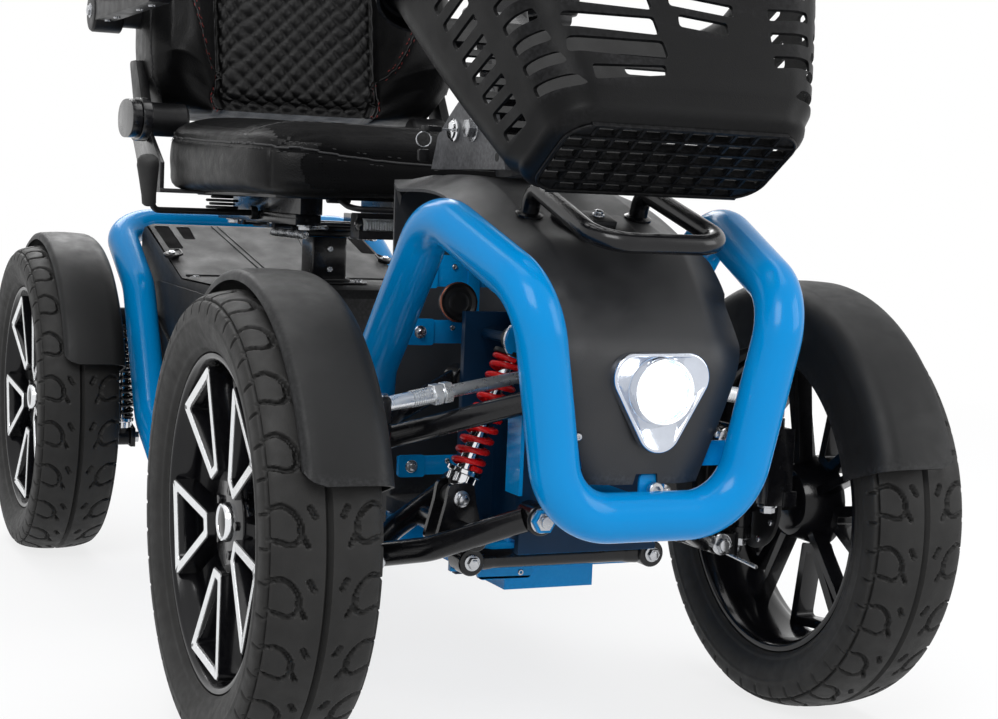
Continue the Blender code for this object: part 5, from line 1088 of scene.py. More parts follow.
def headlight():
    """A polished triangular bowl, a ring of small lamps behind a clear dome, and the dome's own ring."""
    face, height, lens_height = -0.1963, 0.131, 0.134

    def ring_at(inset, y, share):
        points = []
        for i in range(96):
            angle = 2 * math.pi * (i + 0.5) / 96
            edge = headlight_outline(angle, inset)
            x, z = edge.x, height + edge.y
            round_x, round_z = 0.0275 * math.cos(angle), lens_height + 0.0275 * math.sin(angle)
            points.append(front(x + (round_x - x) * share, y, z + (round_z - z) * share))
        return points

    bowl = band([ring_at(0, face, 0), ring_at(0, -0.2030, 0), ring_at(0.0008, -0.2048, 0),
                 ring_at(0.0022, -0.2053, 0), ring_at(0.0034, -0.2046, 0), ring_at(0.0034, -0.2025, 0.35),
                 ring_at(0.0034, -0.2000, 0.8), ring_at(0.0034, -0.1990, 1.0), ring_at(0.0034, face, 1.0)])
    piece("headlight_bowl", bowl, LAMP_CHROME, "root", 50, ("headlight",))
    middle = front(0, face, lens_height)
    ahead = Vector((0, -1, 0))
    rim = ring([(0.0030, 0.0276), (0.0130, 0.0276), (0.0142, 0.0272), (0.0142, 0.0265), (0.0060, 0.0262),
                (0.0030, 0.0262)], middle, ahead, 72)
    piece("headlight_ring", rim, CHROME, "root")
    plate = lathe([(0.0006, 0.0260), (0.0046, 0.0260), (0.0052, 0.0255)], middle, ahead, 48)
    piece("headlight_plate", plate, LAMP_LIT, "root")
    cups = []
    for count, out, size in ((1, 0.0, 0.0056), (6, 0.0128, 0.0052), (10, 0.0212, 0.0034)):
        for k in range(count):
            angle = 2 * math.pi * k / count + 0.2
            place = middle + Vector((out * math.cos(angle), 0, out * math.sin(angle))) + ahead * 0.0050
            cups.append(lathe([(0, size), (0.0022, size), (0.0034, size * 0.7), (0.0040, size * 0.25)],
                              place, ahead, 20))
    piece("headlight_lamps", joined(*cups), LAMP_CORE, "root")
    dome = [(0.0118, 0.0262)]
    dome += [(0.0118 + 0.0080 * math.sin(math.radians(turn)), 0.0262 * math.cos(math.radians(turn)))
             for turn in range(10, 90, 10)]
    inner = [(along - 0.0012, radius * 0.965) for along, radius in dome]
    shape = band_of_profile(dome, inner, middle, ahead)
    piece("headlight_dome", shape, CLEAR, "root", 60)


def band_of_profile(outer, inner, start, axis, sides=48):
    """A thin turned dome from an outer and an inner profile, both ending near the axis."""
    profile = [*outer, (outer[-1][0] + 0.0001, 0.0004), (inner[-1][0] + 0.0001, 0.0004), *inner[::-1]]
    return ring(profile, start, axis, sides)


def hoops():
    half = [(0.118, 0.165, -0.0297), (0.118, 0.165, 0.015), (0.140, 0.090, 0.125), (0.140, -0.044, 0.273),
            (0.1165, -0.2035, 0.211), (0.082, -0.191, 0.028)]
    corners = [front(*point) for point in half] + [front(-x, y, z) for x, y, z in reversed(half)]
    bends = [0.035, 0.055, 0.055, 0.055, 0.055]
    shapes = [tube(curved(corners, [*bends, *reversed(bends)], 4), 0.021, 40)]
    bolts = []
    for side in SIDES:
        low, high = sorted((side * 0.046, side * 0.094))
        shapes.append(slab(rounded_outline(((low, 0.067), (high, 0.067), (high, 0.088), (low, 0.088)), 0.004),
                           "Y", -0.1749, -0.1709, front))
        foot = front(side * 0.118, 0.165, -0.0297)
        weld = ring([(-0.0002 + 0.0028 * math.cos(a), 0.0208 + 0.0028 * math.sin(a))
                     for a in np.linspace(0, 2 * math.pi, 10, endpoint=False)], foot + Vector((0, 0, 0.003)),
                    (0, 0, 1), 48)
        shapes.append(weld)
        bolts.append(hex_bolt(front(side * 0.062, -0.1709, 0.0775), (0, 1, 0), 0.0048, 0.0035))
    piece("front_hoop_shown", joined(*shapes), BLUE, "root", 35, ("front_hoop",))
    half = [(0.1353, -0.225, -0.058), (0.180, -0.225, -0.058), (0.180, -0.138, -0.012),
            (0.180, -0.053, 0.152), (0.180, 0.085, 0.230)]
    corners = [rear(*point) for point in half] + [rear(-x, y, z) for x, y, z in reversed(half)]
    bends = [0.024, 0.055, 0.055, 0.055]
    shapes = [tube(curved(corners, [*bends, *reversed(bends)], 4), 0.021, 40)]
    for side in SIDES:
        ear = slab(rounded_outline(((-0.065, 0.098), (-0.022, 0.098), (-0.022, 0.122), (-0.065, 0.122)),
                                   [0.003, 0.010, 0.010, 0.003]), "X", side * 0.1762, side * 0.1852, rear)
        shapes.append(ear)
        bolts.append(hex_bolt(rear(side * 0.2046, -0.036, 0.110), (side, 0, 0), 0.0085, 0.0055))
    piece("rear_hoop_shown", joined(*shapes), BLUE, "root", 35, ("rear_hoop",))
    piece("hoop_bolts", joined(*bolts), STEEL, "root")


def grab_loop():
    """The glossy loop on the nose, with a plate, a bolt and two feet inside it."""
    slope = math.atan2(0.302 - 0.265, 0.110)
    up = Vector((0, -math.sin(slope), math.cos(slope)))
    half = [front(0.054, -0.050, 0.2718) + up * 0.0003, front(0.054, -0.050, 0.2718) + up * 0.027,
            front(0.060, -0.200, 0.2540)]
    corners = half + [Vector((-point.x, point.y, point.z)) for point in reversed(half)]
    shapes = [tube(curved(corners, [0.016, 0.030, 0.030, 0.016], 5), 0.0085, 28)]
    for side in SIDES:
        foot = front(side * 0.054, -0.050, 0.2718)
        shapes.append(lathe([(0.0002, 0.0125), (0.0022, 0.0125), (0.0035, 0.0100), (0.0040, 0.0086)], foot,
                            up, 32))
    piece("grab_loop_shown", joined(*shapes), BLACK_PAINT, "root", 35, ("grab_loop",))
    along = Vector((0, math.cos(slope), math.sin(slope)))
    middle = front(0, -0.070, 0.2652)
    matrix = Matrix((Vector((1, 0, 0)), along, up)).transposed().to_4x4()
    matrix.translation = middle
    pad = slab(rounded_outline(((-0.030, -0.036), (0.030, -0.036), (0.036, 0.020), (-0.036, 0.020)), 0.006),
               "Z", 0.0002, 0.0040)
    socket = slab(rounded_outline(((-0.012, -0.020), (0.012, -0.020), (0.012, 0.008), (-0.012, 0.008)),
                                  0.003),
                  "Z", 0.0036, 0.0110)
    piece("nose_socket", moved(joined(pad, socket), matrix), SATIN_BLACK, "root", 35, (),
          0.0007, 2)
    tongue = slab(rounded_outline(((-0.007, -0.032), (0.007, -0.032), (0.007, -0.018), (-0.007, -0.018)),
                                  0.002),
                  "Z", 0.0036, 0.0064)
    head = turned_to(hex_bolt((0, 0, 0), (0, 0, 1), 0.0042, 0.0032), middle + along * -0.004 + up * 0.0112,
                     up)
    piece("nose_socket_bolt", joined(moved(tongue, matrix), head), STEEL, "root", 35, (), 0.0004, 1)


def chassis():
    """The painted frame with softened edges, and what is bolted to it in front."""
    frame_copy = dressed("chassis_frame", BLUE, 0.0011, 2)
    # Faces in the bay behind the nose cover take the dark copy of the paint: painted shade.
    frame_copy.data.materials.append(BLUE_PAINTED_SHADE)
    for face in frame_copy.data.polygons:
        y = face.center.y - FRONT_AXLE_Y
        if -0.100 < y < 0.095 and abs(face.center.x) < 0.105 and face.center.z - AXLE_HEIGHT > -0.020:
            face.material_index = 1
    bolts = []
    plates = []
    for half, middle, height in ((0.104, 0.215, 0.030), (0.106, 0.157, 0.022), (0.110, 0.029, 0.018)):
        for side in SIDES:
            x = side * (half - 0.012)
            low, high = sorted((side * (half - 0.026), side * (half + 0.0006)))
            grown = height / 2 + 0.0015
            outline = rounded_outline(((low, middle - grown), (high, middle - grown),
                                       (high, middle + grown), (low, middle + grown)), 0.003)
            plates.append(slab(outline, "Y", 0.0945, 0.0978, front))
            bolts.append(hex_bolt(front(x, 0.0945, middle), (0, -1, 0), 0.0046, 0.0030))
        bolts.append(socket_bolt(front(-0.060, 0.0970, middle + 0.004), (0, -1, 0), 0.0026, 0.0014))
    for side in SIDES:
        for x, z in ((0.060, 0.013), (0.060, 0.115)):
            bolts.append(hex_bolt(front(side * x, -0.1149, z), (0, -1, 0), 0.0084, 0.0068))
            bolts.append(turned_to(lathe([(0.0, 0.0055), (0.0040, 0.0052)], (0, 0, 0), (0, 0, 1), 20),
                                   front(side * x, -0.1226, z), (0, -1, 0)))
            bolts.append(hex_bolt(front(side * x, 0.0846, z), (0, 1, 0), 0.0084, 0.0068))
        bolts.append(hex_bolt(front(side * 0.091, -0.0412, -0.037), (0, -1, 0), 0.0056, 0.0046))
        cap = lathe([(-0.0006, 0.0182), (0.0030, 0.0182), (0.0044, 0.0168)],
                    front(side * 0.0473, -0.0325, 0.160),
                    (0, -1, 0), 36)
        plates.append(cap)
        bolts.append(hex_bolt(front(side * 0.0473, -0.0365, 0.160), (0, -1, 0), 0.0068, 0.0045))
        bolts.append(ring([(0, 0.0180), (0.0010, 0.0190), (0.0022, 0.0190), (0.0030, 0.0180)],
                          front(side * 0.0473, -0.0325, 0.160), (0, -1, 0), 48))
        # A gusset and a flange on the front bulkhead's edge
        low, high = sorted((side * 0.0670, side * 0.0705))
        plates.append(block(front(low, -0.0880, 0.030), front(high, -0.0600, 0.100)))
    tab = rounded_outline(((-0.070, -0.0595), (-0.022, -0.0595), (-0.010, -0.0485), (-0.078, -0.0485)), 0.006)
    plates.append(slab(tab, "Y", -0.0140, -0.0090, front))
    bolts.append(socket_bolt(front(-0.030, -0.0140, -0.0540), (0, -1, 0), 0.0028, 0.0010))
    piece("frame_flanges", joined(*plates), BLUE, "root", 35, (), 0.0006, 1)
    piece("frame_bolts", joined(*bolts), STEEL, "root")
    horn_at, facing = front(-0.0675, 0.0900, 0.185), (0, -1, 0.1)
    horn = lathe([(0, 0.008), (0.010, 0.010), (0.012, 0.016), (0.020, 0.0188), (0.023, 0.0188),
                  (0.0242, 0.0170),
                  (0.0225, 0.0140), (0.0232, 0.0105), (0.0220, 0.0080), (0.0228, 0.0030)], horn_at, facing,
                  48)
    piece("horn", horn, SATIN_BLACK, "root")
    trim = ring([(0.0222, 0.0189), (0.0240, 0.0190), (0.0245, 0.0178), (0.0232, 0.0172)], horn_at, facing, 48)
    piece("horn_trim", trim, COPPER, "root")


def cross_link():
    z = -0.037
    shapes = [bar(front(-0.086, -0.028, z), front(0.086, -0.028, z), 0.0085)]
    for side in SIDES:
        shapes.append(lathe([(0, 0.0115), (0.0012, 0.0125), (0.0248, 0.0125), (0.026, 0.0115)],
                            front(side * 0.091, -0.0148, z), (0, -1, 0), 32))
        shapes.append(lathe([(0, 0.0100), (0.010, 0.0093), (0.014, 0.0086)], front(side * 0.080, -0.028, z),
                            (-side, 0, 0), 32))
    piece("cross_link_shown", joined(*shapes), BLACK_PAINT, "root", 35, ("cross_link",))


def foot_deck():
    """The deck with a ribbed rubber mat on each side and a rolled border."""
    dressed("foot_deck", DECK_PLASTIC, 0.0022, 2)
    ribs = []
    for side in SIDES:
        for k in range(9):
            x = side * (0.045 + 0.015 * k)
            low, high = sorted((x - 0.0035, x + 0.0035))
            start = 0.285 if abs(x) > 0.1 else 0.262
            outline = rounded_outline(((low, start), (high, start), (high, 0.478), (low, 0.478)), 0.003, 3)
            ribs.append(slab(outline, "Z", -0.0120, -0.0100, front))
    piece("deck_mat", joined(*ribs), GRIP_RUBBER, "root", 35, (), 0.0006, 1)


# Front suspension and steering
def wishbone(side, name, pivot_at, joint_at, radius, dip, extra=()):
    x, z = side * pivot_at[0], pivot_at[1]
    out_x, out_z = side * joint_at[0], joint_at[1]
    shapes, bushes = [], []
    for eye in (-0.1008, 0.0703):
        shapes.append(ring([(-0.0132, 0.0100), (-0.0132, 0.0128), (-0.0124, 0.0136), (0.0124, 0.0136),
                            (0.0132, 0.0128), (0.0132, 0.0100)], front(x, eye, z), (0, 1, 0), 40))
        bushes.append(ring([(-0.0140, 0.0066), (-0.0140, 0.0104), (0.0140, 0.0104), (0.0140, 0.0066)],
                           front(x, eye, z), (0, 1, 0), 32))
    bend_x = side * (0.5 * (pivot_at[0] + joint_at[0]) + 0.018)
    bend_z = 0.5 * (pivot_at[1] + joint_at[1]) - dip
    for eye, bend_y in ((-0.1008, -0.050), (0.0703, 0.042)):
        corners = [front(x + side * 0.009, eye, z - 0.001), front(bend_x, bend_y, bend_z),
                   front(out_x - side * 0.002, 0, out_z)]
        shapes.append(tube(curved(corners, 0.045, 4), radius, 32))
    shapes.append(lathe([(0, 0.0100), (0.0012, 0.0112), (0.0328, 0.0112), (0.034, 0.0100)],
                        front(out_x, -0.017, out_z), (0, 1, 0), 32))
    shapes += extra
    piece(f"{name}_shown", joined(*shapes), BLACK_PAINT, name, 35, (name,))
    piece(f"{name}_bushes", joined(*bushes), GRIP_RUBBER, name)
    bolt = [hex_bolt(front(out_x, -0.0240, out_z), (0, -1, 0), 0.0078, 0.0055),
            hex_bolt(front(out_x, 0.0240, out_z), (0, 1, 0), 0.0078, 0.0055)]
    piece(f"{name}_bolt", joined(*bolt), STEEL, name)


def clevis(side):
    """The cast foot of the shock: two webs with a bolt through them on a round bar."""
    x = side * 0.1023
    shapes = [bar(front(x, -0.074, -0.010), front(x, 0.062, -0.010), 0.0105)]
    for direction in SIDES:
        low, high = sorted((-0.022 + direction * 0.0106, -0.022 + direction * 0.0160))
        outline = rounded_outline(((x - 0.024, -0.020), (x + 0.024, -0.020), (x + 0.0145, 0.016),
                                   (x + 0.0120, 0.034), (x - 0.0120, 0.034), (x - 0.0145, 0.016)),
                                  [0.005, 0.005, 0.006, 0.008, 0.008, 0.006])
        shapes.append(slab(outline, "Y", low, high, front))
    return shapes


def upright_and_knuckle(side):
    name = sided(side)
    dressed(f"{name}_upright", BLACK_PAINT, 0.0012, 2)
    dressed(f"{name}_knuckle", BLACK_PAINT, 0.0011, 2)
    bolts, blacks = [], []
    for z in (-0.0226, 0.0596):
        bolts.append(hex_bolt(front(side * 0.210, 0, z + (0.0108 if z > 0 else -0.0108)),
                              (0, 0, 1 if z > 0 else -1), 0.0080, 0.0060))
    bolts.append(hex_bolt(front(side * 0.196, -0.070, 0.0100), (0, 0, -1), 0.0070, 0.0055))
    for z in (0.060, 0.120):
        bolts.append(socket_bolt(front(side * 0.2235, 0, z), (-side, 0, 0), 0.0044, 0.0030))
    # Read as a brake: a plate with bolts on the inner face of the hub, a lever and a straight rod
    centre = front(side * 0.2245, 0, 0)
    plate = lathe([(0, 0.0300), (0.0008, 0.0440), (0.0040, 0.0440), (0.0052, 0.0425)], centre, (side, 0, 0),
                  48)
    blacks.append(plate)
    for k in range(8):
        angle = math.radians(22.5 + 45 * k)
        place = centre + Vector((side * 0.0006, 0.036 * math.cos(angle), 0.036 * math.sin(angle)))
        bolts.append(socket_bolt(place, (-side, 0, 0), 0.0030, 0.0022))
    lever = slab(rounded_outline(((0.010, -0.050), (0.020, -0.054), (0.062, -0.060), (0.062, -0.050),
                                  (0.022, -0.040), (0.010, -0.036)), 0.003), "X", side * 0.2180,
                                  side * 0.2215, front)
    blacks.append(lever)
    bolts.append(hex_bolt(front(side * 0.2180, 0.016, -0.0455), (-side, 0, 0), 0.0052, 0.0045))
    bolts.append(bar(front(side * 0.2198, 0.054, -0.0555), front(side * 0.2198, -0.020, -0.0600), 0.0020))
    bolts.append(bar(front(side * 0.2198, 0.046, -0.0560), front(side * 0.2198, 0.058, -0.0552), 0.0044))
    piece(f"{name}_brake_plate", joined(*blacks), SATIN_BLACK, f"{name}_knuckle", 35, (),
          0.0004, 1)
    piece(f"{name}_knuckle_bolts", joined(*bolts), STEEL, f"{name}_knuckle")


def tie_rod(side):
    """A bright rod in a threaded sleeve with lock nuts, and a black ball joint with a castle nut under it."""
    name = f"{sided(side)}_tie_rod"
    inner = on_steering(-0.2317, 0.071, side * 0.012)
    outer = front(side * 0.196, -0.070, 0.1077)
    along = (outer - inner).normalized()
    length = (outer - inner).length
    bright = [bar(inner + along * 0.012, outer - along * 0.052, 0.0056),
              bar(outer - along * 0.052, outer - along * 0.008, 0.0072, 0.0062, 32)]
    for distance in (0.056, 0.066):
        bright.append(turned_to(hexagon(0.0098, -0.0040, 0.0040), outer - along * distance, along))
    thread = []
    for k in range(10):
        start = length - 0.052 + 0.0022 * k
        thread.append(ring([(-0.0006, 0.0066), (0, 0.0074), (0.0006, 0.0066), (0, 0.0060)],
                           inner + along * start, along, 24))
    bright += thread
    bright.append(bar(inner - along * 0.004, inner + along * 0.016, 0.0078, 0.0062, 28))
    black = [lathe([(0, 0.0088), (0.0015, 0.0108), (0.0185, 0.0112), (0.0205, 0.0108), (0.0225, 0.0092),
                    (0.0240, 0.0040)], front(side * 0.196, -0.070, 0.0928), (0, 0, 1), 36)]
    boot = [(0.0786, 0.0085), (0.0806, 0.0108), (0.0830, 0.0116), (0.0852, 0.0106), (0.0872, 0.0114),
            (0.0894, 0.0104), (0.0926, 0.0086)]
    black.append(lathe([(z - 0.0786, radius) for z, radius in boot], front(side * 0.196, -0.070, 0.0786),
                       (0, 0, 1), 36))
    piece(f"{name}_shown", joined(*bright), BRIGHT_ROD, name, 35, (name,))
    piece(f"{name}_joint", joined(*black), SATIN_BLACK, name)
    cap = lathe([(0, 0.0080), (0.0016, 0.0080), (0.0022, 0.0070)], front(side * 0.196, -0.070, 0.1160),
                (0, 0, 1), 28)
    piece(f"{name}_cap", cap, STEEL, name)


def shock(name, top, foot, eye_axis, curls, bodies, look):
    """A coil-over shock: bright rod, spring between two seats, dark body and its eyes."""
    upper, lower = bodies
    along = (foot - top).normalized()
    length = (foot - top).length
    seat_at, collar_at = 0.0165, length - 0.026
    eye = Vector(eye_axis)
    rod_end = seat_at + (collar_at - seat_at) * 0.62
    head = [ring([(-0.0100, 0.0056), (-0.0100, 0.0110), (-0.0092, 0.0120), (0.0092, 0.0120), (0.0100, 0.0110),
                  (0.0100, 0.0056)], top, eye, 36),
            lathe([(0.008, 0.0072), (seat_at - 0.0045, 0.0090), (seat_at - 0.0040, 0.0160),
                   (seat_at - 0.0008, 0.0165), (seat_at, 0.0158)], top, along, 40)]
    piece(f"{name}_shock_top", joined(*head), SATIN_BLACK, upper)
    rod = [bar(top + along * (seat_at - 0.002), top + along * rod_end, 0.0050, None, 28)]
    piece(f"{name}_shock_rod_shown", joined(*rod), CHROME, upper, 35, (f"{name}_shock_rod",))
    barrel = [lathe([(rod_end - 0.022, 0.0066), (rod_end - 0.020, 0.0084), (collar_at + 0.003, 0.0084)],
                    top, along, 32)]
    collar = lathe([(collar_at, 0.0160), (collar_at + 0.0008, 0.0166), (collar_at + 0.0042, 0.0166),
                    (collar_at + 0.0050, 0.0158), (collar_at + 0.0052, 0.0130), (collar_at + 0.0130, 0.0126),
                    (collar_at + 0.0136, 0.0110)], top, along, 40)
    notches = []
    for k in range(8):
        angle = math.radians(45 * k)
        first, second = across(along)
        out = first * math.cos(angle) + second * math.sin(angle)
        notches.append(bar(top + along * (collar_at + 0.0052) + out * 0.0126,
                           top + along * (collar_at + 0.0128) + out * 0.0126, 0.0013, None, 10))
    piece(f"{name}_shock_collar", joined(*barrel, collar, *notches), CHROME, lower)
    base = [lathe([(collar_at + 0.0134, 0.0110), (length - 0.0100, 0.0100), (length - 0.0040, 0.0090)],
                  top, along, 32),
            ring([(-0.0094, 0.0056), (-0.0094, 0.0100), (-0.0086, 0.0108), (0.0086, 0.0108), (0.0094, 0.0100),
                  (0.0094, 0.0056)], foot, eye, 36)]
    piece(f"{name}_shock_body_shown", joined(*base), SATIN_BLACK, lower, 35,
          (f"{name}_shock_body",))
    start, end = top + along * (seat_at + 0.0002), top + along * (collar_at - 0.0002)
    first, second = across(along)
    wire = 0.0026
    run = (end - start).length - 2 * wire
    count = curls * 28
    path = []
    for i in range(count + 1):
        share = i / count
        # The end turns lie flat on the seats
        rise = min(1.0, max(0.0, (share - 0.5 / curls) / (1 - 1 / curls)))
        angle = 2 * math.pi * i / 28
        out = first * math.cos(angle) + second * math.sin(angle)
        path.append(start + along * (wire + run * (0.10 * share + 0.90 * rise)) + out * 0.0130)
    coil = piece(f"{name}_spring_shown", tube(path, wire, 12), look, upper, 50, (f"{name}_spring",))
    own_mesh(coil)


def front_suspension():
    for side in SIDES:
        name = sided(side)
        wishbone(side, f"{name}_lower_arm", (0.060, 0.013), (0.177, -0.035), 0.011, 0.010, clevis(side))
        wishbone(side, f"{name}_upper_arm", (0.060, 0.115), (0.177, 0.067), 0.010, 0.004)
        x = side * 0.1023
        bolts = [hex_bolt(front(x, -0.0382, 0.020), (0, -1, 0), 0.0056, 0.0046),
                 hex_bolt(front(x, -0.0058, 0.020), (0, 1, 0), 0.0074, 0.0050)]
        piece(f"{name}_clevis_bolt", joined(*bolts), STEEL, f"{name}_lower_arm")
        upright_and_knuckle(side)
        tie_rod(side)
        shock(f"front_{name}", front(side * 0.0473, -0.022, 0.160), front(x, -0.022, 0.020), (0, 1, 0), 11,
              (f"front_{name}_shock", f"front_{name}_shock_body"), SPRING_RED)


def rear_suspension():
    dressed("rear_axle", BLACK_PAINT, 0.0011, 2)
    bolts, blacks = [], []
    for side in SIDES:
        name = f"rear_{sided(side)}"
        shock(name, rear(side * 0.195, -0.036, 0.110), rear(side * 0.195, -0.036, -0.050), (1, 0, 0), 13,
              ("root", f"{name}_shock_body"), BLACK_PAINT)
        bolts.append(hex_bolt(rear(side * 0.1788, -0.036, -0.050), (-side, 0, 0), 0.0078, 0.0050))
        for z in (0.060, 0.130):
            bolts.append(socket_bolt(rear(side * 0.2190, 0, z), (-side, 0, 0), 0.0044, 0.0030))
        hub = [(0, 0.0180), (0.0010, 0.0420), (0.0045, 0.0420), (0.0055, 0.0400)]
        blacks.append(lathe(hub, rear(side * 0.2120, 0, 0), (side, 0, 0), 48))
        for k in range(5):
            angle = math.radians(45 * k - 90)
            place = rear(side * 0.2126, 0.034 * math.cos(angle), 0.034 * math.sin(angle))
            bolts.append(hex_bolt(place, (-side, 0, 0), 0.0046, 0.0032))
        for k in range(8):
            angle = math.radians(45 * k)
            place = rear(side * 0.0620, 0.049 * math.cos(angle), 0.049 * math.sin(angle))
            bolts.append(hex_bolt(place, (side, 0, 0), 0.0046, 0.0034))
    for k in range(14):
        x = -0.060 + 0.009 * k
        blacks.append(ring([(-0.0011, 0.0385), (-0.0011, 0.0425), (0.0011, 0.0425), (0.0011, 0.0385)],
                           rear(x, -0.088, 0.012), (1, 0, 0), 40))
    piece("rear_axle_trim", joined(*blacks), SATIN_BLACK, "rear_axle", 35)
    piece("rear_axle_bolts", joined(*bolts), STEEL, "rear_axle")


# Soft pieces
SHRINK = 0.985
VOXEL = 0.006


def puffed(obj, cap):
    """The piece filled out by a cloth simulation of a coarser copy, no point moved further than cap."""
    scene = bpy.context.scene
    middle = sum((vert.co for vert in obj.data.vertices), Vector()) / len(obj.data.vertices)
    mesh = obj.data.copy()
    mesh.transform(Matrix.Translation(middle) @ Matrix.Scale(SHRINK, 4) @ Matrix.Translation(-middle))
    pillow = bpy.data.objects.new("pillow", mesh)
    scene.collection.objects.link(pillow)
    remesh = pillow.modifiers.new("Remesh", "REMESH")
    remesh.mode = "VOXEL"
    remesh.voxel_size = VOXEL
    bpy.context.view_layer.update()
    applied(pillow)
    cloth = pillow.modifiers.new("Cloth", "CLOTH")
    cloth.settings.use_pressure = True
    cloth.settings.uniform_pressure_force = 4.0
    cloth.settings.effector_weights.gravity = 0.0
    for frame_number in range(1, 21):
        scene.frame_set(frame_number)
    filled = applied(pillow).data
    scene.frame_set(1)
    points = [vert.co.copy() for vert in filled.vertices]
    tree = BVHTree.FromPolygons(points, [tuple(face.vertices) for face in filled.polygons])
    verts = obj.data.vertices
    shifts = np.zeros((len(verts), 3))
    for i, vert in enumerate(verts):
        nearest = tree.find_nearest(vert.co)[0]
        shift = nearest - vert.co
        if shift.length > cap:
            shift *= cap / shift.length
        shifts[i] = shift
    edges = np.array([tuple(edge.vertices) for edge in obj.data.edges])
    for _ in range(12):
        total, count = np.zeros_like(shifts), np.zeros((len(verts), 1))
        for a, b in (edges.T, edges.T[::-1]):
            np.add.at(total, a, shifts[b])
            np.add.at(count, a, 1)
        shifts = total / np.maximum(count, 1)
    for vert, shift in zip(verts, shifts):
        vert.co += Vector(shift)
    bpy.data.objects.remove(pillow, do_unlink=True)
    obj.data.update()


def lowered(obj, lines, depth, width):
    """The surface drawn in along sewn lines."""
    mesh = obj.data
    mesh.update()
    points = np.array([vert.co for vert in mesh.vertices])
    normals = np.array([vert.normal for vert in mesh.vertices])
    tree = KDTree(sum(len(line) for line in lines))
    index = 0
    for line in lines:
        for point in line:
            tree.insert(point, index)
            index += 1
    tree.balance()
    for vert, point, normal in zip(mesh.vertices, points, normals):
        distance = tree.find(point)[2]
        if distance < width * 3:
            vert.co = Vector(point - normal * depth * math.exp(-(distance / width) ** 2))
    mesh.update()


def on_surface(obj, line, lift=0.0):
    """A line laid on a surface, with the surface's normal at each of its points."""
    mesh = obj.data
    tree = BVHTree.FromPolygons([vert.co.copy() for vert in mesh.vertices],
                                [tuple(face.vertices) for face in mesh.polygons])
    laid = []
    for point in line:
        place, normal = tree.find_nearest(point)[:2]
        laid.append((place + normal * lift, normal))
    return laid


def stitches(laid, offset, step=0.0060, length=0.0040, radius=0.00045):
    """Short threads along a line that lies on a surface, beside it by an offset."""
    shapes = []
    travelled = step
    for (start, normal), (end, _) in zip(laid, laid[1:]):
        run = end - start
        travelled += run.length
        if travelled >= step and run.length > 1e-6:
            travelled = 0.0
            along = run.normalized()
            side = normal.cross(along).normalized() * offset
            middle = start + side + normal * radius * 0.4
            shapes.append(lathe([(0, radius * 0.5), (length * 0.2, radius), (length * 0.8, radius),
                                 (length, radius * 0.5)], middle - along * length / 2, along, 8))
    return shapes


def rounded_box_point(angle, half_x, half_y, power):
    c, s = math.cos(angle), math.sin(angle)
    return (half_x * math.copysign(abs(c) ** (2 / power), c),
            half_y * math.copysign(abs(s) ** (2 / power), s))


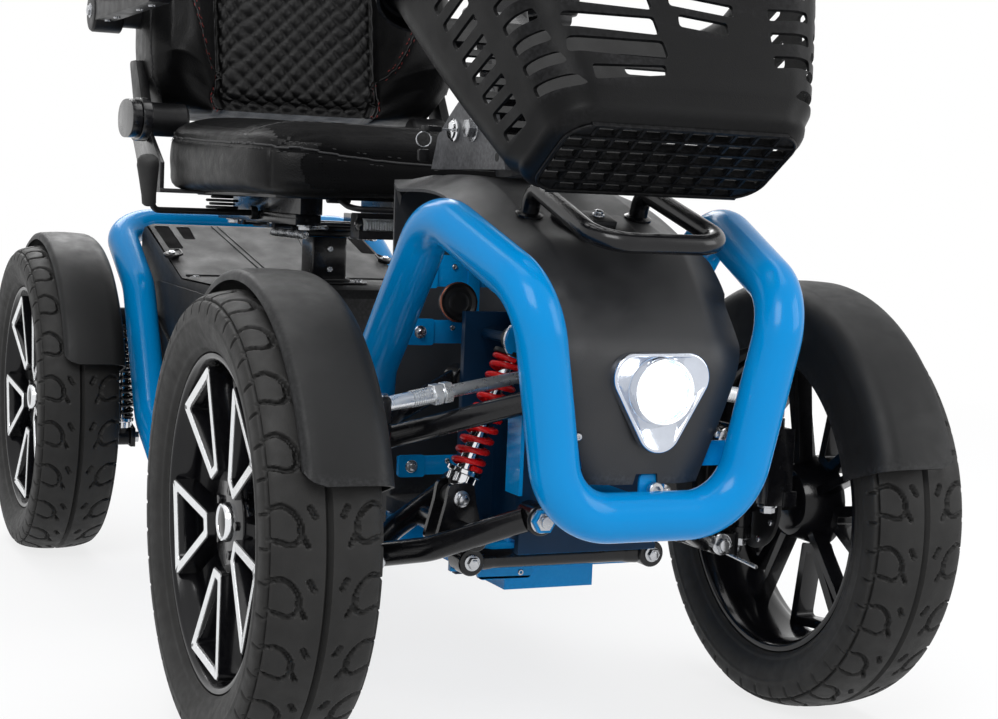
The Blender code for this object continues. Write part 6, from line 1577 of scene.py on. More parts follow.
def cushion():
    """The seat cushion, with drawn-in sides, a sewn edge and a cross seam at each front corner."""
    low, front_y, back_y = 0.282, -0.635, -0.176
    half_x, half_y, middle = 0.205, (back_y - front_y) / 2, (front_y + back_y) / 2
    around = 320

    def height(y):
        return 0.060 + 0.016 * min(1.0, max(0.0, (y + half_y) / (2 * half_y))) ** 1.3

    def welt(x, y):
        """How high the sewn edge runs: level along the sides, dipping to the middle of the front."""
        at_front = min(1.0, max(0.0, (-half_y * 0.80 - y) / (half_y * 0.20)))
        dip = 0.30 * math.cos(min(1.0, abs(x) / half_x) * math.pi / 2) ** 1.2
        return 0.90 - dip * at_front

    layers = [(0.30, 0.0), (0.62, 0.0), (0.80, 0.0), (0.90, 0.0), (0.945, 0.02), (0.972, 0.07), (0.985, 0.14)]
    layers += [(0.990 + 0.010 * math.sin(math.pi * k / 12), 0.18 + 0.054 * k) for k in range(13)]
    layers += [(0.984, 0.88), (0.975, 0.93), (0.962, 0.975), (0.945, 1.01), (0.922, 1.035), (0.895, 1.055)]
    layers += [(0.895 - 0.845 * k / 26, 1.055 + 0.095 * math.sin(math.pi / 2 * k / 26)) for k in range(1, 27)]
    rings = []
    for scale, level in layers:
        own = []
        for i in range(around):
            angle = 2 * math.pi * i / around
            x, y = rounded_box_point(angle, half_x * scale, half_y * scale, 6.0)
            sag = 0.0
            if level > 1.0:
                sag = 0.006 * math.exp(-((x / 0.10) ** 2 + ((y - 0.02) / 0.12) ** 2))
            own.append(rear(x, middle + y, low + height(y) * level - sag))
        rings.append(own)
    pad = piece("cushion_shown", sections(rings), LEATHER, "seat", 75, ("cushion",))
    puffed(pad, 0.010)
    edge = []
    for i in range(721):
        angle = 2 * math.pi * i / 720 + math.radians(90)
        x, y = rounded_box_point(angle, half_x * 0.997, half_y * 0.997, 6.0)
        edge.append(rear(x, middle + y, low + height(y) * welt(x, y)))
    corners = []
    for side in SIDES:
        x = side * half_x * 0.975
        line = [rear(x, front_y + 0.014, low + 0.004 + 0.0012 * k) for k in range(40)]
        line += [rear(x - side * 0.004 * k, front_y + 0.016 + 0.0008 * k, low + 0.058) for k in range(51)]
        corners.append([point for point, normal in on_surface(pad, line)])
    top = [rear(-0.190 + 0.380 * k / 120, front_y + 0.090 + 0.010 * math.cos(math.pi * k / 120 - math.pi / 2),
                low + 0.075) for k in range(121)]
    corners.append([point for point, normal in on_surface(pad, top)])
    laid = on_surface(pad, edge)
    lowered(pad, [[point for point, normal in laid]], 0.0026, 0.0042)
    lowered(pad, corners, 0.0022, 0.0030)
    laid = on_surface(pad, [point for point, normal in laid], 0.0004)
    shapes = [tube([point for point, normal in laid], 0.0012, 10)]
    for offset in (-0.0052, 0.0052):
        shapes += stitches(laid, offset)
    for line in corners:
        own = on_surface(pad, line, 0.0002)
        shapes.append(tube([point for point, normal in own], 0.0008, 8))
    piece("cushion_seams", joined(*shapes), BLACK_STITCH, "seat")
    mesh = pad.data
    mesh.materials.append(LEATHER_DOTTED)
    for face in mesh.polygons:
        place = face.center
        row_y = place.y - REAR_AXLE_Y
        in_front = row_y < front_y + 0.016 + 0.30 * max(0.0, abs(place.x) - 0.195)
        on_top = face.normal.z > 0.45 and abs(place.x) < 0.168
        if (in_front and abs(place.x) < 0.198) or on_top:
            face.material_index = 1


LEAN_BACK = Matrix.Translation(rear(0, -0.155, 0.362)) @ Matrix.Rotation(math.radians(-12), 4, "X") \
    @ Matrix.Translation((0, 0.062, 0.004))


def backrest():
    """The backrest: a quilted middle between two sewn side bolsters."""
    half, panel, height, low = 0.200, 0.108, 0.560, 0.012
    thickness, bolster = 0.052, 0.085
    diamond = 2 * panel / 9

    def half_width(share):
        return 1.0 - 0.16 * max(0.0, (share - 0.62) / 0.38) ** 2 - 0.10 * max(0.0, (0.06 - share) / 0.06)

    def forward(x, share):
        u = abs(x) / half
        fade = min(1.0, share / 0.10) * min(1.0, (1.0 - share) / 0.16)
        edge = panel / half
        if u <= edge:
            return thickness
        rise = (u - edge) / (1 - edge)
        out = 1.0 if rise < 0.8 else 1.0 - 0.30 * ((rise - 0.8) / 0.2) ** 1.5
        swell = math.sin(min(1.0, rise * 1.35) * math.pi / 2) ** 1.2
        return thickness + bolster * max(0.0, fade) ** 0.6 * swell * out

    columns = [-half + (half - panel) * k / 30 for k in range(30)]
    columns += [-panel + 2 * panel * k / 144 for k in range(145)]
    columns += [panel + (half - panel) * k / 30 for k in range(1, 31)]
    rows = 250
    grid, quilt = [], []
    for row in range(rows + 1):
        share = row / rows
        z = low + height * share
        for x in columns:
            inset = 0.0
            if abs(x) <= panel + 1e-6:
                a, b = (x / diamond + z / (diamond * 0.92)), (x / diamond - z / (diamond * 0.92))
                crest = (abs(math.sin(math.pi * a)) * abs(math.sin(math.pi * b))) ** 0.42
                border = (min(1.0, (panel - abs(x)) / 0.004) * min(1.0, share / 0.012)
                          * min(1.0, (1 - share) / 0.012))
                inset = 0.0048 * crest * border - 0.0010
            quilt.append(inset)
            grid.append(Vector((x * half_width(share), -forward(x, share), z)))
    wide = len(columns)
    faces = []
    for row in range(rows):
        for k in range(wide - 1):
            a = row * wide + k
            faces.append((a, a + 1, a + wide + 1, a + wide))
    border = [*range(wide), *[row * wide + wide - 1 for row in range(1, rows + 1)],
              *[rows * wide + k for k in range(wide - 2, -1, -1)],
              *[row * wide for row in range(rows - 1, 0, -1)]]
    centre_z = low + height / 2
    last = border
    for depth, inset in ((0.35, 0.998), (0.62, 0.990), (0.82, 0.975), (0.94, 0.955), (1.0, 0.920)):
        own = []
        for index in border:
            place = grid[index]
            z = centre_z + (place.z - centre_z) * (1 - (1 - inset) * 0.5)
            own.append(len(grid))
            grid.append(Vector((place.x * inset, place.y + (0.030 - place.y) * depth, z)))
            quilt.append(0.0)
        for i in range(len(border)):
            j = (i + 1) % len(border)
            faces.append((last[i], last[j], own[j], own[i]))
        last = own
    for inset in (0.75, 0.45, 0.15):
        own = []
        for index in border:
            place = grid[index]
            own.append(len(grid))
            grid.append(Vector((place.x * inset, 0.030 + 0.004 * (1 - inset),
                                centre_z + (place.z - centre_z) * inset)))
            quilt.append(0.0)
        for i in range(len(border)):
            j = (i + 1) % len(border)
            faces.append((last[i], last[j], own[j], own[i]))
        last = own
    faces.append(tuple(last))
    mesh = bpy.data.meshes.new("backrest")
    mesh.from_pydata([tuple(LEAN_BACK @ point) for point in grid], [], faces)
    own = bmesh.new()
    own.from_mesh(mesh)
    bmesh.ops.recalc_face_normals(own, faces=own.faces)
    own.to_mesh(mesh)
    own.free()
    pad = finished("backrest_shown", mesh, LEATHER, "back", 75, ("backrest",))
    puffed(pad, 0.008)
    mesh = pad.data
    mesh.update()
    normals = [vert.normal.copy() for vert in mesh.vertices]
    for vert, normal, raised in zip(mesh.vertices, normals, quilt):
        if raised:
            vert.co += normal * raised
    mesh.update()
    seams, reds = [], []
    for side in SIDES:
        beside, curve = [], []
        for k in range(281):
            share = 0.015 + 0.97 * k / 280
            z = low + height * share
            x = side * panel * half_width(share)
            beside.append(LEAN_BACK @ Vector((x, -forward(panel, share) - 0.002, z)))
            bend = math.sin(math.pi * min(1.0, max(0.0, (share - 0.10) / 0.86))) ** 0.45
            u = panel + 0.003 + 0.058 * bend
            curve.append(LEAN_BACK @ Vector((side * u * half_width(share), -forward(u, share) - 0.002, z)))
        outer = []
        for k in range(281):
            share = 0.03 + 0.94 * k / 280
            z = low + height * share
            outer.append(LEAN_BACK @ Vector((side * half * half_width(share), -forward(half, share) + 0.012,
                                             z)))
        for line, depth, width in ((beside, 0.0060, 0.0050), (curve, 0.0030, 0.0034),
                                   (outer, 0.0022, 0.0030)):
            laid = [point for point, normal in on_surface(pad, line)]
            lowered(pad, [laid], depth, width)
            again = on_surface(pad, laid, 0.0003)
            seams.append(tube([point for point, normal in again], 0.0009, 8))
            if line is curve:
                for offset in (-0.0040, 0.0040):
                    reds += stitches(again, offset, 0.0052, 0.0038, 0.00055)
            elif line is outer:
                for offset in (-0.0036, 0.0036):
                    seams += stitches(again, offset)
    piece("backrest_seams", joined(*seams), BLACK_STITCH, "back")
    piece("backrest_red_stitches", joined(*reds), RED_STITCH, "back")
    hinges = []
    for side in SIDES:
        low_x, high_x = sorted((side * 0.1955, side * 0.2077))
        outline = rounded_outline(((-0.169, 0.346), (-0.139, 0.346), (-0.091, 0.440), (-0.127, 0.440),
                                   (-0.169, 0.378)), 0.006)
        hinges.append(slab(outline, "X", low_x, high_x, rear))
        hinges.append(bar(rear(side * 0.186, -0.090, 0.500), rear(side * 0.2197, -0.090, 0.500), 0.0185, None,
                          40))
        hinges.append(bar(rear(side * 0.150, -0.160, 0.366), rear(side * 0.2000, -0.160, 0.366), 0.0210, None,
                          40, 0.004))
    hinges.append(block(rear(-0.198, -0.113, 0.408), rear(0.198, -0.100, 0.430)))
    piece("backrest_hinges", joined(*hinges), SATIN_BLACK, "back", 35, (), 0.0012, 2)


def armrest(side):
    """A moulded pad on a square arm, with a round housing and a knob on its hinge."""
    name = f"{sided(side)}_armrest"

    def across_arm(out):
        return side * (0.220 + out)

    low, high = sorted((across_arm(0.001), across_arm(0.042)))
    rings = []
    half_long, middle = 0.145, -0.275
    for scale, level in ((0.72, 0.0), (0.90, 0.001), (0.97, 0.005), (1.0, 0.012), (1.0, 0.019),
                         (0.965, 0.0245), (0.90, 0.0275), (0.78, 0.0292), (0.55, 0.0300), (0.20, 0.0303)):
        own = []
        for i in range(96):
            x, y = rounded_box_point(2 * math.pi * i / 96, 1.0, 1.0, 4.5)
            inset = (1 - scale) * 0.0275
            wide = 0.0275 - inset
            own.append(rear((low + high) / 2 + side * 0.007 + x * wide, middle + y * (half_long - inset),
                            0.510 + level))
        rings.append(own)
    pad = piece(f"{name}_pad", sections(rings), LEATHER, name, 70)
    shapes = []
    inner, outer = across_arm(0.0125), across_arm(0.0370)
    low, high = sorted((inner, outer))
    tray = rounded_outline(((-0.395, 0.4868), (-0.100, 0.4868), (-0.084, 0.5120), (-0.416, 0.5120),
                            (-0.416, 0.5010)), [0.006, 0.010, 0.003, 0.003, 0.006])
    shapes.append(slab(tray, "X", low, high, rear))
    shapes.append(lathe([(0, 0.0240), (0.0015, 0.0262), (0.0350, 0.0262), (0.0380, 0.0240), (0.0384, 0.0150)],
                        rear(across_arm(0.0002), -0.090, 0.500), (side, 0, 0), 48))
    piece(f"{name}_shown", joined(*shapes), SATIN_BLACK, name, 35, (name,), 0.0014, 2)
    bolts = [hex_bolt(rear(across_arm(0.0382), -0.090, 0.500), (side, 0, 0), 0.0070, 0.0030)]
    for y in (-0.360, -0.300, -0.180, -0.130):
        bolts.append(socket_bolt(rear((low + high) / 2, y, 0.4868), (0, 0, -1), 0.0042, 0.0022))
    piece(f"{name}_bolts", joined(*bolts), STEEL, name)


def seat_works():
    """What is under the seat: swivel plate, slide rails, springs, levers and the lamp bar."""
    dressed("seat_swivel", BLACK_PAINT, 0.0009, 2)
    dressed("seat_frame", BLACK_PAINT, 0.0009, 2)
    base, seat, chrome_base = [], [], []
    for side in SIDES:
        for y in (-0.445, -0.340, -0.215, -0.155):
            chrome_base.append(hex_bolt(rear(side * 0.085, y, 0.2462), (0, 0, -1), 0.0062, 0.0045))
        # A bent wire runs from the swivel plate to each slide rail
        wire = [rear(side * 0.050, -0.352, 0.2405), rear(side * 0.050, -0.420, 0.2440),
                rear(side * 0.066, -0.452, 0.2440), rear(side * 0.066, -0.470, 0.2440)]
        chrome_base.append(tube(curved(wire, 0.012, 10), 0.0022, 14))
        seat.append(bar(rear(side * 0.072, -0.560, 0.2780), rear(side * 0.098, -0.560, 0.2780), 0.0050, None,
                        24))
    release = [rear(-0.085, -0.560, 0.2780), rear(-0.085, -0.602, 0.2680), rear(0.085, -0.602, 0.2680),
               rear(0.085, -0.560, 0.2780)]
    seat.append(tube(curved(release, 0.016, 8), 0.0032, 18))
    piece("seat_release_bar", joined(*seat), SATIN_BLACK, "seat")
    coil = []
    for side in SIDES:
        start, end = rear(side * 0.045, -0.330, 0.2370), rear(side * 0.045, -0.200, 0.2370)
        path = []
        for i in range(22 * 16 + 1):
            angle = 2 * math.pi * i / 16
            path.append(start.lerp(end, i / (22 * 16)) + Vector((0.0042 * math.cos(angle), 0,
                                                                0.0042 * math.sin(angle) - 0.0052)))
        coil.append(tube(path, 0.0008, 8))
    piece("swivel_bolts", joined(*chrome_base, *coil), STEEL, "seat_base")
    base.append(lathe([(0, 0.0300), (0.0015, 0.0345), (0.0060, 0.0345), (0.0075, 0.0310)],
                      rear(0, -0.270, 0.2306), (0, 0, 1), 48))
    base.append(slab(rounded_outline(((-0.0945, -0.300), (0.0945, -0.300), (0.0945, -0.240),
                                      (-0.0945, -0.240)), 0.008),
                     "Z", 0.2440, 0.2465, rear))
    piece("swivel_flange", joined(*base), SATIN_BLACK, "seat_base", 35, (), 0.0005, 1)
    stack = []
    for k, radius in enumerate((0.020, 0.016, 0.020, 0.014)):
        stack.append(lathe([(0, radius - 0.001), (0.0010, radius), (0.0026, radius),
                            (0.0034, radius - 0.001)],
                           rear(-0.122, -0.235, 0.2590 + 0.0042 * k), (0, 0, 1), 36))
    stack.append(slab(rounded_outline(((-0.148, -0.262), (-0.098, -0.262), (-0.098, -0.208),
                                       (-0.148, -0.208)), 0.010),
                      "Z", 0.2748, 0.2770, rear))
    piece("seat_spring_stack", joined(*stack), SATIN_BLACK, "seat", 35, (), 0.0003, 1)
    rod = tube(curved([rear(-0.1043, -0.310, 0.2563), rear(-0.235, -0.355, 0.2563),
                       rear(-0.246, -0.370, 0.2763)],
                      0.012, 6), 0.0036, 20)
    low, high = rear(-0.2445, -0.368, 0.2623), rear(-0.252, -0.388, 0.3163)
    length = (high - low).length
    grip = [(0, 0.0062), (0.0020, 0.0080), (0.012, 0.0084), (length * 0.55, 0.0106), (length * 0.82, 0.0125),
            (length * 0.94, 0.0118), (length, 0.0085), (length + 0.0020, 0.0030)]
    hub = bar(rear(-0.1003, -0.310, 0.2563), rear(-0.1083, -0.310, 0.2563), 0.0080, None, 32)
    piece("swivel_lever_shown", joined(rod, hub), SATIN_BLACK, "swivel_lever", 35,
          ("swivel_lever",))
    piece("swivel_lever_grip", lathe(grip, low, high - low, 40), GRIP_RUBBER, "swivel_lever",
          50)
    hub = [(0, 0.0140), (0.0012, 0.0152), (0.0150, 0.0152), (0.0165, 0.0140)]
    shapes = [lathe(hub, rear(-0.2136, -0.215, 0.352), (-1, 0, 0), 40)]
    for low_x, high_x, shrink in ((-0.2345, -0.2236, 0.0), (-0.2470, -0.2352, 0.002)):
        outline = []
        for k in range(56):
            y, z = rounded_box_point(2 * math.pi * k / 56, 0.043 - shrink, 0.0250 - shrink, 2.4)
            outline.append((y - 0.250, z + 0.3625))
        shapes.append(slab(outline, "X", low_x, high_x, rear))
    piece("recline_lever_shown", joined(*shapes), BLACK_PAINT, "recline_lever", 35,
          ("recline_lever",), 0.0034, 4)
    lamp_bar()


def lamp_bar():
    """The light bar: a dark housing, a clear tube with a ribbed strip in it and clear round ends."""
    y, top = -0.545, 0.2634
    housing = slab(rounded_outline(((-0.559, 0.2354), (-0.531, 0.2354), (-0.531, 0.2634), (-0.552, 0.2634),
                                    (-0.552, 0.2585), (-0.546, 0.2520), (-0.546, 0.2470), (-0.559, 0.2440)),
                                   [0.002, 0.003, 0.003, 0.001, 0.002, 0.001, 0.001, 0.001]), "X", -0.0600,
                                   0.0620, rear)
    foot = block(rear(-0.012, y - 0.006, top - 0.0002), rear(0.012, y + 0.008, top + 0.0035))
    piece("seat_lamp_shown", joined(housing, foot), SATIN_BLACK, "seat", 35, ("seat_lamp",), 0.0007,
          2)
    strip = []
    for k in range(34):
        x = -0.0490 + 0.0030 * k
        strip.append(block(rear(x - 0.0011, y - 0.0102, 0.2462), rear(x + 0.0011, y - 0.0040, 0.2538)))
    strip.append(block(rear(-0.0520, y - 0.0060, 0.2450), rear(0.0520, y - 0.0020, 0.2550)))
    piece("seat_lamp_strip", joined(*strip), LAMP_STRIP, "seat", 35, (), 0.0003, 1)
    clear = lathe([(0, 0.0040), (0.0020, 0.0066), (0.0060, 0.0078), (0.1180, 0.0078), (0.1220, 0.0066),
                   (0.1240, 0.0040)], rear(-0.0620, y - 0.0080, 0.2500), (1, 0, 0), 36)
    piece("seat_lamp_lens", clear, CLEAR, "seat", 50)


# Rear body
def rear_cover():
    """The rear body, with dark windows and a joint line in its top, a panel on each flank and fittings."""
    cover = dressed("rear_cover", REAR_PLASTIC, 0.0030, 3, 28)
    slope = Vector((0, 0.193, 0.060)).normalized()
    normal = Vector((1, 0, 0)).cross(slope)
    foot = rear(0, -0.165, 0.172)

    def on_slope(x, y, out=0.0):
        return foot + Vector((x, 0, 0)) + slope * ((y + 0.165) / slope.y) + normal * out

    def slope_slab(corners, radius, low, high):
        outline = rounded_outline(corners, radius, 5)
        return sections([[on_slope(x, y, low) for x, y in outline],
                         [on_slope(x, y, high) for x, y in outline]])

    windows = [((-0.1445, 0.020), (-0.1240, 0.020), (-0.1245, -0.066), (-0.1440, -0.068)),
               ((-0.1150, 0.018), (-0.0960, 0.018), (-0.0990, -0.030), (-0.1150, -0.030))]
    windows += [tuple((-x, y) for x, y in reversed(corners)) for corners in windows]
    cut(cover, [slope_slab(corners, 0.004, -0.0018, 0.004) for corners in windows])
    inner = [slope_slab([(x * 0.999, y * 0.995) for x, y in corners], 0.0035, -0.0028, -0.0008)
             for corners in windows]
    piece("rear_cover_windows", joined(*inner), DARK_WINDOW, "root", 35, (), 0.0003, 1)
    ribs = []
    for side in SIDES:
        for shift in (0.0, 0.0085):
            start, end = (0.0633 - shift, 0.0230), (0.0420 - shift, -0.1370)
            path = [on_slope(side * (start[0] + (end[0] - start[0]) * k / 10),
                             start[1] + (end[1] - start[1]) * k / 10, 0.0001) for k in range(11)]
            ribs.append(tube(path, 0.0013, 10))
    lip = [rear(-0.1485, -0.172, 0.1728), rear(0.1485, -0.172, 0.1728)]
    ribs.append(tube(lip, 0.0016, 12))
    for side in SIDES:
        outline = rounded_outline(((0.044, 0.112), (0.044, 0.150), (-0.070, 0.160), (-0.285, 0.156),
                                   (-0.328, 0.138), (-0.328, 0.010), (-0.240, 0.010), (-0.100, 0.112)),
                                  [0.006, 0.008, 0.010, 0.020, 0.020, 0.012, 0.020, 0.020])
        ribs.append(slab(outline, "X", side * 0.1530, side * 0.1562, rear))
        outline = rounded_outline(((-0.020, 0.128), (-0.130, 0.086), (-0.176, 0.082), (-0.170, -0.020),
                                   (-0.150, -0.032), (-0.100, -0.032), (-0.082, 0.060)), 0.010)
        ribs.append(slab(outline, "X", side * 0.1550, side * 0.1588, rear))
    piece("rear_cover_panels", joined(*ribs), REAR_PLASTIC, "root", 35, (), 0.0014, 2)
    latches, bright = [], []
    for side in SIDES:
        x = side * 0.1480
        latches.append(lathe([(0, 0.0100), (0.0030, 0.0105), (0.0048, 0.0080)], on_slope(x, -0.0950, -0.0006),
                             normal, 32))
        wire = [on_slope(x, -0.0870, 0.0030), on_slope(x - side * 0.012, -0.0840, 0.0060),
                on_slope(x - side * 0.012, -0.1060, 0.0060), on_slope(x, -0.1030, 0.0030)]
        latches.append(tube(curved(wire, 0.004, 12), 0.0014, 12))
        bright.append(socket_bolt(on_slope(x, -0.0950, 0.0040), normal, 0.0042, 0.0024))
        for y in (-0.400, -0.300, -0.190):
            bright.append(socket_bolt(rear(side * 0.1400, y, 0.1718), (0, 0, 1), 0.0040, 0.0020))
        for y, z in ((-0.405, 0.120), (-0.405, 0.020), (0.030, 0.130)):
            bright.append(socket_bolt(rear(side * 0.1543, y, z), (side, 0, 0), 0.0042, 0.0022))
    piece("rear_cover_latches", joined(*latches), SATIN_BLACK, "root")
    piece("rear_cover_bolts", joined(*bright), STEEL, "root")
    lenses, ambers, frames = [], [], []
    for side in SIDES:
        outline = rounded_outline(((side * 0.095, 0.120), (side * 0.140, 0.120), (side * 0.140, 0.180),
                                   (side * 0.105, 0.180)), 0.006)
        lenses.append(slab(outline, "Y", 0.0545, 0.0590, rear))
        outline = rounded_outline(((side * 0.105, 0.092), (side * 0.140, 0.092), (side * 0.140, 0.112),
                                   (side * 0.105, 0.112)), 0.004)
        ambers.append(slab(outline, "Y", 0.0545, 0.0585, rear))
        outline = rounded_outline(((side * 0.090, 0.086), (side * 0.146, 0.086), (side * 0.146, 0.187),
                                   (side * 0.098, 0.187)), 0.008)
        frames.append(slab(outline, "Y", 0.0540, 0.0562, rear))
    piece("tail_lights", joined(*lenses), BRAKE_RED, "root", 35, (), 0.0016, 3)
    piece("rear_indicators", joined(*ambers), AMBER, "root", 35, (), 0.0012, 3)
    vents = []
    for k in range(7):
        z = 0.030 + 0.012 * k
        outline = rounded_outline(((-0.060, z), (0.060, z), (0.060, z + 0.006), (-0.060, z + 0.006)), 0.0028)
        vents.append(slab(outline, "Y", 0.0546, 0.0572, rear))
    piece("tail_light_frames", joined(*frames, *vents), SATIN_BLACK, "root", 35, (), 0.0006,
          1)


def seat_post():
    """The dark sleeve round the seat post and the plate it stands on."""
    half = 0.0222
    corners = ((-half, -0.270 - half), (half, -0.270 - half), (half, -0.270 + half), (-half, -0.270 + half))
    sleeve = slab(rounded_outline(corners, 0.003), "Z", 0.1720, 0.2298, rear)
    plate = slab(rounded_outline(((-0.052, -0.312), (0.046, -0.312), (0.046, -0.228), (-0.052, -0.228)),
                                 [0.026, 0.012, 0.012, 0.026], 8), "Z", 0.1722, 0.1752, rear)
    collar = slab(rounded_outline([(x * 1.22, (y + 0.270) * 1.22 - 0.270) for x, y in corners], 0.005), "Z",
                  0.1750, 0.1790, rear)
    piece("seat_post_sleeve", joined(sleeve, plate, collar), BLACK_PAINT, "root", 35, (),
          0.0010, 2)
    bolts = []
    for x in (-0.040, 0.036):
        for y in (-0.300, -0.240):
            bolts.append(socket_bolt(rear(x, y, 0.1750), (0, 0, 1), 0.0046, 0.0034))
    for z in (0.190, 0.215):
        bolts.append(socket_bolt(rear(0, -0.270 - half, z), (0, -1, 0), 0.0036, 0.0022))
    piece("seat_post_bolts", joined(*bolts), STEEL, "root")


def battery_pack():
    dressed("battery_pack", DECK_PLASTIC, 0.0030, 3)
    ribs = []
    for k in range(9):
        x = -0.096 + 0.024 * k
        ribs.append(block(rear(x - 0.004, -0.2412, 0.030), rear(x + 0.004, -0.2400, 0.128)))
    strap = slab(rounded_outline(((-0.018, -0.2425), (0.018, -0.2425), (0.018, -0.1510), (-0.018, -0.1510)),
                                 0.002),
                 "Z", 0.1648, 0.1672, rear)
    piece("battery_strap", joined(*ribs, strap), GRIP_RUBBER, "root", 35, (), 0.0004, 1)


# Tiller and basket
def tiller():
    """The grey forked base, the stem with its bar and grips, the control head, the key and the lever."""
    dressed("tiller_base", GREY_PAINT, 0.0010, 2)
    bolts, blacks = [], []
    for side in SIDES:
        pivot_at = on_steering(0.022, 0, side * 0.0422)
        bolts.append(hex_bolt(pivot_at, (side, 0, 0), 0.0095, 0.0065))
        hole = front(side * 0.0420, 0.050, 0.3235)
        blacks.append(lathe([(-0.0004, 0.0042), (0.0003, 0.0042)], hole, (side, 0, 0), 24))
        slot_path = [on_steering(0.062, -0.020 + 0.006 * k, side * 0.0422) for k in range(7)]
        blacks.append(tube(slot_path, 0.0030, 10))
        for y in (0.100, 0.190):
            bolts.append(socket_bolt(front(side * 0.0300, y, 0.3178), (0, 0, 1), 0.0046, 0.0034))
    bolts.append(hex_bolt(on_steering(-0.2330, 0.071, -0.012), STEER_UP, 0.0060, 0.0040))
    bolts.append(hex_bolt(on_steering(-0.2330, 0.071, 0.012), STEER_UP, 0.0060, 0.0040))
    piece("tiller_base_bolts", joined(*bolts), STEEL, "tiller")
    piece("tiller_base_marks", joined(*blacks), SATIN_BLACK, "tiller")
    dressed("tiller_stem", BLACK_PAINT, 0.0012, 2)
    high = on_steering(0.456, -0.030)
    grips, collars = [], []
    for side in SIDES:
        end = high + Vector((side * 0.285, 0.045, -0.012))
        start = high + Vector((side * 0.165, 0.0123, -0.0033))
        along = (end - start).normalized()
        length = (end - start).length
        profile = [(-0.0010, 0.0150), (0.0, 0.0185), (0.0035, 0.0185), (0.0050, 0.0166)]
        for k in range(20):
            at = 0.008 + (length - 0.018) * k / 20
            profile += [(at, 0.0166), (at + 0.0008, 0.0174), (at + 0.0030, 0.0174), (at + 0.0038, 0.0166)]
        profile += [(length - 0.003, 0.0166), (length + 0.0005, 0.0172), (length + 0.0030, 0.0155),
                    (length + 0.0036, 0.0080)]
        grips.append(lathe(profile, start, along, 40))
        collars.append(ring([(-0.014, 0.0108), (-0.014, 0.0158), (-0.002, 0.0158), (-0.002, 0.0108)], start,
                            along, 40))
    piece("handlebar_grips", joined(*grips), GRIP_RUBBER, "tiller_head", 35)
    piece("handlebar_collars", joined(*collars), SATIN_BLACK, "tiller_head", 35, (), 0.0006, 1)
    control_head()
    dressed("throttle_lever", BLACK_PAINT, 0.0014, 3)
    key_shapes()


def on_head(x, ahead, up):
    return on_steering(up, ahead, x)


def control_head():
    """The control head: a soft-cornered shell with a sloping face, a small display, switches and a dial."""
    dressed("console", SATIN_BLACK, 0.0020, 3)
    top = 0.5103

    def raised(corners, radius, low, high):
        outline = rounded_outline(corners, radius, 5)
        return sections([[on_head(x, y, top + low) for x, y in outline],
                         [on_head(x, y, top + high) for x, y in outline]])

    frame_shape = raised(((-0.036, -0.060), (0.036, -0.060), (0.036, -0.010), (-0.036, -0.010)), 0.006,
                         -0.001, 0.0026)
    piece("display_frame", frame_shape, BLACK_PAINT, "tiller_head", 35, (), 0.0010, 2)
    face = raised(((-0.030, -0.055), (0.030, -0.055), (0.030, -0.015), (-0.030, -0.015)), 0.003, 0.0020,
                  0.0032)
    piece("display_face", face, DISPLAY, "tiller_head", 35, (), 0.0004, 1)
    keys = []
    for x in (-0.066, -0.050, 0.050, 0.066):
        for y in (-0.052, -0.030):
            keys.append(raised(((x - 0.006, y - 0.007), (x + 0.006, y - 0.007), (x + 0.006, y + 0.007),
                                (x - 0.006, y + 0.007)), 0.003, -0.001, 0.0032))
    piece("control_switches", joined(*keys), GRIP_RUBBER, "tiller_head", 35, (), 0.0009, 2)
    dial = lathe([(-0.001, 0.0130), (0.0010, 0.0130), (0.0018, 0.0100), (0.0090, 0.0092), (0.0104, 0.0078)],
                 on_head(0, 0.012, top), STEER_UP, 40)
    mark = bar(on_head(0, 0.012, top + 0.0100), on_head(0, 0.0200, top + 0.0100), 0.0007, None, 8)
    piece("speed_dial", dial, BLACK_PAINT, "tiller_head", 35)
    piece("speed_dial_mark", mark, STEEL, "tiller_head")


def key_shapes():
    """The key in its bright barrel, with a ring and a fob hanging from it."""
    start = front(-0.0423, 0.150, 0.350)
    outward = Vector((-1, 0, 0))
    barrel = lathe([(0, 0.0105), (0.0010, 0.0112), (0.0030, 0.0112), (0.0038, 0.0092), (0.0060, 0.0088),
                    (0.0066, 0.0070)], start + Vector((0.0002, 0, 0)), outward, 40)
    piece("key_barrel", barrel, CHROME, "tiller")
    blade = block(start + Vector((-0.018, -0.0040, -0.0010)), start + Vector((-0.0055, 0.0040, 0.0010)))
    ring_centre = start + Vector((-0.0330, 0, -0.0105))
    loop = ring([(-0.0007, 0.0072), (0.0, 0.0080), (0.0007, 0.0072), (0.0, 0.0064)], ring_centre, (0.3, 1, 0),
                32)
    piece("key_blade", joined(blade, loop), STEEL, "key", 35, (), 0.0002, 1)
    outline = rounded_outline(((-0.0355, -0.0095), (-0.0160, -0.0060), (-0.0160, 0.0060), (-0.0355, 0.0095)),
                              [0.007, 0.003, 0.003, 0.007])
    head = slab(outline, "Z", -0.0028, 0.0028)
    head = moved(head, Matrix.Translation(start))
    fob_top = ring_centre + Vector((0, 0, -0.0075))
    fob = slab(rounded_outline(((-0.0055, -0.014), (0.0055, -0.014), (0.0060, -0.0020), (-0.0060, -0.0020)),
                               0.003),
               "Y", -0.0028, 0.0028)
    fob = moved(fob, Matrix.Translation(fob_top))
    piece("key_shown", joined(head, fob), SATIN_BLACK, "key", 35, ("key",), 0.0009, 2)


BASKET = Matrix.Translation(front(0, -0.19398, 0.320)) @ Matrix.Rotation(math.radians(-33), 4, "X")


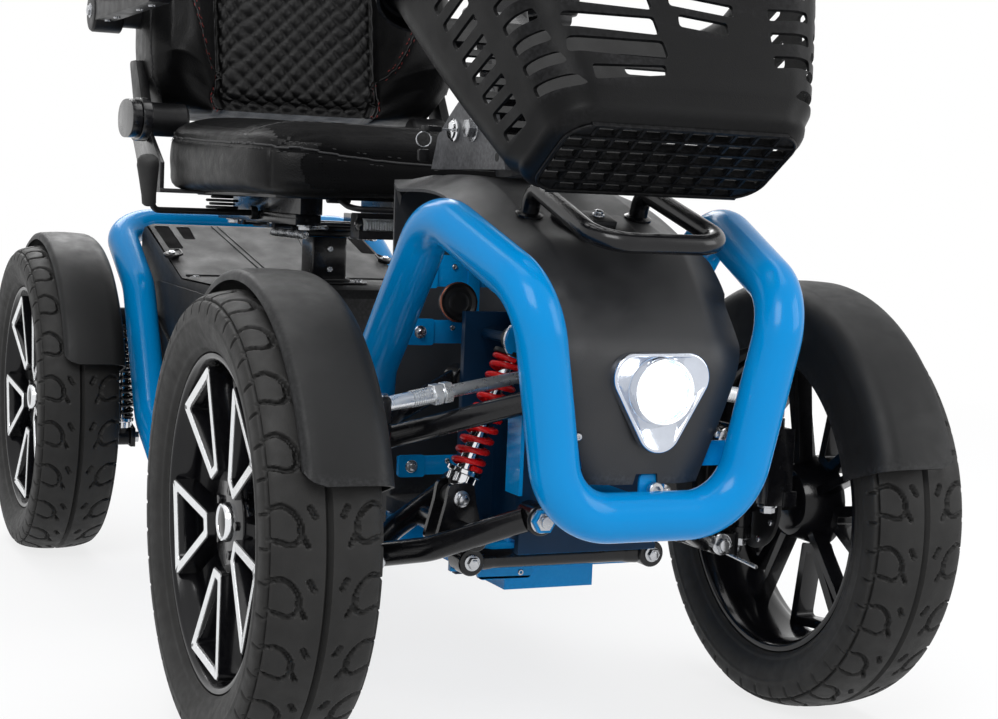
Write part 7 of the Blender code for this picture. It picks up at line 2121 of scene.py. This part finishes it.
def rounded_rectangle(half_x, half_y, radius, shift, z):
    """A ring of points round a rectangle with round corners, evenly spread, in the basket's own frame."""
    points = []
    for corner_x, corner_y, start in ((1, 1, 0), (-1, 1, 90), (-1, -1, 180), (1, -1, 270)):
        centre = (corner_x * (half_x - radius), corner_y * (half_y - radius) + shift)
        for k in range(13):
            angle = math.radians(start + 90 * k / 12)
            points.append((centre[0] + radius * math.cos(angle), centre[1] + radius * math.sin(angle)))
    even = []
    for (x0, y0), (x1, y1) in zip(points, points[1:] + points[:1]):
        steps = 1 if math.hypot(x1 - x0, y1 - y0) < 0.012 else 10
        even += [(x0 + (x1 - x0) * k / steps, y0 + (y1 - y0) * k / steps) for k in range(steps)]
    return [Vector((x, y, z)) for x, y in even]


def slot_outline(corners, radius=0.0045):
    shortest = min(math.dist(a, b) for a, b in zip(corners, corners[1:] + corners[:1]))
    return rounded_outline(corners, min(radius, shortest * 0.34), 4)


def basket():
    """The moulded basket: soft corners, slotted walls, a rolled rim and a gridded floor."""
    floor_half, rim_half, shift, height, wall = (0.118, 0.058), (0.170, 0.120), 0.010, 0.235, 0.0030
    rows = []
    for k in range(7):
        angle = math.radians(90 * k / 6)
        inset = 0.016 * (1 - math.sin(angle))
        rows.append(rounded_rectangle(floor_half[0] - inset, floor_half[1] - inset, 0.034 - inset, 0,
                                      0.016 * (1 - math.cos(angle))))
    for k in range(1, 25):
        share = k / 24
        z = 0.016 + (height - 0.006 - 0.016) * share
        up = z / height
        bulge = 0.0022 * math.sin(math.pi * share)
        rows.append(rounded_rectangle(floor_half[0] + (rim_half[0] - floor_half[0]) * up + bulge,
                                      floor_half[1] + (rim_half[1] - floor_half[1]) * up + bulge,
                                      0.034 + 0.012 * up, shift * up, z))
    for out, z in ((0.0030, height - 0.0020), (0.0060, height), (0.0085, height - 0.0012),
                   (0.0098, height - 0.0045), (0.0098, height - 0.0110)):
        rows.append(rounded_rectangle(rim_half[0] + out, rim_half[1] + out, 0.047 + out, shift, z))
    inside = Vector((0, 0.005, height * 0.6))
    walls = shell(rows, -wall, lambda point: point - inside, True)
    outer_floor = [Vector((point.x, point.y, -0.0002)) for point in rounded_rectangle(
        floor_half[0] - 0.012, floor_half[1] - 0.012, 0.022, 0, 0)]
    inner_floor = [Vector((point.x, point.y, 0.0030)) for point in outer_floor]
    bottom = sections([outer_floor, inner_floor])
    obj = piece("basket_shown", moved(walls, BASKET), BASKET_PLASTIC, "tiller_head", 38,
                ("basket",))
    in_front, on_left, on_right, behind = [], [], [], []
    for low, high, start, end in ((0.050, 0.067, -0.109, -0.020), (0.0695, 0.0865, -0.112, -0.026),
                                  (0.090, 0.106, -0.116, -0.030), (0.110, 0.126, -0.119, -0.033),
                                  (0.130, 0.146, -0.122, -0.036), (0.150, 0.166, -0.125, -0.040),
                                  (0.170, 0.186, -0.128, -0.043), (0.190, 0.204, -0.131, -0.046)):
        corners = [(start, low + 0.002), (end, low), (end - 0.004, high - 0.002), (start, high - 0.003)]
        in_front.append(slab(slot_outline(corners, 0.0058), "Y", -0.20, -0.03))
    corners = [(-0.088, 0.030), (-0.024, 0.037), (-0.024, 0.045), (-0.090, 0.042)]
    in_front.append(slab(slot_outline(corners, 0.003), "Y", -0.20, -0.03))
    for k in range(8):
        low = 0.076 + 0.0165 * k
        middle = low + 0.005
        reach = 0.036 * math.sqrt(max(0.0, 1 - ((middle - 0.140) / 0.076) ** 2))
        if reach > 0.012:
            slant = 0.10 * reach
            corners = [(0.0155 - reach, low + slant), (0.0155 + reach, low - slant),
                       (0.0155 + reach, low + 0.0105 - slant), (0.0155 - reach, low + 0.0105 + slant)]
            in_front.append(slab(slot_outline(corners), "Y", -0.20, -0.03))
    for k in range(8):
        low = 0.050 + 0.020 * k
        start, end = 0.078, 0.112 + 0.017 * low / 0.2
        corners = [(start, low), (end, low + 0.003), (end, low + 0.012), (start, low + 0.010)]
        in_front.append(slab(slot_outline(corners), "Y", -0.20, -0.03))
    for k in range(10):
        low = 0.024 + 0.0190 * k
        spread = 0.0012 * k
        for start, end in ((-0.064 - spread, -0.034), (-0.008, 0.028 + spread * 1.6)):
            corners = [(start, low + 0.001), (end, low + 0.006), (end, low + 0.0155), (start, low + 0.0110)]
            outline = slot_outline(corners, 0.0042)
            on_left.append(slab(outline, "X", 0.09, 0.21))
            on_right.append(slab(outline, "X", -0.21, -0.09))
    for k in range(7):
        low = 0.075 + 0.0190 * k
        for side in SIDES:
            start, end = sorted((side * 0.058, side * 0.120))
            corners = [(start, low), (end, low), (end, low + 0.010), (start, low + 0.010)]
            behind.append(slab(slot_outline(corners), "Y", 0.04, 0.20))
    cut(obj, [moved(joined(*group), BASKET) for group in (in_front, on_left, on_right, behind)])
    gaps = []
    columns, lines = 10, 6
    for i in range(columns):
        for j in range(lines):
            x, y = -0.0945 + 0.0210 * i, -0.0390 + 0.0156 * j
            if abs(x) > 0.085 and abs(y) > 0.030:
                continue
            corners = [(x - 0.0080, y - 0.0056), (x + 0.0080, y - 0.0056), (x + 0.0080, y + 0.0056),
                       (x - 0.0080, y + 0.0056)]
            gaps.append(slab(rounded_outline(corners, 0.0014, 3), "Z", -0.02, 0.02))
    floor = piece("basket_floor", moved(bottom, BASKET), BASKET_PLASTIC, "tiller_head", 38)
    cut(floor, [moved(joined(*gaps), BASKET)])
    ribs = []
    for j in range(lines + 1):
        y = -0.0468 + 0.0156 * j
        reach = 0.102 if abs(y) < 0.035 else 0.090
        ribs.append(block((-reach, y - 0.0012, -0.0020), (reach, y + 0.0012, 0.0060)))
    for i in range(columns + 1):
        x = -0.105 + 0.0210 * i
        reach = 0.044 if abs(x) < 0.090 else 0.028
        ribs.append(block((x - 0.0012, -reach, -0.0010), (x + 0.0012, reach, 0.0055)))
    rim_path = [Vector((point.x, point.y, -0.0006)) for point in rounded_rectangle(0.1060, 0.0465, 0.024, 0,
                                                                                   0)]
    ribs.append(tube([*rim_path, rim_path[0]], 0.0014, 10))
    piece("basket_floor_ribs", moved(joined(*ribs), BASKET), BASKET_PLASTIC, "tiller_head",
          38)


def main():
    camera()
    stage()
    wheels()
    fenders()
    hoops()
    front_cover()
    headlight()
    grab_loop()
    chassis()
    cross_link()
    foot_deck()
    front_suspension()
    rear_suspension()
    cushion()
    backrest()
    for side in SIDES:
        armrest(side)
    seat_works()
    seat_post()
    rear_cover()
    battery_pack()
    tiller()
    basket()


main()
